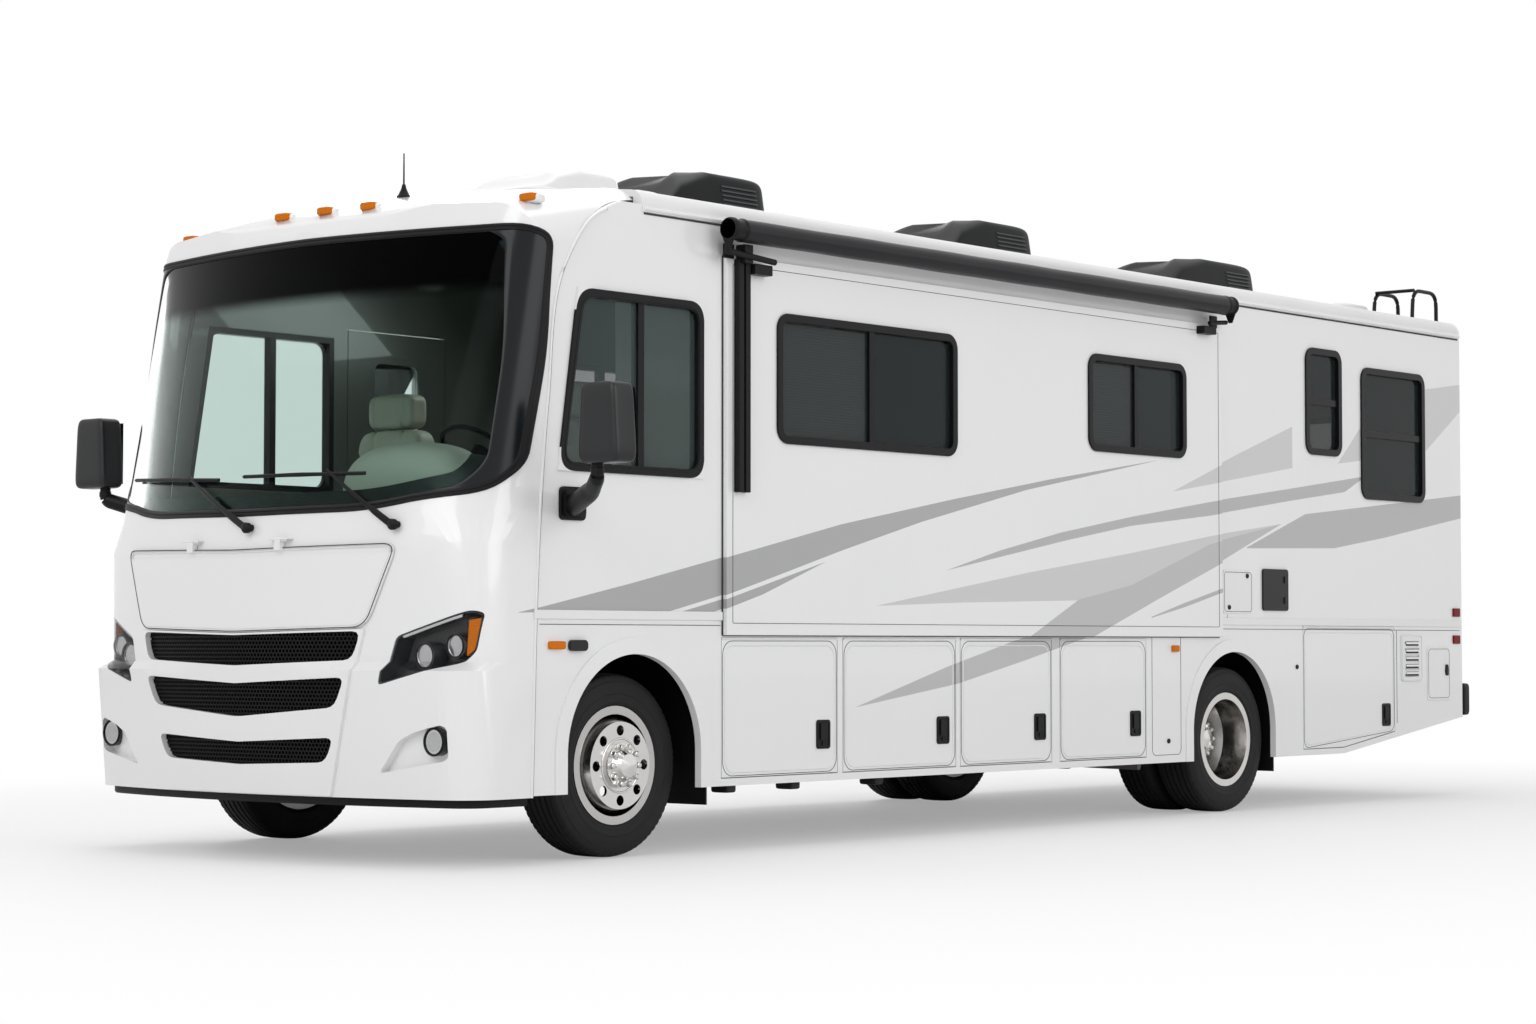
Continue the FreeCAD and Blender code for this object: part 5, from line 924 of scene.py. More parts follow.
def make(name: str, shape: Shape, paint: Paint, body: str = "coach", bevel: float = 0.0,
         smooth: float = 35.0) -> bpy.types.Object:
    """Puts a shape in the scene as a piece.

    Args:
        name: Name of the piece.
        shape: Its points and faces.
        paint: Its finish.
        body: The body that it rides on.
        bevel: Width of its rounded edges, or 0.
        smooth: Largest angle between faces that still looks round, in degrees.

    Returns:
        The piece.
    """
    mesh = bpy.data.meshes.new(name)
    mesh.from_pydata(shape.points.tolist(), [], shape.faces)
    mesh.polygons.foreach_set("use_smooth", np.ones(len(mesh.polygons), bool))
    mesh.update()
    mesh.set_sharp_from_angle(angle=math.radians(smooth))
    piece = bpy.data.objects.new(name, mesh)
    bpy.context.scene.collection.objects.link(piece)
    mesh.materials.append(PALETTE.get(paint))
    if bevel:
        rounding = piece.modifiers.new("rounding", "BEVEL")
        rounding.width, rounding.segments, rounding.limit_method = bevel, 2, "ANGLE"
        rounding.angle_limit, rounding.harden_normals = math.radians(40.0), True
    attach(piece, body)
    LOG.info("%s: %d points on %s", name, len(shape.points), body)
    return piece


# Studio


@dataclass
class Studio:
    """Floor, world, lamps and camera."""

    floor_half: float = 60.0
    floor_colour: RGB = (0.86, 0.86, 0.86)
    ambient: float = 0.56
    lens: float = 73.69
    camera_place: Point = (10.9971, -14.0219, 0.97571)
    camera_pitch: float = 2.4078
    camera_turn: float = 40.0031
    lamps: Tuple[Tuple[str, Point, Point, float, float], ...] = (
        ("front_softbox", (3.0, -17.0, 9.5), (0.0, -3.0, 1.2), 9.0, 700.0),
        ("left_softbox", (16.0, -2.0, 8.0), (0.0, 0.5, 1.2), 9.0, 620.0),
        ("top_softbox", (-2.0, 0.0, 14.0), (0.0, 0.0, 0.0), 11.0, 620.0),
        ("rear_softbox", (-14.0, 12.0, 9.0), (0.0, 0.0, 1.2), 9.0, 420.0),
        ("cab_light", (0.0, -2.3, 2.95), (0.0, -3.6, 1.4), 1.1, 12.0),
    )

    def build(self) -> None:
        """Makes the whole stage."""
        self._world()
        self._floor()
        for name, place, aim, size, power in self.lamps:
            self._lamp(name, place, aim, size, power)
        self._camera()

    def _world(self) -> None:
        """White for what the camera sees directly or in glass and metal, soft grey for light."""
        world = bpy.context.scene.world or bpy.data.worlds.new("studio")
        bpy.context.scene.world = world
        world.use_nodes = True
        graph = Graph(world.node_tree)
        seen = graph.node("ShaderNodeLightPath", output="Is Camera Ray")
        rays = seen.socket.node.outputs
        for kind in ("Is Glossy Ray", "Is Transmission Ray"):
            seen = seen.highest(Signal(graph, rays[kind]))
        strength = self.ambient + seen * (1.0 - self.ambient)
        graph.finish(graph.node("ShaderNodeBackground", inputs={"Color": (1.0, 1.0, 1.0, 1.0),
                                                                "Strength": strength}))

    def _floor(self) -> None:
        """Pale floor that keeps soft shadows and fades to white away from the vehicle."""
        h = self.floor_half
        ys = np.array([[[-h, -h, 0.0], [h, -h, 0.0]], [[-h, h, 0.0], [h, h, 0.0]]])
        mesh = bpy.data.meshes.new("floor_sweep")
        shape = sheet(ys)
        mesh.from_pydata(shape.points.tolist(), [], shape.faces)
        floor = bpy.data.objects.new("floor_sweep", mesh)
        bpy.context.scene.collection.objects.link(floor)
        material = bpy.data.materials.new("pale_floor")
        material.use_nodes = True
        graph = Graph(material.node_tree)
        x, y, _ = graph.axes()
        reach = ((x * 1.3) ** 2.0 + y ** 2.0) ** 0.5
        far = reach.rise(4.2, 11.0)
        camera = graph.node("ShaderNodeLightPath", output="Is Camera Ray")
        soft = graph.node("ShaderNodeBsdfPrincipled", inputs={"Base Color": opaque(self.floor_colour),
                                                              "Roughness": 0.6,
                                                              "Specular IOR Level": 0.15})
        white = graph.node("ShaderNodeEmission", inputs={"Color": (1.0, 1.0, 1.0, 1.0), "Strength": 1.0})
        share = camera * (0.34 + far * 0.66)
        graph.finish(graph.node("ShaderNodeMixShader", inputs={0: share, 1: soft, 2: white}))
        mesh.materials.append(material)

    def _lamp(self, name: str, place: Point, aim: Point, size: float, power: float) -> None:
        """Square area lamp that looks at a point."""
        light = bpy.data.lights.new(name, "AREA")
        light.size, light.energy = size, power
        lamp = bpy.data.objects.new(name, light)
        lamp.location = place
        lamp.rotation_euler = (Vector(aim) - Vector(place)).to_track_quat("-Z", "Y").to_euler()
        bpy.context.scene.collection.objects.link(lamp)

    def _camera(self) -> None:
        """Camera at the photograph's place."""
        data = bpy.data.cameras.new("camera")
        data.lens, data.sensor_width = self.lens, 36.0
        data.clip_end = 300.0
        camera = bpy.data.objects.new("camera", data)
        camera.location = self.camera_place
        camera.rotation_euler = (math.pi / 2.0 + math.radians(self.camera_pitch), 0.0,
                                 math.radians(self.camera_turn))
        bpy.context.scene.collection.objects.link(camera)
        bpy.context.scene.camera = camera
        bpy.context.scene.view_settings.view_transform = "Standard"


# The CAD pieces' finishes


@dataclass
class Coachwork:
    """Finishes and smooth edges of the pieces that keep their CAD form."""

    round_angle: float = 30.0
    groups: Tuple[Tuple[Paint, float, str], ...] = (
        (Paint.CAP, 0.0, "front_cap"),
        (Paint.WALL, 0.0, "left_wall right_wall"),
        (Paint.WALL, 0.004, "entry_door"),
        (Paint.BODY, 0.0, "skirts rear_cap"),
        (Paint.BODY, 0.004,
         "slide_room rear_bay_door left_bay_door_1 left_bay_door_2 left_bay_door_3 left_bay_door_4"
                            " right_bay_door_1 right_bay_door_2 right_bay_door_3"),
        (Paint.ROOF, 0.0, "roof"),
        (Paint.WHITE, 0.0, "hood_panel patio_awning"),
        (Paint.FITTINGS, 0.002, "trim_mouldings"),
        (Paint.GLOSSY, 0.003, "window_frames slide_window_frames"),
        (Paint.PANES, 0.0, "window_panes slide_window_panes entry_door_pane"),
        (Paint.HOUSING, 0.0, "headlamps"),
        (Paint.LAMP, 0.0, "lamp_lenses"),
        (Paint.RED, 0.004, "tail_lamps"),
        (Paint.PLASTIC, 0.008, "rear_bumper"),
        (Paint.FRONT_RIM, 0.0, "front_left_rim front_right_rim"),
        (Paint.REAR_RIM, 0.0, "rear_left_rims rear_right_rims"),
        (Paint.IRON, 0.0, "front_axle rear_axle left_knuckle right_knuckle"),
        (Paint.IRON, 0.01, "engine"),
        (Paint.FRAME, 0.0, "chassis_frame"),
        (Paint.STEEL, 0.0, "exhaust"),
        (Paint.TANK, 0.015, "fuel_tank"),
        (Paint.SHEET, 0.0, "basement"),
        (Paint.FLOOR, 0.0, "floor"),
        (Paint.DASH, 0.0, "dashboard"),
    )

    def build(self) -> None:
        """Dresses every node; what no group names is black plastic."""
        found = {name: (paint, bevel) for paint, bevel, names in self.groups for name in names.split()}
        for name, node in frame["nodes"].items():
            self._dress(node, *found.get(name, (Paint.PLASTIC, 0.0)))

    def _dress(self, node: bpy.types.Object, paint: Paint, bevel: float) -> None:
        """Gives one node its material and smooth curves."""
        mesh = node.data
        if not mesh.materials:
            mesh.materials.append(None)
        for slot in node.material_slots:
            slot.material = PALETTE.get(paint)
        custom = mesh.attributes.get("custom_normal")
        if custom is not None:
            mesh.attributes.remove(custom)
        mesh.polygons.foreach_set("use_smooth", np.ones(len(mesh.polygons), bool))
        weld = node.modifiers.new("weld", "WELD")
        weld.merge_threshold = 0.00002
        if bevel:
            flat = node.modifiers.new("flat_faces", "DECIMATE")
            flat.decimate_type, flat.angle_limit = "DISSOLVE", math.radians(0.3)
            rounding = node.modifiers.new("rounding", "BEVEL")
            rounding.width, rounding.segments, rounding.limit_method = bevel, 3, "ANGLE"
            rounding.angle_limit, rounding.harden_normals = math.radians(35.0), True
        else:
            split = node.modifiers.new("sharp_edges", "EDGE_SPLIT")
            split.split_angle = math.radians(self.round_angle)
            split.use_edge_sharp = False


# Wheels


@dataclass
class Tyres:
    """Tyres with grooved treads, moulded rings on their sides and small shoulder cuts."""

    radius: float = 0.4215
    bead_offset: float = 0.1027
    bead_radius: float = 0.2485
    groove_depth: float = 0.011
    steps: int = 288
    cut_count: int = 72

    def half_profile(self) -> np.ndarray:
        """Offsets and radii from the tread's middle out to the bead."""
        d, r = self.groove_depth, self.radius
        tread = [(0.0, r), (0.012, r), (0.0145, r - d), (0.0205, r - d), (0.023, r), (0.047, r - 0.0005),
                 (0.0495, r - d), (0.0555, r - d), (0.058, r - 0.001), (0.078, r - 0.002),
                 (0.0795, r - d * 0.6), (0.0825, r - d * 0.6), (0.084, r - 0.003), (0.1, r - 0.007),
                 (0.106, r - 0.0105)]
        shoulder = [(0.1095, r - 0.016), (0.1125, r - 0.026), (0.1150, r - 0.034), (0.1142, r - 0.0355),
                    (0.1142, r - 0.038), (0.1165, r - 0.0395)]
        side = [(0.1195, r - 0.055), (0.1222, r - 0.076), (0.1232, r - 0.092), (0.1215, r - 0.0935),
                (0.1215, r - 0.097), (0.1230, r - 0.0985), (0.1220, r - 0.115), (0.1192, r - 0.128),
                (0.1200, r - 0.130), (0.1180, r - 0.134), (0.1140, r - 0.142), (0.1095, r - 0.147),
                (0.1045, r - 0.150)]
        foot = [(self.bead_offset, self.bead_radius + 0.012), (self.bead_offset, self.bead_radius)]
        return np.array(tread + shoulder + side + foot)

    def shape(self, x: float, y: float, z: float) -> Shape:
        """One tyre round an axle.

        The radius is the profile's radius, less the depth of short cuts across the shoulders, which repeat
        round the tyre: a cut is where the cosine of the angle times the count of cuts is high.
        """
        half = self.half_profile()
        line = np.vstack([half[::-1], half[1:] * [-1.0, 1.0]])
        turn = turns(self.steps)
        shoulder = np.clip((np.abs(line[:, 0]) - 0.083) / 0.01, 0.0, 1.0) * (line[:, 1] > self.radius - 0.03)
        wave = (np.cos(turn * self.cut_count) > 0.6) * 0.004
        radius = line[:, 1, None] - shoulder[:, None] * wave[None]
        points = np.stack([np.broadcast_to(x + line[:, 0, None], radius.shape), y + radius * np.sin(turn),
                           z + radius * np.cos(turn)], -1)
        return sheet(points, close_rows=True, close_columns=True)

    def build(self) -> None:
        """Makes the tyres of all four wheel positions."""
        for name in ("front_left_tyre", "front_right_tyre", "rear_left_tyres", "rear_right_tyres"):
            low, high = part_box(name)
            y, z = (low.y + high.y) / 2.0, self.radius + 0.0005
            if name.startswith("front"):
                centres = [(low.x + high.x) / 2.0]
            else:
                centres = [low.x + 0.1235, high.x - 0.1235]
            shape = merged([self.shape(x, y, z) for x in centres])
            body = name.replace("tyres", "wheels").replace("tyre", "wheel")
            piece = make("dressed_" + name, shape, Paint.TYRE, body, smooth=40.0)
            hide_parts(name)


@dataclass
class WheelFittings:
    """Nuts of the polished wheels and a rounded ridge round each front hub."""

    nut_count: int = 10
    nut_circle: float = 0.088
    nut_radius: float = 0.0155
    nut_length: float = 0.026
    front_face: float = 1.237
    rear_face: float = 1.077
    wheel_height: float = AXLE_Z
    ring_radius: float = 0.123
    ring_back: float = 0.018

    def nuts(self, x: float, y: float) -> Shape:
        """Domed six-sided nuts on a circle, each a small turned profile with six sides."""
        radius, length, circle = self.nut_radius, self.nut_length, self.nut_circle
        profile = [(-0.002, radius * 1.15), (0.003, radius * 1.15), (0.004, radius), (length * 0.75, radius),
                   (length, radius * 0.62)]
        one = lathe(profile, (0.0, 0.0, 0.0), ACROSS, 6)
        return merged([one.moved((x, y + circle * math.cos(t), self.wheel_height + circle * math.sin(t)))
                       for t in turns(self.nut_count)])

    def ring(self, x: float, y: float, radius: float) -> Shape:
        """Rounded ridge round the hub."""
        return torus((x, y, self.wheel_height), ACROSS, radius, (0.005, 0.005), 72, 10)

    def build(self) -> None:
        """Fits all four wheels."""
        for side, word in BOTH_SIDES:
            front = (self.nuts(self.front_face, FRONT_AXLE_Y)
                     + self.ring(self.front_face - self.ring_back, FRONT_AXLE_Y, self.ring_radius))
            make(f"front_{word}_nuts", front.on_side(side), Paint.NUTS, f"front_{word}_wheel", smooth=40.0)
            rear = self.nuts(self.rear_face, REAR_AXLE_Y)
            make(f"rear_{word}_nuts", rear.on_side(side), Paint.NUTS, f"rear_{word}_wheels", smooth=40.0)


# Nose


@dataclass(frozen=True)
class NoseLevel:
    """Plan of the nose at one height: front line, front radius and corner radius."""

    height: float
    front: float
    radius: float
    corner: float


NOSE_LEVELS = (
    NoseLevel(0.300, -4.612, 4.7, 0.2),
    NoseLevel(0.860, -4.660, 4.7, 0.2),
    NoseLevel(0.900, -4.664, 3.0, 0.25),
    NoseLevel(1.415, -4.668, 3.0, 0.25),
    NoseLevel(1.560, -4.642, 3.0, 0.4),
    NoseLevel(2.846, -4.262, 5.0, 0.2),
    NoseLevel(3.200, -4.156, 5.0, 0.2),
)


def nose_front(x: np.ndarray, z: np.ndarray, half_width: float = 1.295) -> np.ndarray:
    """How far forward the nose's skin is.

    At each level the line is a long arc, y = front + R - root of (R squared - x squared), up to where a small
    corner arc takes over, and between levels the two lines are mixed by height.
    """
    width = np.abs(np.asarray(x, float))
    places = []
    for level in NOSE_LEVELS:
        centre = level.front + level.radius
        corner_x = half_width - level.corner
        corner_y = centre - math.sqrt((level.radius - level.corner) ** 2 - corner_x ** 2)
        join_x = corner_x * level.radius / (level.radius - level.corner)
        long_arc = centre - np.sqrt(np.maximum(level.radius ** 2 - width ** 2, 0.0))
        short_arc = corner_y - np.sqrt(np.maximum(level.corner ** 2 - (width - corner_x) ** 2, 0.0))
        places.append(np.where(width < join_x, long_arc, short_arc))
    heights = np.array([level.height for level in NOSE_LEVELS])
    low = np.clip(np.searchsorted(heights, z) - 1, 0, len(heights) - 2)
    share = (z - heights[low]) / (heights[low + 1] - heights[low])
    stack = np.array(places)
    grid = np.indices(width.shape)
    return stack[(low, *grid)] * (1.0 - share) + stack[(low + 1, *grid)] * share


def wrapped(along: np.ndarray, z: np.ndarray, proud: Union[float, np.ndarray] = 0.0,
            level: Optional[float] = None) -> np.ndarray:
    """Points on the nose's skin by their distance along its plan line from the middle.

    At each height the plan line is sampled and its length added up. A distance inside that length gives a
    point between two samples, and a longer one goes on rearwards along the flat side. The point then stands
    proud of the skin along the line's outward normal.

    Args:
        along: Distance along the plan line, negative on the right.
        z: Height.
        proud: Distance out of the skin.
        level: Height whose plan line is taken, if not the point's own.

    Returns:
        Points, one row of three numbers for each.
    """
    along, z = np.atleast_1d(along).astype(float), np.atleast_1d(z).astype(float)
    height = np.full_like(z, level) if level is not None else z
    half = 1.2949
    x = half * np.sin(np.linspace(0.0, math.pi / 2.0, 240))[None] + 0.0 * height[:, None]
    y = nose_front(x, height[:, None] + 0.0 * x)
    steps = np.hypot(np.diff(x, axis=1), np.diff(y, axis=1))
    length = np.concatenate([np.zeros((len(z), 1)), np.cumsum(steps, axis=1)], 1)
    wanted = np.abs(along)
    index = np.clip((length < wanted[:, None]).sum(1) - 1, 0, length.shape[1] - 2)
    row = np.arange(len(z))
    share = (wanted - length[row, index]) / (length[row, index + 1] - length[row, index])
    beyond = np.maximum(wanted - length[:, -1], 0.0)
    share = np.clip(share, 0.0, 1.0)
    px = x[row, index] * (1.0 - share) + x[row, index + 1] * share
    py = y[row, index] * (1.0 - share) + y[row, index + 1] * share + beyond
    tx, ty = x[row, index + 1] - x[row, index], y[row, index + 1] - y[row, index]
    size = np.hypot(tx, ty)
    tx, ty = np.where(beyond > 0.0, 0.0, tx / size), np.where(beyond > 0.0, 1.0, ty / size)
    side = np.where(along < 0.0, -1.0, 1.0)
    return np.stack([side * (px + proud * ty), py - proud * tx, z], -1)


def plan_length(x: np.ndarray, z: np.ndarray) -> np.ndarray:
    """Distance along the nose's plan line from the middle to a given x, with x's sign."""
    fine = np.linspace(0.0, 1.0, 160)[None] * np.abs(x)[:, None]
    y = nose_front(fine, z[:, None] + 0.0 * fine)
    return np.sign(x) * np.hypot(np.diff(fine, axis=1), np.diff(y, axis=1)).sum(1)


def on_skin(flat: np.ndarray, depth: Union[float, np.ndarray]) -> np.ndarray:
    """Points given by x and height, set at a depth behind the nose's skin."""
    x, z = flat[..., 0], flat[..., 1]
    return np.stack([x, nose_front(x, z) + depth, z], -1)


def skin_plate(outline: np.ndarray, shares: np.ndarray, depth: float, thickness: float) -> Shape:
    """Thin curved plate behind the nose's skin: its outline shrunk towards its middle by each share."""
    middle = np.array([0.0, (outline[:, 1].min() + outline[:, 1].max()) / 2.0])
    near = on_skin(middle + (outline - middle) * shares[:, None, None], depth)
    return sheet(np.concatenate([near[::-1], near + np.array([0.0, thickness, 0.0])]), close_columns=True,
                 caps=True)


def skin_at(x: float, z: float) -> float:
    """How far forward the nose's skin is at one place."""
    return float(nose_front(np.array([x]), np.array([z]))[0])


def painted_reflection_streaks(middle: Point, reach: float, shares: np.ndarray, spread: float, count: int,
              depth: Callable[[np.ndarray], np.ndarray]) -> List[Shape]:
    """Dark strips of even width that run out over a lamp's dish, as painted reflection: the dark streaks of a
    faceted reflector.

    A strip's half angle is the spread divided by the share of the dish's radius.

    Args:
        middle: Middle of the dish's rim.
        reach: Radius of the dish.
        shares: Shares of the radius that the strips run through.
        spread: Half width of a strip as a share of the radius.
        count: Number of strips.
        depth: Depth behind the rim by the distance from the middle.

    Returns:
        The strips.
    """
    angle = turns(count)[:, None, None] + np.array([-spread, spread]) / shares[:, None]
    r = reach * shares[:, None] + 0.0 * angle
    points = np.stack([middle[0] + r * np.cos(angle), middle[1] + depth(r), middle[2] + r * np.sin(angle)],
                      -1)
    return [sheet(rib) for rib in points]


@dataclass
class GrilleMesh:
    """Honeycomb nets in the three openings of the nose."""

    pitch: float = 0.021
    wall: float = 0.0027
    face_depth: float = 0.012
    root_depth: float = 0.026
    openings: Tuple[Curve, ...] = (
        ((0.0, 1.017), (0.744, 1.034), (0.698, 0.906), (0.0, 0.880)),
        ((0.0, 0.800), (0.679, 0.831), (0.612, 0.697), (0.0, 0.649)),
        ((0.0, 0.536), (0.598, 0.564), (0.542, 0.453), (0.0, 0.434)),
    )

    def net(self, opening: Sequence[Pair]) -> Shape:
        """Net of one opening.

        Each cell is a hexagon with a smaller hexagon inside it: the ring between them is the net's face, and
        the inner hexagon carried back is the cell's wall. Points past the opening's border are set on it.
        """
        (_, top0), (wide, top1), (narrow, low1), (_, low0) = opening
        dx, dz = self.pitch, self.pitch * math.sqrt(3.0) / 2.0
        columns = np.arange(-math.ceil(wide / dx), math.ceil(wide / dx) + 1)
        rows = np.arange(math.floor(low0 / dz), math.ceil(top1 / dz) + 1)
        gx, gz = np.meshgrid(columns * dx, rows * dz)
        gx = gx + (rows % 2)[:, None] * dx / 2.0
        gx, gz = gx.ravel(), gz.ravel()
        edge = lambda z: narrow + (wide - narrow) * np.clip((z - low1) / (top1 - low1), 0.0, 1.0)
        roof = lambda x: top0 + (top1 - top0) * np.clip(np.abs(x) / wide, 0.0, 1.0)
        sill = lambda x: low0 + (low1 - low0) * np.clip(np.abs(x) / narrow, 0.0, 1.0)
        inside = (np.abs(gx) < edge(gz) + dx * 0.3) & (gz < roof(gx) + dz * 0.3) & (gz > sill(gx) - dz * 0.3)
        gx, gz = gx[inside], gz[inside]
        turn = (np.arange(6) + 0.5) * math.pi / 3.0
        outer, inner = self.pitch / math.sqrt(3.0), self.pitch / math.sqrt(3.0) - self.wall
        rings = []
        for radius, depth in ((outer, self.face_depth), (inner, self.face_depth), (inner, self.root_depth)):
            x = gx[:, None] + radius * np.cos(turn)
            z = gz[:, None] + radius * np.sin(turn)
            z = np.clip(z, sill(x), roof(x))
            x = np.clip(x, -edge(z), edge(z))
            rings.append(np.stack([x, nose_front(x, z) + depth, z], -1))
        points = np.stack(rings, 1)
        cells = len(gx)
        base = (np.arange(cells) * 18)[:, None]
        around = np.arange(6)
        after = (around + 1) % 6
        quads = []
        for ring in (0, 6):
            quads.append(np.stack([base + ring + around, base + ring + after, base + ring + 6 + after,
                                   base + ring + 6 + around], -1))
        faces = [tuple(q) for q in np.concatenate(quads, 1).reshape(-1, 4).tolist()]
        return Shape(points.reshape(-1, 3), faces)

    def build(self) -> None:
        """Makes the three nets as one piece."""
        make("grille_nets", merged([self.net(opening) for opening in self.openings]), Paint.PLASTIC,
             smooth=20.0)


@dataclass
class HeadLamps:
    """Reflectors, bulbs, amber strips and bright trims inside the two lamp clusters."""

    lamps: Tuple[Tuple[float, float, float], ...] = ((1.012, 0.925, 0.062), (1.148, 0.968, 0.058))
    inset: float = 0.030
    dish_share: float = 0.81
    amber: Curve = ((1.206, 0.925), (1.234, 0.955), (1.249, 1.090), (1.214, 1.080))
    strip: Curve = ((0.935, 1.003), (1.19, 1.094), (1.19, 1.108), (0.925, 1.012))

    def bowl(self, x: float, z: float, radius: float) -> Shape:
        """Round dish on the housing's hollow: a ball's skin from its rim to its deepest point."""
        reach = radius * self.dish_share - 0.0004
        turn = np.linspace(0.09, math.pi / 2.0 - 0.02, 14)
        dish = [(reach * math.sin(t), reach * math.cos(t)) for t in turn]
        lip = [(0.0085, radius - 0.0085), (0.0045, radius - 0.009), (0.004, reach + 0.001)]
        return lathe(lip + dish, (x, skin_at(x, z) + self.inset, z), ALONG, 40)

    def bulb(self, x: float, z: float, radius: float) -> Shape:
        """Half-round projector glass in the middle of a dish."""
        turn = np.linspace(0.0, math.pi / 2.0, 8)
        r = radius * 0.36
        profile = [(radius * 0.62 - r * math.sin(t), r * math.cos(t) + 0.0005) for t in turn]
        return lathe([(radius * 0.78, r)] + profile, (x, skin_at(x, z) + self.inset, z), ALONG, 24)

    def rings(self, x: float, z: float, radius: float) -> List[Shape]:
        """Dark rings round a dish and its bulb, and dark radial strips that follow the dish's quarter circle
        as painted reflection streaks.
        """
        reach = radius * self.dish_share
        front = skin_at(x, z) + self.inset
        depth = lambda r: np.sqrt(np.maximum(reach ** 2 - r ** 2, 0.0)) - 0.004
        return [torus((x, front + 0.002, z), ALONG, reach + 0.003, (0.004, 0.004), 40, 8),
                torus((x, front + radius * 0.52, z), ALONG, radius * 0.48, (0.004, 0.006), 32, 8),
                # the dark strips over the dish are painted reflection streaks
                *painted_reflection_streaks((x, front, z), reach, np.linspace(0.5, 0.93, 6), 0.2, 7, depth)]

    def curved(self, outline: Sequence[Pair], near: float, far: float) -> Shape:
        """Block with a four-cornered front outline whose front and back follow the nose's skin.

        The outline's corners are mixed by two shares, and each point stands at a depth behind the skin.
        """
        corners = np.array(outline, float)
        u = np.linspace(0.0, 1.0, 9)[:, None, None]
        v = np.linspace(0.0, 1.0, 5)[None, :, None]
        flat = (corners[0] * (1 - u) + corners[1] * u) * (1 - v) + (corners[3] * (1 - u) + corners[2] * u) * v
        rows = np.concatenate([on_skin(flat, near), on_skin(flat, far)[:, ::-1]], 1)
        return sheet(rows, close_columns=True, caps=True)

    def build(self) -> None:
        """Fits both clusters."""
        for side, word in BOTH_SIDES:
            bowls = merged([self.bowl(*lamp) for lamp in self.lamps])
            make(f"{word}_lamp_bowls", bowls.on_side(side), Paint.CHROME)
            bulbs = merged([self.bulb(*lamp) for lamp in self.lamps])
            make(f"{word}_lamp_bulbs", bulbs.on_side(side), Paint.MIRROR)
            rings = [ring for lamp in self.lamps for ring in self.rings(*lamp)]
            make(f"{word}_lamp_rings", merged(rings).on_side(side), Paint.GLOSSY, smooth=60.0)
            make(f"{word}_amber_strip", self.curved(self.amber, 0.010, 0.05).on_side(side), Paint.AMBER)
            make(f"{word}_lamp_trim", self.curved(self.strip, 0.010, 0.03).on_side(side), Paint.CHROME)


@dataclass
class FogLamps:
    """Bright dishes, bulbs and rims of the round lamps low in the nose's outer corners."""

    x: float = 1.105
    z: float = 0.552
    radius: float = 0.054
    inset: float = 0.012
    depth: float = 0.030

    def build(self) -> None:
        """Fits both lamps."""
        x, z, radius, depth = self.x, self.z, self.radius, self.depth
        face = skin_at(x, z) + self.inset
        edge, bowl = radius - 0.0005, depth - 0.007
        hollow = [(0.006 + bowl * (1.0 - s * s), edge * s) for s in np.linspace(1.0, 0.02, 12)]
        dome = [(depth * 0.6 - 0.012 * math.sin(t),
                 0.018 * math.cos(t) + 0.0005) for t in np.linspace(0.0, math.pi / 2.0, 7)]
        cover = [(0.004, radius - 0.001), (0.001, radius * 0.7), (0.0, radius * 0.3), (0.0, 0.001)]
        dish = lathe([(0.002, edge)] + hollow, (x, face, z), ALONG, 40)
        bulb = lathe([(depth - 0.002, 0.018)] + dome, (x, face, z), ALONG, 20)
        lens = lathe(cover, (x, face, z), ALONG, 40)
        deep = lambda r: 0.004 + bowl * (1.0 - (r / radius) ** 2)
        # dark rings, and dark strips over the dish that are painted reflection streaks
        dark = merged([torus((x, face + 0.0005, z), ALONG, radius + 0.004, (0.0055, 0.0055), 48, 10),
                       torus((x, face + depth * 0.6, z), ALONG, 0.025, (0.004, 0.005), 32, 10),
                       *painted_reflection_streaks((x, face, z), radius, np.linspace(0.48, 0.9, 6), 0.1, 10, deep)])
        for side, word in BOTH_SIDES:
            make(f"{word}_fog_rings", dark.on_side(side), Paint.GLOSSY, smooth=60.0)
            make(f"{word}_fog_dish", dish.on_side(side), Paint.CHROME)
            make(f"{word}_fog_bulb", bulb.on_side(side), Paint.MIRROR)
            make(f"{word}_fog_lens", lens.on_side(side), Paint.LAMP)


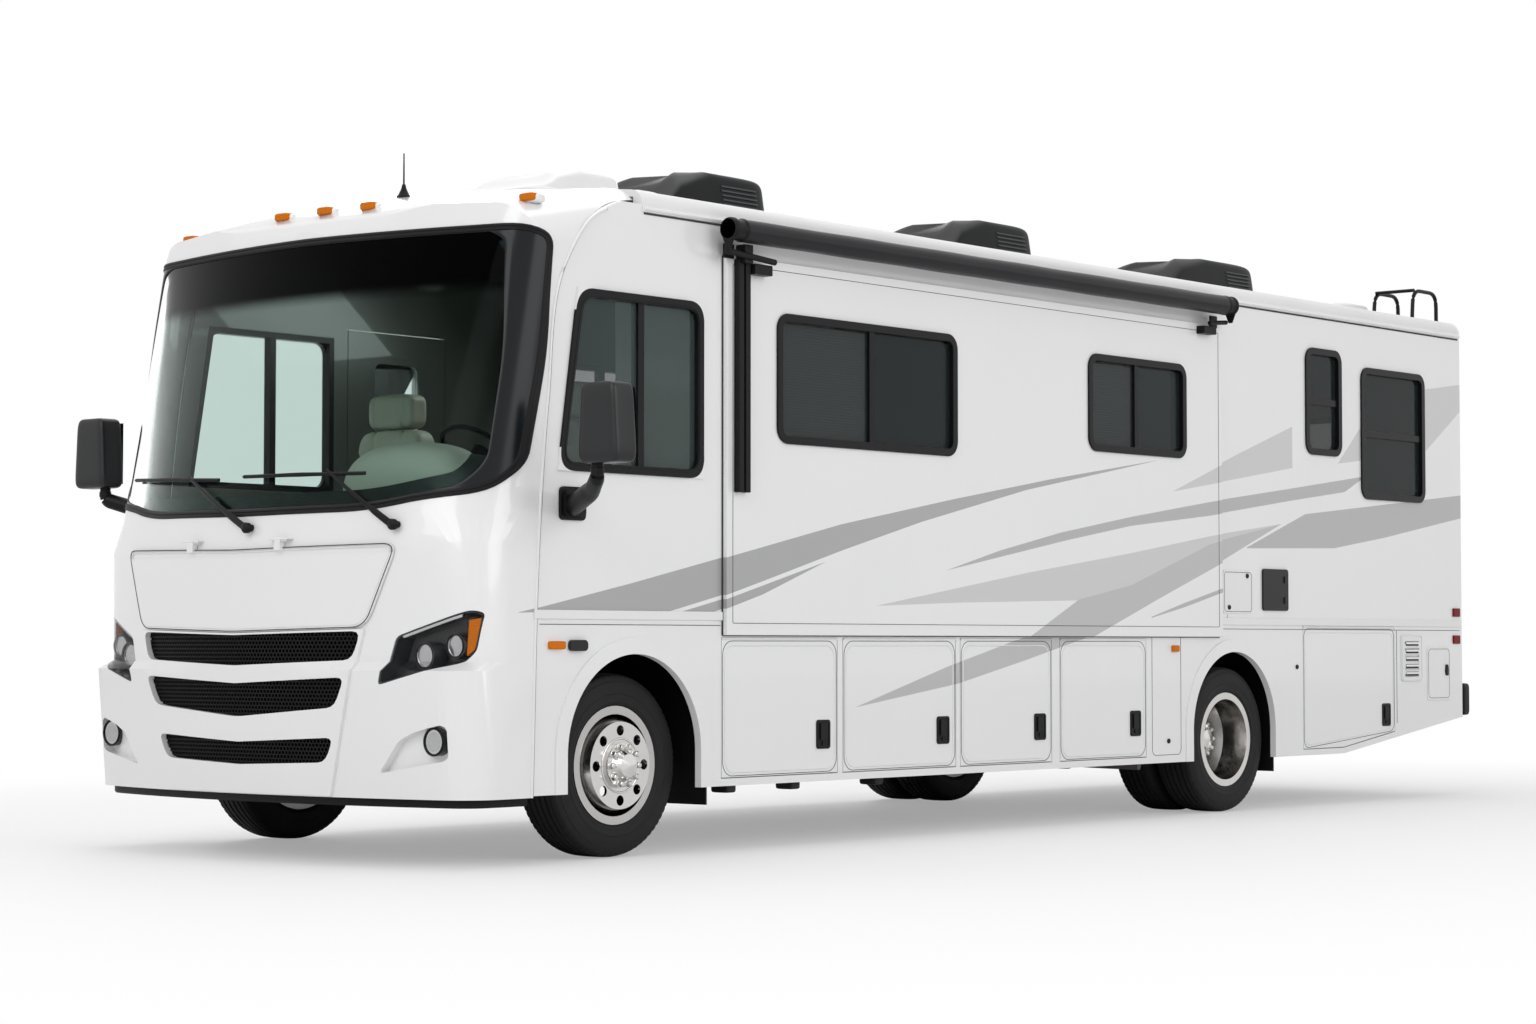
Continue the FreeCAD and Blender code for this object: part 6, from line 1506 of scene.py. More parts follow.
@dataclass
class Windscreen:
    """Curved screen with its sun band, ribbed rubber seal and black lower border."""

    half: Curve = ((0.0, 1.552), (0.750, 1.562), (1.160, 1.640), (1.255, 1.760),
                                             (1.262, 2.300), (1.215, 2.790), (1.120, 2.846), (0.0, 2.858))
    ease: float = 0.150
    count: int = 320
    seal_width: float = 0.036
    reach_z: Tuple[float, ...] = (1.60, 1.76, 2.30, 2.80)
    reach: Tuple[float, ...] = (0.105, 0.125, 0.155, 0.185)
    glass_depth: float = 0.004
    glass_thickness: float = 0.006
    tuck: float = 0.010
    border_proud: float = 0.0022
    border_top: float = 1.80
    border_depth: float = 0.0125

    def round_corner(self, outline: np.ndarray) -> np.ndarray:
        """How much further round the nose's corner each point of the seal lies than the opening's edge.

        The amount is a line of the height, faded in by a smooth step of the distance from the middle.
        """
        t = np.clip((np.abs(outline[:, 0]) - 0.93) / 0.26, 0.0, 1.0)
        return np.interp(outline[:, 1], self.reach_z, self.reach) * t * t * (3.0 - 2.0 * t)

    def outward(self, strip: Shape) -> Shape:
        """The strip with its faces turned away from the vehicle's middle."""
        face = strip.points[list(strip.faces[len(strip.faces) // 2])]
        normal = np.cross(face[1] - face[0], face[2] - face[1])
        away = face.mean(0) - np.array([0.0, -3.0, 2.2])
        return strip if float(normal @ away) > 0.0 else Shape(strip.points, [f[::-1] for f in strip.faces])

    def build(self) -> None:
        """Makes screen, seal and border."""
        outline = even(eased(mirrored_outline(self.half), self.ease), self.count)
        reach = self.round_corner(outline)
        self.seal(outline, reach)
        rim = inset(outline, self.seal_width - 0.004)
        self.side_borders(rim, reach)
        self.glass(rim)
        self.low_border(outline)

    def seal(self, outline: np.ndarray, reach: np.ndarray) -> None:
        """Ribbed rubber profile round the screen, wrapped on past the opening's edge at both corners."""
        w = self.seal_width
        profile = ((0.0, 0.012), (0.0, -0.002), (0.003, -0.0065), (w * 0.3, -0.0075), (w * 0.42, -0.004),
                   (w * 0.5, -0.004), (w * 0.6, -0.0075), (w * 0.78, -0.007), (w * 0.86, -0.003), (w, 0.001),
                   (w, 0.012))
        rows = []
        for across, depth in profile:
            x, z = inset(outline, across).T
            rows.append(wrapped(plan_length(x, z) + np.sign(x) * reach, z, -depth))
        ring = sheet(np.array(rows)[:, ::-1], close_rows=True, close_columns=True)
        piece = make("screen_seal", ring, Paint.RUBBER, smooth=40.0)
        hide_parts("windscreen_gasket")

    def side_borders(self, rim: np.ndarray, reach: np.ndarray) -> None:
        """Dark skins between the glass's edge and the seal, on both corners of the nose."""
        start = plan_length(rim[:, 0], rim[:, 1])
        for sign, word in BOTH_SIDES:
            pick = np.flatnonzero((np.abs(reach) > 0.004) & (np.sign(rim[:, 0]) == sign))
            gap = np.flatnonzero(np.diff(pick) > 1)
            pick = np.roll(pick, -(gap[0] + 1)) if len(gap) else pick
            along, height = start[pick], rim[pick, 1]
            border = [wrapped(along - sign * self.tuck, height, -self.border_proud)]
            border += [wrapped(along + sign * reach[pick] * t, height,
                               self.border_proud) for t in np.linspace(0.0, 1.0, 9)]
            make(f"screen_{word}_border", self.outward(sheet(np.array(border))), Paint.SCREEN_EDGE,
                 smooth=60.0)

    def glass(self, rim: np.ndarray) -> None:
        """Curved sheet that stands for the plain one."""
        shares = np.concatenate([np.linspace(1.0, 0.1, 28), [0.02]])
        pane = skin_plate(rim, shares, self.glass_depth, self.glass_thickness)
        piece = make("screen_glass", pane, Paint.SCREEN, smooth=50.0)
        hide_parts("windscreen")

    def low_border(self, outline: np.ndarray) -> None:
        """Black band behind the glass along its lower edge."""
        low = outline[:, 1] < self.border_top
        start = int(np.argmax(~low & np.roll(low, -1))) + 1
        turned = np.roll(outline, -start, 0)
        edges = (self.seal_width - 0.006, self.seal_width + 0.062)
        band = [on_skin(inset(turned, edge)[:int(low.sum())], self.border_depth) for edge in edges]
        make("screen_border", sheet(np.array(band)), Paint.GLOSSY)


@dataclass
class BrowLamps:
    """Domed amber lamps on white bases, over the screen and on the sides."""

    brow: Tuple[Tuple[float, float, float], ...] = ((0.0, -4.128, 3.0), (0.296, -4.128, 2.997),
                                                    (-0.296, -4.128, 2.997),
                                                    (1.165, -3.965, 2.978), (-1.165, -3.965, 2.978))
    sides: Tuple[Tuple[float, float, float], ...] = ((-3.93, 0.971, 0.052), (1.117, 0.951, 0.034))

    def build(self) -> None:
        """Fits the lamps, which stand for the plain ones."""
        domes, bases = [], []
        for x, y, z in self.brow:
            domes.append(soft_block((x - 0.046, y - 0.034, z - 0.019),
                                    (x + 0.046, y + 0.034, z + 0.019), 0.42))
            bases.append(soft_block((x - 0.053, y - 0.018, z - 0.026),
                                    (x + 0.053, y + 0.055, z + 0.017), 0.5))
        for side in (1, -1):
            for y, z, half in self.sides:
                dome = soft_block((1.290, y - half, z - 0.019), (1.317, y + half, z + 0.019), 0.35)
                base = soft_block((1.288, y - half - 0.003, z - 0.0215),
                                  (1.300, y + half + 0.003, z + 0.0215), 0.3)
                domes.append(dome.on_side(side))
                bases.append(base.on_side(side))
        piece = make("marker_domes", merged(domes), Paint.AMBER, smooth=60.0)
        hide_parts("marker_lamps")
        make("marker_bases", merged(bases), Paint.WHITE, smooth=60.0)


@dataclass
class Grilles:
    """Dark backs of the three openings and the black strip under the nose."""

    ease: float = 0.045
    back_depth: float = 0.030
    strip_half: float = 1.64
    strip_heights: Pair = (0.262, 0.306)

    def back(self, half: Sequence[Pair]) -> Shape:
        """Plate behind an opening."""
        outline = inset(even(eased(mirrored_outline(half), self.ease), 96), -0.004)
        return skin_plate(outline, np.linspace(1.0, 0.04, 8), self.back_depth, 0.006)

    def build(self) -> None:
        """Makes plates and strip, which stand for the plain ones."""
        shapes = [self.back(half) for half in GrilleMesh().openings]
        z0, z1 = self.strip_heights
        along = np.linspace(-self.strip_half, self.strip_half, 81)
        ring = ((0.044, z1), (0.044, z0 + 0.008), (0.052, z0), (0.09, z0), (0.09, z1))
        rows = np.array([wrapped(along, np.full_like(along, z), -depth, 0.301) for depth, z in ring])
        shapes.append(sheet(rows.transpose(1, 0, 2), close_columns=True, caps=True))
        piece = make("grille_backs", merged(shapes), Paint.RUBBER)
        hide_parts("grilles")


@dataclass
class Mirrors:
    """Tapered mirror heads on bent arms with square feet."""

    low: Point = (1.606, -4.148, 1.757)
    high: Point = (1.882, -4.022, 2.109)
    foot: Tuple[float, float, float, float] = (-3.911, -3.747, 1.529, 1.679)
    taper_up: float = 0.09
    taper_fore: float = 0.07

    def head(self) -> Shape:
        """Rounded block that narrows upwards and towards the front by shares of its height and depth."""
        shape = soft_block(self.low, self.high, 0.24, 48, 72)
        points = shape.points.copy()
        middle = (np.array(self.low) + np.array(self.high)) / 2.0
        half = (np.array(self.high) - np.array(self.low)) / 2.0
        up = (points[:, 2] - middle[2]) / half[2]
        fore = (middle[1] - points[:, 1]) / half[1]
        narrow = (1.0 - self.taper_up * (up + 1.0)) * (1.0 - self.taper_fore * (fore + 1.0))
        points[:, 0] = middle[0] + (points[:, 0] - middle[0]) * narrow
        return Shape(points, shape.faces)

    def build(self) -> None:
        """Makes both mirrors."""
        y0, y1, z0, z1 = self.foot
        neck = tube([(1.690, -4.08, 1.80), (1.690, -4.08, 1.742), (1.690, -4.08, 1.738),
                     (1.690, -4.08, 1.715)],
                    [0.024, 0.024, 0.030, 0.030], 20)
        path = rounded_path([(1.690, -4.08, 1.745), (1.690, -4.08, 1.695), (1.56, -3.975, 1.65),
                             (1.315, -3.84, 1.598)], 0.04)
        arm = tube(path, np.linspace(0.026, 0.042, len(path)), 20)
        arm.points[:, 2] = 1.65 + (arm.points[:, 2] - 1.65) * 1.12
        outline = rounded_outline(y0, y1, z0, z1, 0.024)
        plate = prism(outline, 0, 1.290, 1.309)
        inner = prism(rounded_outline(y0 + 0.016, y1 - 0.016, z0 + 0.016, z1 - 0.016, 0.018), 0, 1.300, 1.326)
        for side, word in BOTH_SIDES:
            piece = make(f"{word}_mirror_head", self.head().on_side(side), Paint.SHELL, smooth=60.0)
            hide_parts("mirrors")
            parts = merged([neck, arm, plate, inner])
            piece = make(f"{word}_mirror_arm", parts.on_side(side), Paint.PLASTIC, smooth=40.0)
            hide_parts("mirrors")


@dataclass
class Wipers:
    """Two wipers: domed pivots, tapered arms, and blades on small yokes."""

    pivots: Curve = ((0.900, 1.500), (0.090, 1.500))
    elbows: Curve = ((0.500, 1.752), (-0.430, 1.748))
    blades: Tuple[Tuple[Pair, Pair], ...] = (
        ((-0.020, 1.737), (0.707, 1.732)), ((-1.000, 1.760), (-0.192, 1.728)))

    def path(self, start: Pair, end: Pair, lifts: np.ndarray) -> np.ndarray:
        """Line from one place on the nose to another, at given distances in front of the skin."""
        share = np.linspace(0.0, 1.0, len(lifts))[:, None]
        return on_skin(np.array(start) + (np.array(end) - np.array(start)) * share, -lifts)

    def flat_bar(self, path: np.ndarray, half: Sequence[float], thick: float) -> Shape:
        """Bar of a flat rounded section: an oval at each point, across the path and away from the nose."""
        way = np.gradient(path, axis=0)
        way /= np.linalg.norm(way, axis=1)[:, None]
        out = np.cross(way, [0.0, 1.0, 0.0])
        out /= np.linalg.norm(out, axis=1)[:, None]
        turn = turns(12)
        across = np.array(half)[:, None, None] * np.cos(turn)[None, :, None] * out[:, None]
        fore = thick * np.sin(turn)[None, :, None] * np.array(ALONG)
        return sheet((path[:, None] + across + fore)[:, ::-1], close_columns=True, caps=True)

    def build(self) -> None:
        """Makes the wipers in place of their plain forms."""
        parts = []
        for pivot, elbow, (start, end) in zip(self.pivots, self.elbows, self.blades):
            front = skin_at(*pivot)
            cap = [(0.002, 0.016), (-0.018, 0.017), (-0.020, 0.024), (-0.040, 0.025), (-0.047, 0.019),
                   (-0.049, 0.008)]
            parts.append(lathe(cap, (pivot[0], front, pivot[1]), ALONG, 28))
            lifts = np.interp(np.linspace(0.0, 1.0, 24), [0.0, 0.15, 1.0], [0.040, 0.036, 0.026])
            path = self.path(pivot, elbow, lifts)
            parts.append(self.flat_bar(path, np.interp(np.linspace(0.0, 1.0, 24), [0.0, 0.25, 0.3, 1.0],
                                                       [0.018, 0.0165, 0.0125, 0.0065]), 0.006))
            blade = self.path(start, end, np.full(30, 0.0165))
            parts.append(self.flat_bar(blade, np.full(30, 0.0085), 0.0035))
            spine = self.path(start, end, 0.021 + 0.007 * np.sin(np.linspace(0.0, math.pi, 30)))
            parts.append(self.flat_bar(spine, np.interp(np.linspace(0.0, 1.0, 30), [0.0, 0.5, 1.0],
                                                        [0.005, 0.010, 0.005]), 0.004))
        piece = make("wiper_set", merged(parts), Paint.PLASTIC, smooth=50.0)
        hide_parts("wipers")


@dataclass
class HoodLine:
    """Dark joint round the raised lid on the nose, and a fine white bead inside it."""

    half: Curve = ((0.0, 1.405), (0.921, 1.422), (0.765, 1.048), (0.0, 1.030))
    ease: float = 0.070
    proud: float = 0.0168

    def build(self) -> None:
        """Lays the joint on the lid's skin."""
        outline = even(eased(mirrored_outline(self.half), self.ease), 260)
        for name, amount, radius, paint in (("hood_joint", 0.004, 0.0024, Paint.SEAM_SHADOW),
                                            ("hood_bead", 0.015, 0.0022, Paint.WHITE)):
            path = on_skin(inset(outline, amount), -self.proud)
            make(name, bead(path, radius, ALONG), paint, "hood", smooth=80.0)


@dataclass
class Underside:
    """Brackets and pipe below the skirts, the rear beam, the bumper's corner pieces and the aerial's foot."""

    bracket_places: Tuple[float, ...] = (-2.66, -2.18, -1.52)
    bracket_low: Point = (1.13, -0.035, 0.270)
    bracket_high: Point = (1.24, 0.035, 0.330)
    beam: Tuple[Tuple[Point, Point], ...] = (((0.92, 2.56, 0.405), (1.06, 3.02, 0.450)),
                                             ((0.96, 2.92, 0.44), (1.02, 2.98, 0.56)),
                                             ((0.96, 2.60, 0.44), (1.02, 2.66, 0.56)))
    pipe: Tuple[Point, ...] = ((0.60, 0.10, 0.42), (0.60, 0.55, 0.330), (0.98, 0.86, 0.300),
                               (1.20, 0.90, 0.296))
    pipe_bend: float = 0.12
    pipe_radius: float = 0.027
    bumper_end: Tuple[Point, Point] = ((1.13, 4.602, 0.514), (1.287, 4.682, 0.722))
    aerial: Point = (0.150, -3.780, 3.086)
    aerial_profile: Curve = ((0.0, 0.036), (0.008, 0.034), (0.016, 0.026), (0.045, 0.013), (0.066, 0.008))

    def build(self) -> None:
        """Fits the small parts."""
        bracket = soft_block(self.bracket_low, self.bracket_high, 0.3)
        parts = [bracket.moved((0.0, y, 0.0)) for y in self.bracket_places]
        parts += [part.mirrored() for part in parts]
        parts += [block(low, high) for low, high in self.beam]
        cone = lathe(self.aerial_profile, self.aerial, UPWARD, 28)
        make("aerial_foot", cone, Paint.RUBBER, smooth=50.0)
        make("underbody_brackets", merged(parts), Paint.FRAME, bevel=0.004, smooth=40.0)
        pipe = tube(rounded_path(self.pipe, self.pipe_bend), self.pipe_radius, 20)
        make("side_outlet_pipe", pipe, Paint.STEEL, smooth=50.0)
        end = soft_block(*self.bumper_end, 0.22, 32, 48)
        make("bumper_ends", merged([end, end.mirrored()]), Paint.PLASTIC, smooth=60.0)


# Sides


@dataclass
class DoorDetails:
    """Black pull handles, locks and inner beads of the basement doors."""

    face_x: float = 1.295
    plate_x: float = 1.300
    handle_z: Pair = (0.465, 0.607)
    handle_inset: float = 0.060
    handle_width: float = 0.110
    low_z: float = 0.348
    top_z: float = 0.990
    bead_inset: float = 0.022
    bead_radius: float = 0.0035
    groove_inset: float = 0.006
    groove_radius: float = 0.0017
    corner: float = 0.062
    rear_corner: float = 0.05
    rear_low: float = 0.432
    rear_top: float = 1.068
    slope_from: float = 3.026
    left: Curve = ((-2.800, -1.933), (-1.884, -0.957), (-0.912, -0.094), (-0.012, 0.827))
    right: Curve = ((-2.060, -1.100), (-1.050, -0.100), (-0.050, 0.900))
    rear: Pair = (2.547, 3.661)

    def handle(self, y1: float) -> Shape:
        """Plate with rounded corners, a hollow and a raised paddle."""
        far, near = y1 - self.handle_inset, y1 - self.handle_inset - self.handle_width
        low, high = self.handle_z
        x = self.plate_x
        outer = np.array(rounded_outline(near, far, low, high, 0.016))
        inner = np.array(rounded_outline(near + 0.012, far - 0.012, low + 0.012, high - 0.012, 0.010))
        rows = [np.insert(outer, 0, x - 0.001, 1), np.insert(outer, 0, x + 0.003, 1),
                np.insert(inner, 0, x + 0.005, 1),
                np.insert(inner, 0, x + 0.0012, 1)]
        frame_shape = sheet(np.array(rows)[:, ::-1], close_columns=True, caps=True)
        middle = (near + far) / 2.0
        paddle = block((x + 0.0012, middle - 0.026, low + 0.045), (x + 0.009, middle + 0.026, high - 0.018))
        lock = lathe([(0.0, 0.011), (0.005, 0.011), (0.006, 0.009), (0.0045, 0.0075), (0.0045, 0.001)],
                     (x + 0.001, middle, low + 0.028), ACROSS, 20)
        return merged([frame_shape, paddle, lock])

    def edge(self, outline: Sequence[Pair], radius: float) -> Shape:
        """Ridge or groove that follows the door's edge, half sunk in the face."""
        return bead(np.insert(np.array(outline, float), 0, self.face_x + 0.0002, 1), radius, ACROSS)

    def sloped(self, y0: float, y1: float, z_low0: float, z_low1: float, z_high: float,
               radius: float) -> List[Pair]:
        """Rounded outline whose lower edge rises in a straight line towards the rear."""
        points = np.array(rounded_outline(y0, y1, z_low0, z_high, radius))
        lift = np.clip((points[:, 0] - self.slope_from) / (y1 - self.slope_from), 0.0,
                       1.0) * (z_low1 - z_low0)
        share = np.clip((z_high - points[:, 1]) / (z_high - z_low0), 0.0, 1.0)
        points[:, 1] += lift * share
        return [tuple(p) for p in points.tolist()]

    def build(self) -> None:
        """Fits every door."""
        low, top, inner, outer = self.low_z, self.top_z, self.bead_inset, self.groove_inset
        for side, spans, word in ((1, self.left, "left"), (-1, self.right, "right")):
            for index, (y0, y1) in enumerate(spans, 1):
                ridge = rounded_outline(y0 + inner, y1 - inner, low + inner, top - inner, self.corner, 10)
                gap = rounded_outline(y0 + outer, y1 - outer, low + outer, top + 0.001,
                                      self.corner + outer, 10)
                self.fit(f"{word}_bay_{index}", side, y1, ridge, gap)
        (y0, y1), rear_low, rear_top, corner = self.rear, self.rear_low, self.rear_top, self.rear_corner
        ridge = self.sloped(y0 + inner, y1 - inner, low + inner, rear_low + inner, rear_top - inner, corner)
        gap = self.sloped(y0 + outer, y1 - outer, low + outer, rear_low + outer, rear_top + 0.001, corner)
        self.fit("rear_bay", 1, y1, ridge, gap)

    def fit(self, body: str, side: int, y1: float, ridge: Sequence[Pair], gap: Sequence[Pair]) -> None:
        """Makes one door's handle, raised bead and dark groove."""
        make(f"{body}_handle", self.handle(y1).on_side(side), Paint.PLASTIC, body, bevel=0.0012)
        make(f"{body}_bead", self.edge(ridge, self.bead_radius).on_side(side), Paint.WHITE, body, smooth=80.0)
        make(f"{body}_groove", self.edge(gap, self.groove_radius).on_side(side), Paint.SEAM_SHADOW, body,
             smooth=80.0)


@dataclass
class SideTrim:
    """Seams, locks and hinges of the left side's fixed panels and hatches, and its louvre.

    A panel is given by its first and last place along the side, lowest and highest place and corner radius.
    """

    face_x: float = 1.2952
    proud_x: float = 0.005
    panel: Tuple[float, ...] = (0.890, 1.187, 0.352, 1.070, 0.035)
    small_door: Tuple[float, ...] = (4.100, 4.377, 0.632, 0.945, 0.03)
    white_hatch: Tuple[float, ...] = (1.652, 1.951, 1.166, 1.395, 0.02)
    hatch: Tuple[float, ...] = (2.085, 2.349, 1.186, 1.409)
    louvre: Tuple[float, ...] = (3.745, 4.006, 0.742, 1.035)
    lock_profile: Curve = ((0.0, 0.014), (0.006, 0.014), (0.008, 0.011), (0.0065, 0.009), (0.0065, 0.001))
    locks: Curve = ((1.055, 0.43), (2.47, 0.84))
    proud_locks: Curve = ((1.700, 1.190), (1.900, 1.375), (4.33, 0.80))
    lever: Curve = ((4.325, 0.775), (4.350, 0.775), (4.352, 0.815), (4.345, 0.845), (4.325, 0.845),
                    (4.318, 0.81))
    slot_count: int = 5
    slot_share: float = 6.2

    def groove(self, panel: Sequence[float]) -> Shape:
        """Dark fine line round a panel of the side."""
        outline = rounded_outline(*panel)
        return tube([(self.face_x, y, z) for y, z in outline + outline[:1]], 0.0016, 6)

    def build(self) -> None:
        """Fits the coach's left side."""
        out = (self.proud_x, 0.0, 0.0)
        grooves = [self.groove(self.panel), self.groove(self.small_door).moved(out),
                   self.groove(self.white_hatch).moved(out)]
        make("left_seams", merged(grooves), Paint.SEAM_SHADOW, smooth=80.0)
        lock = lathe(self.lock_profile, (self.face_x, 0.0, 0.0), ACROSS, 20)
        catches = [lock.moved((0.0, y, z)) for y, z in self.locks]
        catches += [lock.moved((self.proud_x, y, z)) for y, z in self.proud_locks]
        _, y1, z0, z1 = self.hatch
        hinge_y, lid_x = y1 - 0.03, self.face_x + 0.012
        for low, high in ((z0 + 0.03, z0 + 0.07), (z1 - 0.07, z1 - 0.03)):
            catches.append(block((lid_x, hinge_y - 0.012, low), (lid_x + 0.006, hinge_y, high)))
        catches.append(prism(self.lever, 0, self.face_x + 0.004, self.face_x + 0.016))
        make("left_catches", merged(catches), Paint.PLASTIC, bevel=0.001)
        self.louvres()

    def louvres(self) -> None:
        """Dark plates in the slots as painted shade of the openings, the white lips that hang over them and a
        raised rim.
        """
        y0, y1, z0, z1 = self.louvre
        slots, lips = [], []
        for step in range(1, self.slot_count + 1):
            z = z0 + (z1 - z0) * step / self.slot_share
            # dark plate between the lips: painted shade inside the slot
            slots.append(block((1.2995, y0 + 0.05, z - 0.013), (1.3076, y1 - 0.05, z + 0.013)))
            lip = [(1.300, z + 0.010), (1.3115, z + 0.010), (1.3125, z - 0.002), (1.3095, z + 0.003),
                   (1.300, z + 0.016)]
            lips.append(prism(lip, 1, y0 + 0.046, y1 - 0.046))
        make("louvre_slot_shade", merged(slots), Paint.SEAM_SHADOW)
        make("louvre_lips", merged(lips), Paint.WHITE)
        rim = rounded_outline(y0 + 0.004, y1 - 0.004, z0 + 0.004, z1 - 0.004, 0.03, 8)
        ring = tube([(1.3078, y, z) for y, z in rim + rim[:1]], 0.0022, 8)
        make("louvre_rim", ring, Paint.WHITE, smooth=80.0)


@dataclass
class Seams:
    """Joints of the coachwork as fine dark lines, with the cap's raised edge; the lines along the belt
    moulding, the line under the gutter rail and the line round the slide-out room are painted shadow.
    """

    face_x: float = 1.2952
    cap: Curve = ((-3.363, 3.023), (-3.700, 2.895), (-3.868, 2.671), (-3.974, 2.059),
                                            (-4.023, 1.525), (-4.068, 0.300))

    def line(self, points: Sequence[Pair], x: float, radius: float = 0.0018) -> Shape:
        """Thin bar along a side at one distance from the middle."""
        return tube([(x, y, z) for y, z in points], radius, 6)

    def cap_path(self) -> np.ndarray:
        """Curve through the cap's edge points: both coordinates are cubics of the distance along them."""
        corner = np.array(self.cap)
        along = np.concatenate([[0.0], np.cumsum(np.linalg.norm(np.diff(corner, axis=0), axis=1))])
        wanted = np.linspace(0.0, along[-1], 90)
        slope = np.gradient(corner, along, axis=0)
        low = np.clip(np.searchsorted(along, wanted, "right") - 1, 0, len(along) - 2)
        run = (along[low + 1] - along[low])[:, None]
        t = ((wanted - along[low])[:, None]) / run
        return ((1 + 2 * t) * (1 - t) ** 2 * corner[low] + t * (1 - t) ** 2 * run * slope[low]
                + t * t * (3 - 2 * t) * corner[low + 1] + t * t * (t - 1) * run * slope[low + 1])

    def build(self) -> None:
        """Lines of both sides, the slide-out room and the doors."""
        x = self.face_x
        path = self.cap_path()
        cap = path[path[:, 1] < 2.96]
        bead = [self.line(cap + np.array([-0.010, 0.0]), x, 0.008),
                self.line([(-3.36, 2.979), (4.535, 2.979)], 1.3052, 0.010)]
        # the cap line is a real seam; the gutter and belt lines are painted shadow of the rail and the
        # moulding
        shared = [self.line(cap, x, 0.0022), self.line([(-3.35, 2.9585), (4.53, 2.9585)], 1.297, 0.0045),
                  self.line([(1.61, 1.064), (4.53, 1.064)], x),
                  self.line([(-4.03, 1.064), (-2.81, 1.064)], x),
                  self.line([(-4.04, 1.112), (-2.81, 1.112)], x, 0.0014),
                  self.line([(1.61, 1.112), (4.53, 1.112)], x, 0.0014)]
        left = shared + [self.line([(3.693, 0.48), (3.693, 1.06)], x),
                         self.line([(1.69, 1.12), (1.69, 1.15)], x, 0.001)]
        # dark line round the slide-out room: painted shadow of its proud fascia
        edge = rounded_outline(-2.799, 1.599, 1.017, 2.818, 0.004, 2)
        room = self.line(edge + edge[:1], 1.2985, 0.0042)
        right = shared + [self.line([(-2.10, 1.064), (1.61, 1.064)], x),
                          self.line([(-2.10, 1.112), (1.61, 1.112)], x, 0.0014)]
        make("left_joints_and_shadows", merged(left), Paint.SEAM_SHADOW, smooth=80.0)
        make("right_joints_and_shadows", merged(right).mirrored(), Paint.SEAM_SHADOW, smooth=80.0)
        make("room_fascia_shadow", room, Paint.SEAM_SHADOW, smooth=80.0)
        for side, word in BOTH_SIDES:
            make(f"{word}_cap_bead", merged(bead).on_side(side), Paint.WHITE, smooth=80.0)
        inner = rounded_outline(-2.755, 1.556, 1.075, 2.775, 0.004, 2)
        make("room_trim_line", self.line(inner + inner[:1], 1.3252, 0.0016), Paint.SEAM_SHADOW, "slide_out",
             smooth=80.0)


@dataclass
class CabWindowCorners:
    """Rounded corners for the cab windows: white outside the frame, black inside it, and a raised bead."""

    span: Tuple[float, float, float, float] = (-3.922, -2.940, 1.750, 2.580)
    rake: float = 0.125
    outer_radius: float = 0.105
    inner_radius: float = 0.075
    frame: float = 0.040
    face_x: float = 1.3072

    def outline(self, amount: float) -> np.ndarray:
        """Four corners of the raked window, moved inwards."""
        y0, y1, z0, z1 = self.span
        return np.array([(y0 + amount, z0 + amount), (y1 - amount, z0 + amount), (y1 - amount, z1 - amount),
                         (y0 + self.rake + amount, z1 - amount)])

    def patches(self, amount: float, radius: float, near: float, far: float) -> Shape:
        """Corner pieces between a sharp corner and the curve that rounds it."""
        corners = self.outline(amount)
        curves = eased(corners, radius, steps=10).reshape(4, -1, 2)
        shapes = []
        for corner, curve in zip(corners, curves):
            shapes.append(prism([tuple(corner)] + [tuple(p) for p in curve], 0, near, far))
        return merged(shapes)

    def build(self) -> None:
        """Fits both cab windows."""
        white = self.patches(-0.0006, self.outer_radius, 1.290, 1.3076)
        black = self.patches(self.frame - 0.001, self.inner_radius, 1.282, 1.3068)
        path = np.insert(even(eased(self.outline(0.030), 0.085), 120), 0, self.face_x, 1)
        line = bead(path, 0.0035, ACROSS, 8)
        for side, word in BOTH_SIDES:
            make(f"{word}_cab_corners", white.on_side(side), Paint.WHITE)
            make(f"{word}_cab_inner_corners", (black + line).on_side(side), Paint.GLOSSY, smooth=50.0)


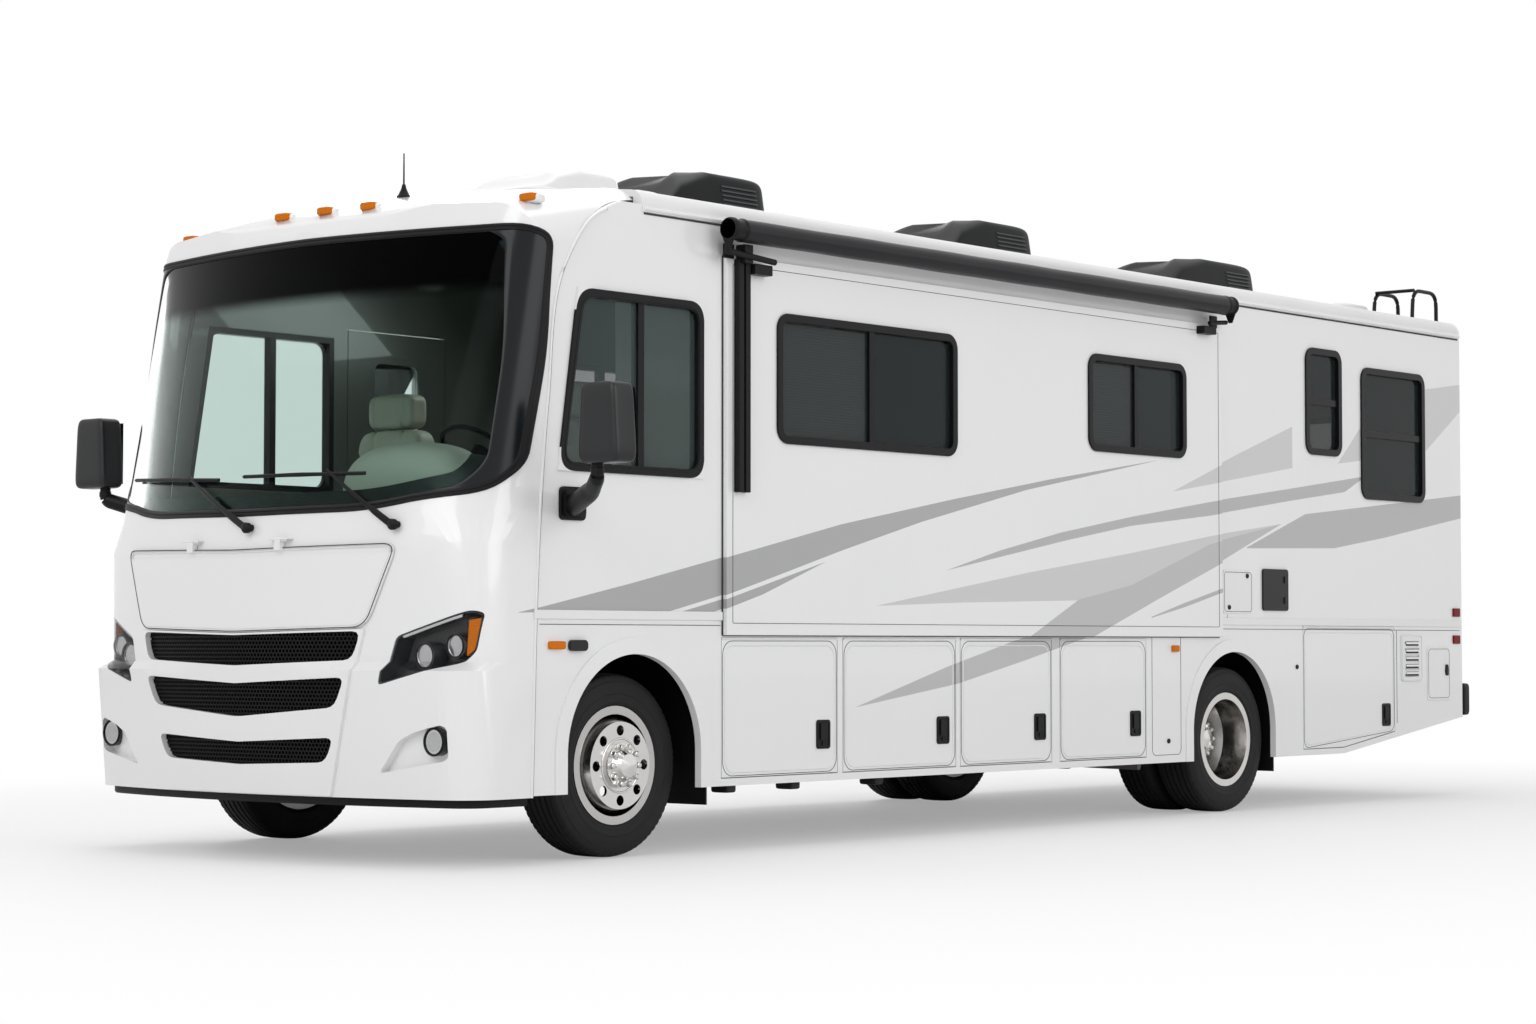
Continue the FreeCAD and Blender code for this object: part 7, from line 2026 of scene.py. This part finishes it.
@dataclass
class Awning:
    """Rolled awning over the slide-out room: roller, end drums, brackets and the folded arm.

    Each mount is a block on the room's wall: first and last place along it, lowest and highest place, and how
    far out it stands. The first two are the folded arm.
    """

    roller_x: float = 1.410
    roller_z: float = 2.926
    roll_ends: Pair = (-2.79, 1.47)
    roll_radius: float = 0.0535
    cloth_step: float = 0.0025
    face_x: float = 1.325
    mounts: Tuple[Tuple[float, float, float, float, float], ...] = (
        (-2.748, -2.712, 1.694, 2.80, 0.036), (-2.700, -2.664, 1.694, 2.80, 0.036),
        (-2.735, -2.675, 2.78, 2.87, 0.060), (-2.712, -2.700, 1.70, 2.80, 0.012),
        (-2.655, -2.525, 2.735, 2.785, 0.055), (1.325, 1.455, 2.755, 2.80, 0.055),
        (-2.83, -2.76, 2.80, 2.87, 0.014), (1.46, 1.53, 2.80, 2.87, 0.014))

    def drum(self, y0: float, y1: float) -> Shape:
        """Stepped drum at a roller's end."""
        profile = [(y0, 0.046), (y0 + 0.006, 0.055), (y0 + 0.030, 0.0575), (y0 + 0.034, 0.050),
                   (y1 - 0.02, 0.050),
                   (y1 - 0.016, 0.0565), (y1, 0.0565)]
        return lathe(profile, (self.roller_x, 0.0, self.roller_z), ALONG, 40)

    def plate(self, y: float) -> Shape:
        """Drop-shaped end plate: a circle that runs down to a rounded point."""
        turn = np.linspace(-0.25 * math.pi, 1.25 * math.pi, 30)
        drop = [(self.roller_x + 0.052 * math.cos(t), self.roller_z + 0.052 * math.sin(t)) for t in turn]
        drop += [(self.roller_x - 0.012, self.roller_z - 0.098),
                 (self.roller_x + 0.012, self.roller_z - 0.098)]
        return prism(drop, 1, y - 0.006, y + 0.006)

    def build(self) -> None:
        """Makes the awning in place of its plain form."""
        x, z, face = self.roller_x, self.roller_z, self.face_x
        turn = turns(64)
        radius = self.roll_radius + self.cloth_step * turn / (2.0 * math.pi)
        first, last = self.roll_ends
        y = np.concatenate([[first], np.linspace(first + 0.001, last - 0.001, 40), [last]])
        sag = 0.001 * np.sin((y - y[0]) * 9.0)
        reach = radius[None] + sag[:, None]
        roll = np.stack([x + reach * np.cos(turn), y[:, None] + 0.0 * reach, z + reach * np.sin(turn)], -1)
        fabric = make("awning_roll", sheet(roll, close_columns=True, caps=True), Paint.FABRIC, "slide_out",
                      smooth=60.0)
        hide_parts("slide_awning")
        parts = [self.drum(-2.890, -2.785), self.drum(1.465, 1.565), self.plate(-2.884), self.plate(1.558)]
        parts += [block((face, y0, z0), (face + out, y1, z1)) for y0, y1, z0, z1, out in self.mounts]
        parts.append(tube([(x - 0.02, -2.875, 2.825), (x - 0.02, -2.52, 2.800)], 0.015, 16))
        parts.append(tube([(x - 0.02, 1.36, 2.815), (x - 0.02, 1.545, 2.832)], 0.013, 16))
        hardware = make("awning_hardware", merged(parts), Paint.PLASTIC, "slide_out", bevel=0.004,
                        smooth=40.0)
        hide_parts("slide_awning")


@dataclass
class Ladder:
    """Bent-tube ladder with ribbed rungs, over the roof's rear edge."""

    rails: Pair = (0.800, 1.080)
    radius: float = 0.0128
    bottom_z: float = 0.800
    rung_pitch: float = 0.290
    rung_count: int = 8
    rail_y: float = 4.655
    wall_y: float = 4.592
    roof_y: float = 4.345
    bow_z: float = 3.285
    stand_heights: Tuple[float, ...] = (0.95, 1.95, 2.70)

    def build(self) -> None:
        """Makes the ladder in place of its plain form."""
        parts = []
        y, bow = self.rail_y, self.bow_z
        for x in self.rails:
            path = rounded_path([(x, y, self.bottom_z), (x, y, bow), (x, self.roof_y, bow),
                                 (x, self.roof_y - 0.015, 3.10)], 0.09)
            parts.append(tube(path, self.radius, 16))
            for z in self.stand_heights:
                parts.append(tube([(x, y, z), (x, self.wall_y, z)], 0.009, 12))
                parts.append(lathe([(0.0, 0.024), (0.005, 0.024), (0.007, 0.02)],
                                   (x, self.wall_y - 0.001, z), ALONG, 20))
        rung_z = (self.bottom_z + 0.14 + self.rung_pitch * np.arange(self.rung_count)).tolist()
        first, last = self.rails
        places = [(y, z) for z in rung_z] + [(self.roof_y + 0.015, bow)]
        parts += [tube([(first, place, z), (last, place, z)], 0.0115, 14) for place, z in places]
        piece = make("bent_ladder", merged(parts), Paint.GLOSSY, smooth=50.0)
        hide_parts("ladder")
        ribs = [block((first + 0.03, y + 0.010, z + d), (last - 0.03, y + 0.014, z + d + 0.002))
                for z in rung_z for d in (-0.005, 0.0, 0.005)]
        make("rung_ribs", merged(ribs), Paint.RUBBER)


@dataclass
class WindowBlinds:
    """Slatted blinds behind the near panes of the slide-out room."""

    spans: Tuple[Tuple[float, float, float, float], ...] = ((-2.394, -1.707, 1.981, 2.533),
                                                            (0.258, 0.683, 2.070, 2.528))
    place_x: float = 1.292
    pitch: float = 0.014

    def blind(self, y0: float, y1: float, z0: float, z1: float) -> Shape:
        """Saw-toothed skin: each tooth is one tilted slat, its x a saw of the height."""
        count = int((z1 - z0) / self.pitch)
        z = z0 + np.repeat(np.arange(count + 1), 2)[1:-1] * self.pitch
        x = self.place_x + np.tile([0.005, -0.002], count)
        line = np.stack([x, np.full_like(x, y0), z], -1)
        other = line + np.array([0.0, y1 - y0, 0.0])
        return sheet(np.stack([line, other], 1))

    def build(self) -> None:
        """Hangs both blinds in the slide-out room."""
        for index, span in enumerate(self.spans, 1):
            make(f"window_blind_{index}", self.blind(*span), Paint.BLIND, "slide_out", smooth=10.0)


@dataclass
class MirrorGlass:
    """Reflecting glass on the rear of both outside mirrors."""

    x0: float = 1.628
    x1: float = 1.860
    z0: float = 1.780
    z1: float = 2.086
    y: float = -4.0195

    def build(self) -> None:
        """Fits both mirrors with a slightly domed glass."""
        u = np.linspace(0.0, 1.0, 13)[:, None]
        v = np.linspace(0.0, 1.0, 17)[None, :]
        x = self.x0 + (self.x1 - self.x0) * u + 0.0 * v
        z = self.z0 + (self.z1 - self.z0) * v + 0.0 * u
        bulge = 0.003 * (1.0 - (2.0 * u - 1.0) ** 2) * (1.0 - (2.0 * v - 1.0) ** 2)
        points = np.stack([x, self.y + bulge, z], -1)[::-1]
        for side, word in BOTH_SIDES:
            make(f"{word}_mirror_glass", sheet(points).on_side(side), Paint.MIRROR)


# Roof


@dataclass
class RoofUnits:
    """Air conditioners, white vents and the aerial on the roof."""

    coolers: Curve = ((-2.261, -1.262), (0.165, 1.189), (2.440, 3.700))
    cooler_half: float = 0.345
    cooler_low: float = 3.128
    cooler_top: float = 3.443
    lean: float = 0.16
    vents: Tuple[Tuple[Point, Point, float], ...] = (
        ((0.0, -3.33, 3.095), (0.62, -2.72, 3.272), 0.40), ((0.06, -2.62, 3.10), (0.52, -2.33, 3.245), 0.75),
        ((0.33, 3.95, 3.085), (0.76, 4.40, 3.212), 0.8))
    mast: Tuple[Point, Point] = ((0.150, -3.780, 3.09), (0.150, -3.780, 3.30))

    def hull(self, low: Point, high: Point, front_share: float, lean: float, run: float = 0.42) -> Shape:
        """Rounded block whose front slopes and whose sides lean in.

        Heights over the base are multiplied by a smooth step of the place along the vehicle, which starts
        at a share of the full height, and widths shrink in a straight line with the height.
        """
        shape = soft_block(low, high, 0.24, 56, 88)
        points = shape.points.copy()
        along = np.clip((points[:, 1] - low[1]) / (high[1] - low[1]) / run, 0.0, 1.0)
        share = front_share + (1.0 - front_share) * along * along * (3.0 - 2.0 * along)
        points[:, 2] = low[2] + (points[:, 2] - low[2]) * share
        middle = (low[0] + high[0]) / 2.0
        rise = (points[:, 2] - low[2]) / (high[2] - low[2])
        points[:, 0] = middle + (points[:, 0] - middle) * (1.0 - lean * rise)
        return Shape(points, shape.faces)

    def louvres(self, y1: float) -> List[Shape]:
        """Thin bars across the sides and the end of a cooler."""
        bars = []
        for step in range(8):
            z = 3.195 + step * 0.024
            rise = (z - self.cooler_low) / (self.cooler_top - self.cooler_low)
            x = self.cooler_half * (1.0 - self.lean * rise)
            side = block((x - 0.012, y1 - 0.40, z), (x + 0.005, y1 - 0.12, z + 0.008))
            bars += [side, side.mirrored(), block((-x * 0.7, y1 - 0.012, z),
                                                  (x * 0.7, y1 + 0.002, z + 0.009))]
        return bars

    def build(self) -> None:
        """Makes all of it in place of the plain forms."""
        w, low, top = self.cooler_half, self.cooler_low, self.cooler_top
        hulls = [self.hull((-w, y0 + 0.06, low), (w, y1, top), 0.26, self.lean) for y0, y1 in self.coolers]
        feet = [soft_block((-w, y0, low - 0.006), (w, y1, low + 0.035), 0.2) for y0, y1 in self.coolers]
        piece = make("cooler_hulls", merged(hulls + feet), Paint.COOLER, smooth=60.0)
        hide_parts("air_conditioners")
        bars = [bar for _, y1 in self.coolers for bar in self.louvres(y1)]
        make("cooler_louvres", merged(bars), Paint.BARS, bevel=0.001)
        vents = [self.hull(a, b, share, 0.12) for a, b, share in self.vents]
        flanges = [soft_block((a[0], a[1], a[2]), (b[0], b[1], 3.158 if a[1] < 3.0 else 3.150), 0.2) for a,
                   b, _ in self.vents]
        piece = make("roof_vents", merged(vents + flanges), Paint.VENTS, smooth=60.0)
        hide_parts("roof_fittings")
        bottom, tip = np.array(self.mast[0]), np.array(self.mast[1])
        share = np.linspace(0.0, 1.0, 12)[:, None]
        mast = tube([tuple(point) for point in (bottom + (tip - bottom) * share).tolist()],
                    np.linspace(0.005, 0.0032, 12), 12)
        make("aerial_mast", mast, Paint.PLASTIC, smooth=60.0)


# Cabin


def cushion(low: Point, high: Point, roundness: float, crown: float,
            channels: Sequence[Tuple[int, float]] = (),
            depth: float = 0.012, rows: int = 64, columns: int = 112) -> Shape:
    """Stuffed block.

    Its directions are those of a ball, and each direction's sine and cosine is raised to a power below one,
    which squares the ball off. The middle swells by a crown, and each sewn channel pulls the skin in along a
    line by a bell curve of the distance from it.

    Args:
        low: Lowest corner.
        high: Highest corner.
        roundness: Power of the sines and cosines; 1 is a ball, 0 a block.
        crown: How much the skin swells between the edges, as a share of the half size.
        channels: Axis along which a channel's place is measured, and that place.
        depth: Depth of the channels.
        rows: Rows from pole to pole.
        columns: Points round.

    Returns:
        The closed skin.
    """
    a, b = np.array(low, float), np.array(high, float)
    middle, half = (a + b) / 2.0, (b - a) / 2.0
    v = np.linspace(-math.pi / 2.0, math.pi / 2.0, rows)[:, None]
    u = turns(columns)[None, :]
    power = lambda t: np.sign(t) * np.abs(t) ** roundness
    unit = np.stack([power(np.cos(v)) * power(np.cos(u)), power(np.cos(v)) * power(np.sin(u)),
                     power(np.sin(v)) + 0.0 * u], -1)
    shrink = 1.0 - crown * (1.0 - np.prod(np.clip(1.0 - unit ** 4, 0.0, 1.0) ** 0.5, -1))[..., None] * 0.5
    points = middle + half * unit * shrink
    for axis, place in channels:
        pull = depth * np.exp(-((points[..., axis] - place) / 0.010) ** 2)
        points = points - unit * pull[..., None] * (np.arange(3) != axis)
    return sheet(points[::-1], close_columns=True, caps=True)


@dataclass
class Seats:
    """Two padded cab seats: cushion, back and headrest with sewn channels, on pedestals."""

    place_x: float = 0.6
    half_width: float = 0.26

    def build(self) -> None:
        """Makes both seats in place of their plain blocks."""
        pedestals = []
        for side, word in BOTH_SIDES:
            x = side * self.place_x
            w = self.half_width
            parts = {
                "cushion": cushion((x - w, -3.64, 1.425), (x + w, -3.12, 1.56), 0.42, 0.3,
                                   [(0, x - 0.09), (0, x + 0.09), (1, -3.40)]),
                "back": cushion((x - w, -3.20, 1.50), (x + w, -3.02, 2.085), 0.45, 0.3,
                                [(0, x - 0.10), (0, x + 0.10), (2, 1.68), (2, 1.92)]),
                "headrest": cushion((x - 0.175, -3.185, 2.045), (x + 0.175, -3.03, 2.24), 0.5, 0.2,
                                    [(0, x - 0.1), (0, x + 0.1)], 0.007),
            }
            for name, shape in parts.items():
                piece = make(f"{word}_seat_{name}", shape, Paint.LEATHER, smooth=89.0)
                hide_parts("cab_seats")
            pedestals.append(block((x - 0.18, -3.56, 1.0455), (x + 0.18, -3.22, 1.10)))
            pedestals.append(block((x - 0.12, -3.50, 1.10), (x + 0.12, -3.28, 1.435)))
            for rail in (-0.2, 0.2):
                pedestals.append(tube([(x + rail, -3.42, 1.50), (x + rail, -3.15, 1.50)], 0.012))
        stand = make("seat_stands", merged(pedestals), Paint.FRAME, bevel=0.006)
        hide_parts("cab_seats")


@dataclass
class CabDetails:
    """Binnacle dome, air vents of the dashboard and ceiling lamps."""

    dome: Tuple[Point, Point] = ((0.200, -4.330, 1.40), (1.000, -3.905, 1.890))
    dome_roundness: float = 0.78
    lamp_profile: Curve = ((0.0, 0.07), (-0.012, 0.07), (-0.02, 0.055), (-0.02, 0.001))
    lamp_places: Tuple[Point, ...] = ((-0.15, -2.0, 3.078), (-0.15, -1.2, 3.078), (0.3, -2.9, 3.078))
    vent_places: Tuple[float, ...] = (-0.95, -0.55, -0.15, 0.2)
    vent_low: Point = (-0.07, -3.9915, 1.50)
    vent_high: Point = (0.07, -3.9835, 1.508)
    slat_pitch: float = 0.016
    slat_count: int = 5

    def build(self) -> None:
        """Fits the cab."""
        make("binnacle_dome", cushion(*self.dome, self.dome_roundness, 0.0), Paint.BINNACLE, smooth=60.0)
        lamps = [lathe(self.lamp_profile, place, UPWARD, 32) for place in self.lamp_places]
        make("ceiling_lamps", merged(lamps), Paint.CEILING)
        slat = block(self.vent_low, self.vent_high)
        slats = [slat.moved((x, 0.0, step * self.slat_pitch))
                 for x in self.vent_places for step in range(self.slat_count)]
        make("dash_vents", merged(slats), Paint.PLASTIC)


PARTS = (Studio, Coachwork, Tyres, WheelFittings, GrilleMesh, HeadLamps, FogLamps, Windscreen, BrowLamps,
         Grilles,
         Wipers, HoodLine, Mirrors, Underside, DoorDetails, SideTrim, Seams, CabWindowCorners, Awning, Ladder,
         RoofUnits, WindowBlinds, MirrorGlass, Seats, CabDetails)


def main() -> None:
    """Builds the studio and dresses the vehicle."""
    logging.basicConfig(level=logging.INFO, format="%(name)s: %(message)s")
    for part in PARTS:
        LOG.info("building %s", part.__name__)
        part().build()


if __name__ == "__main__":
    main()
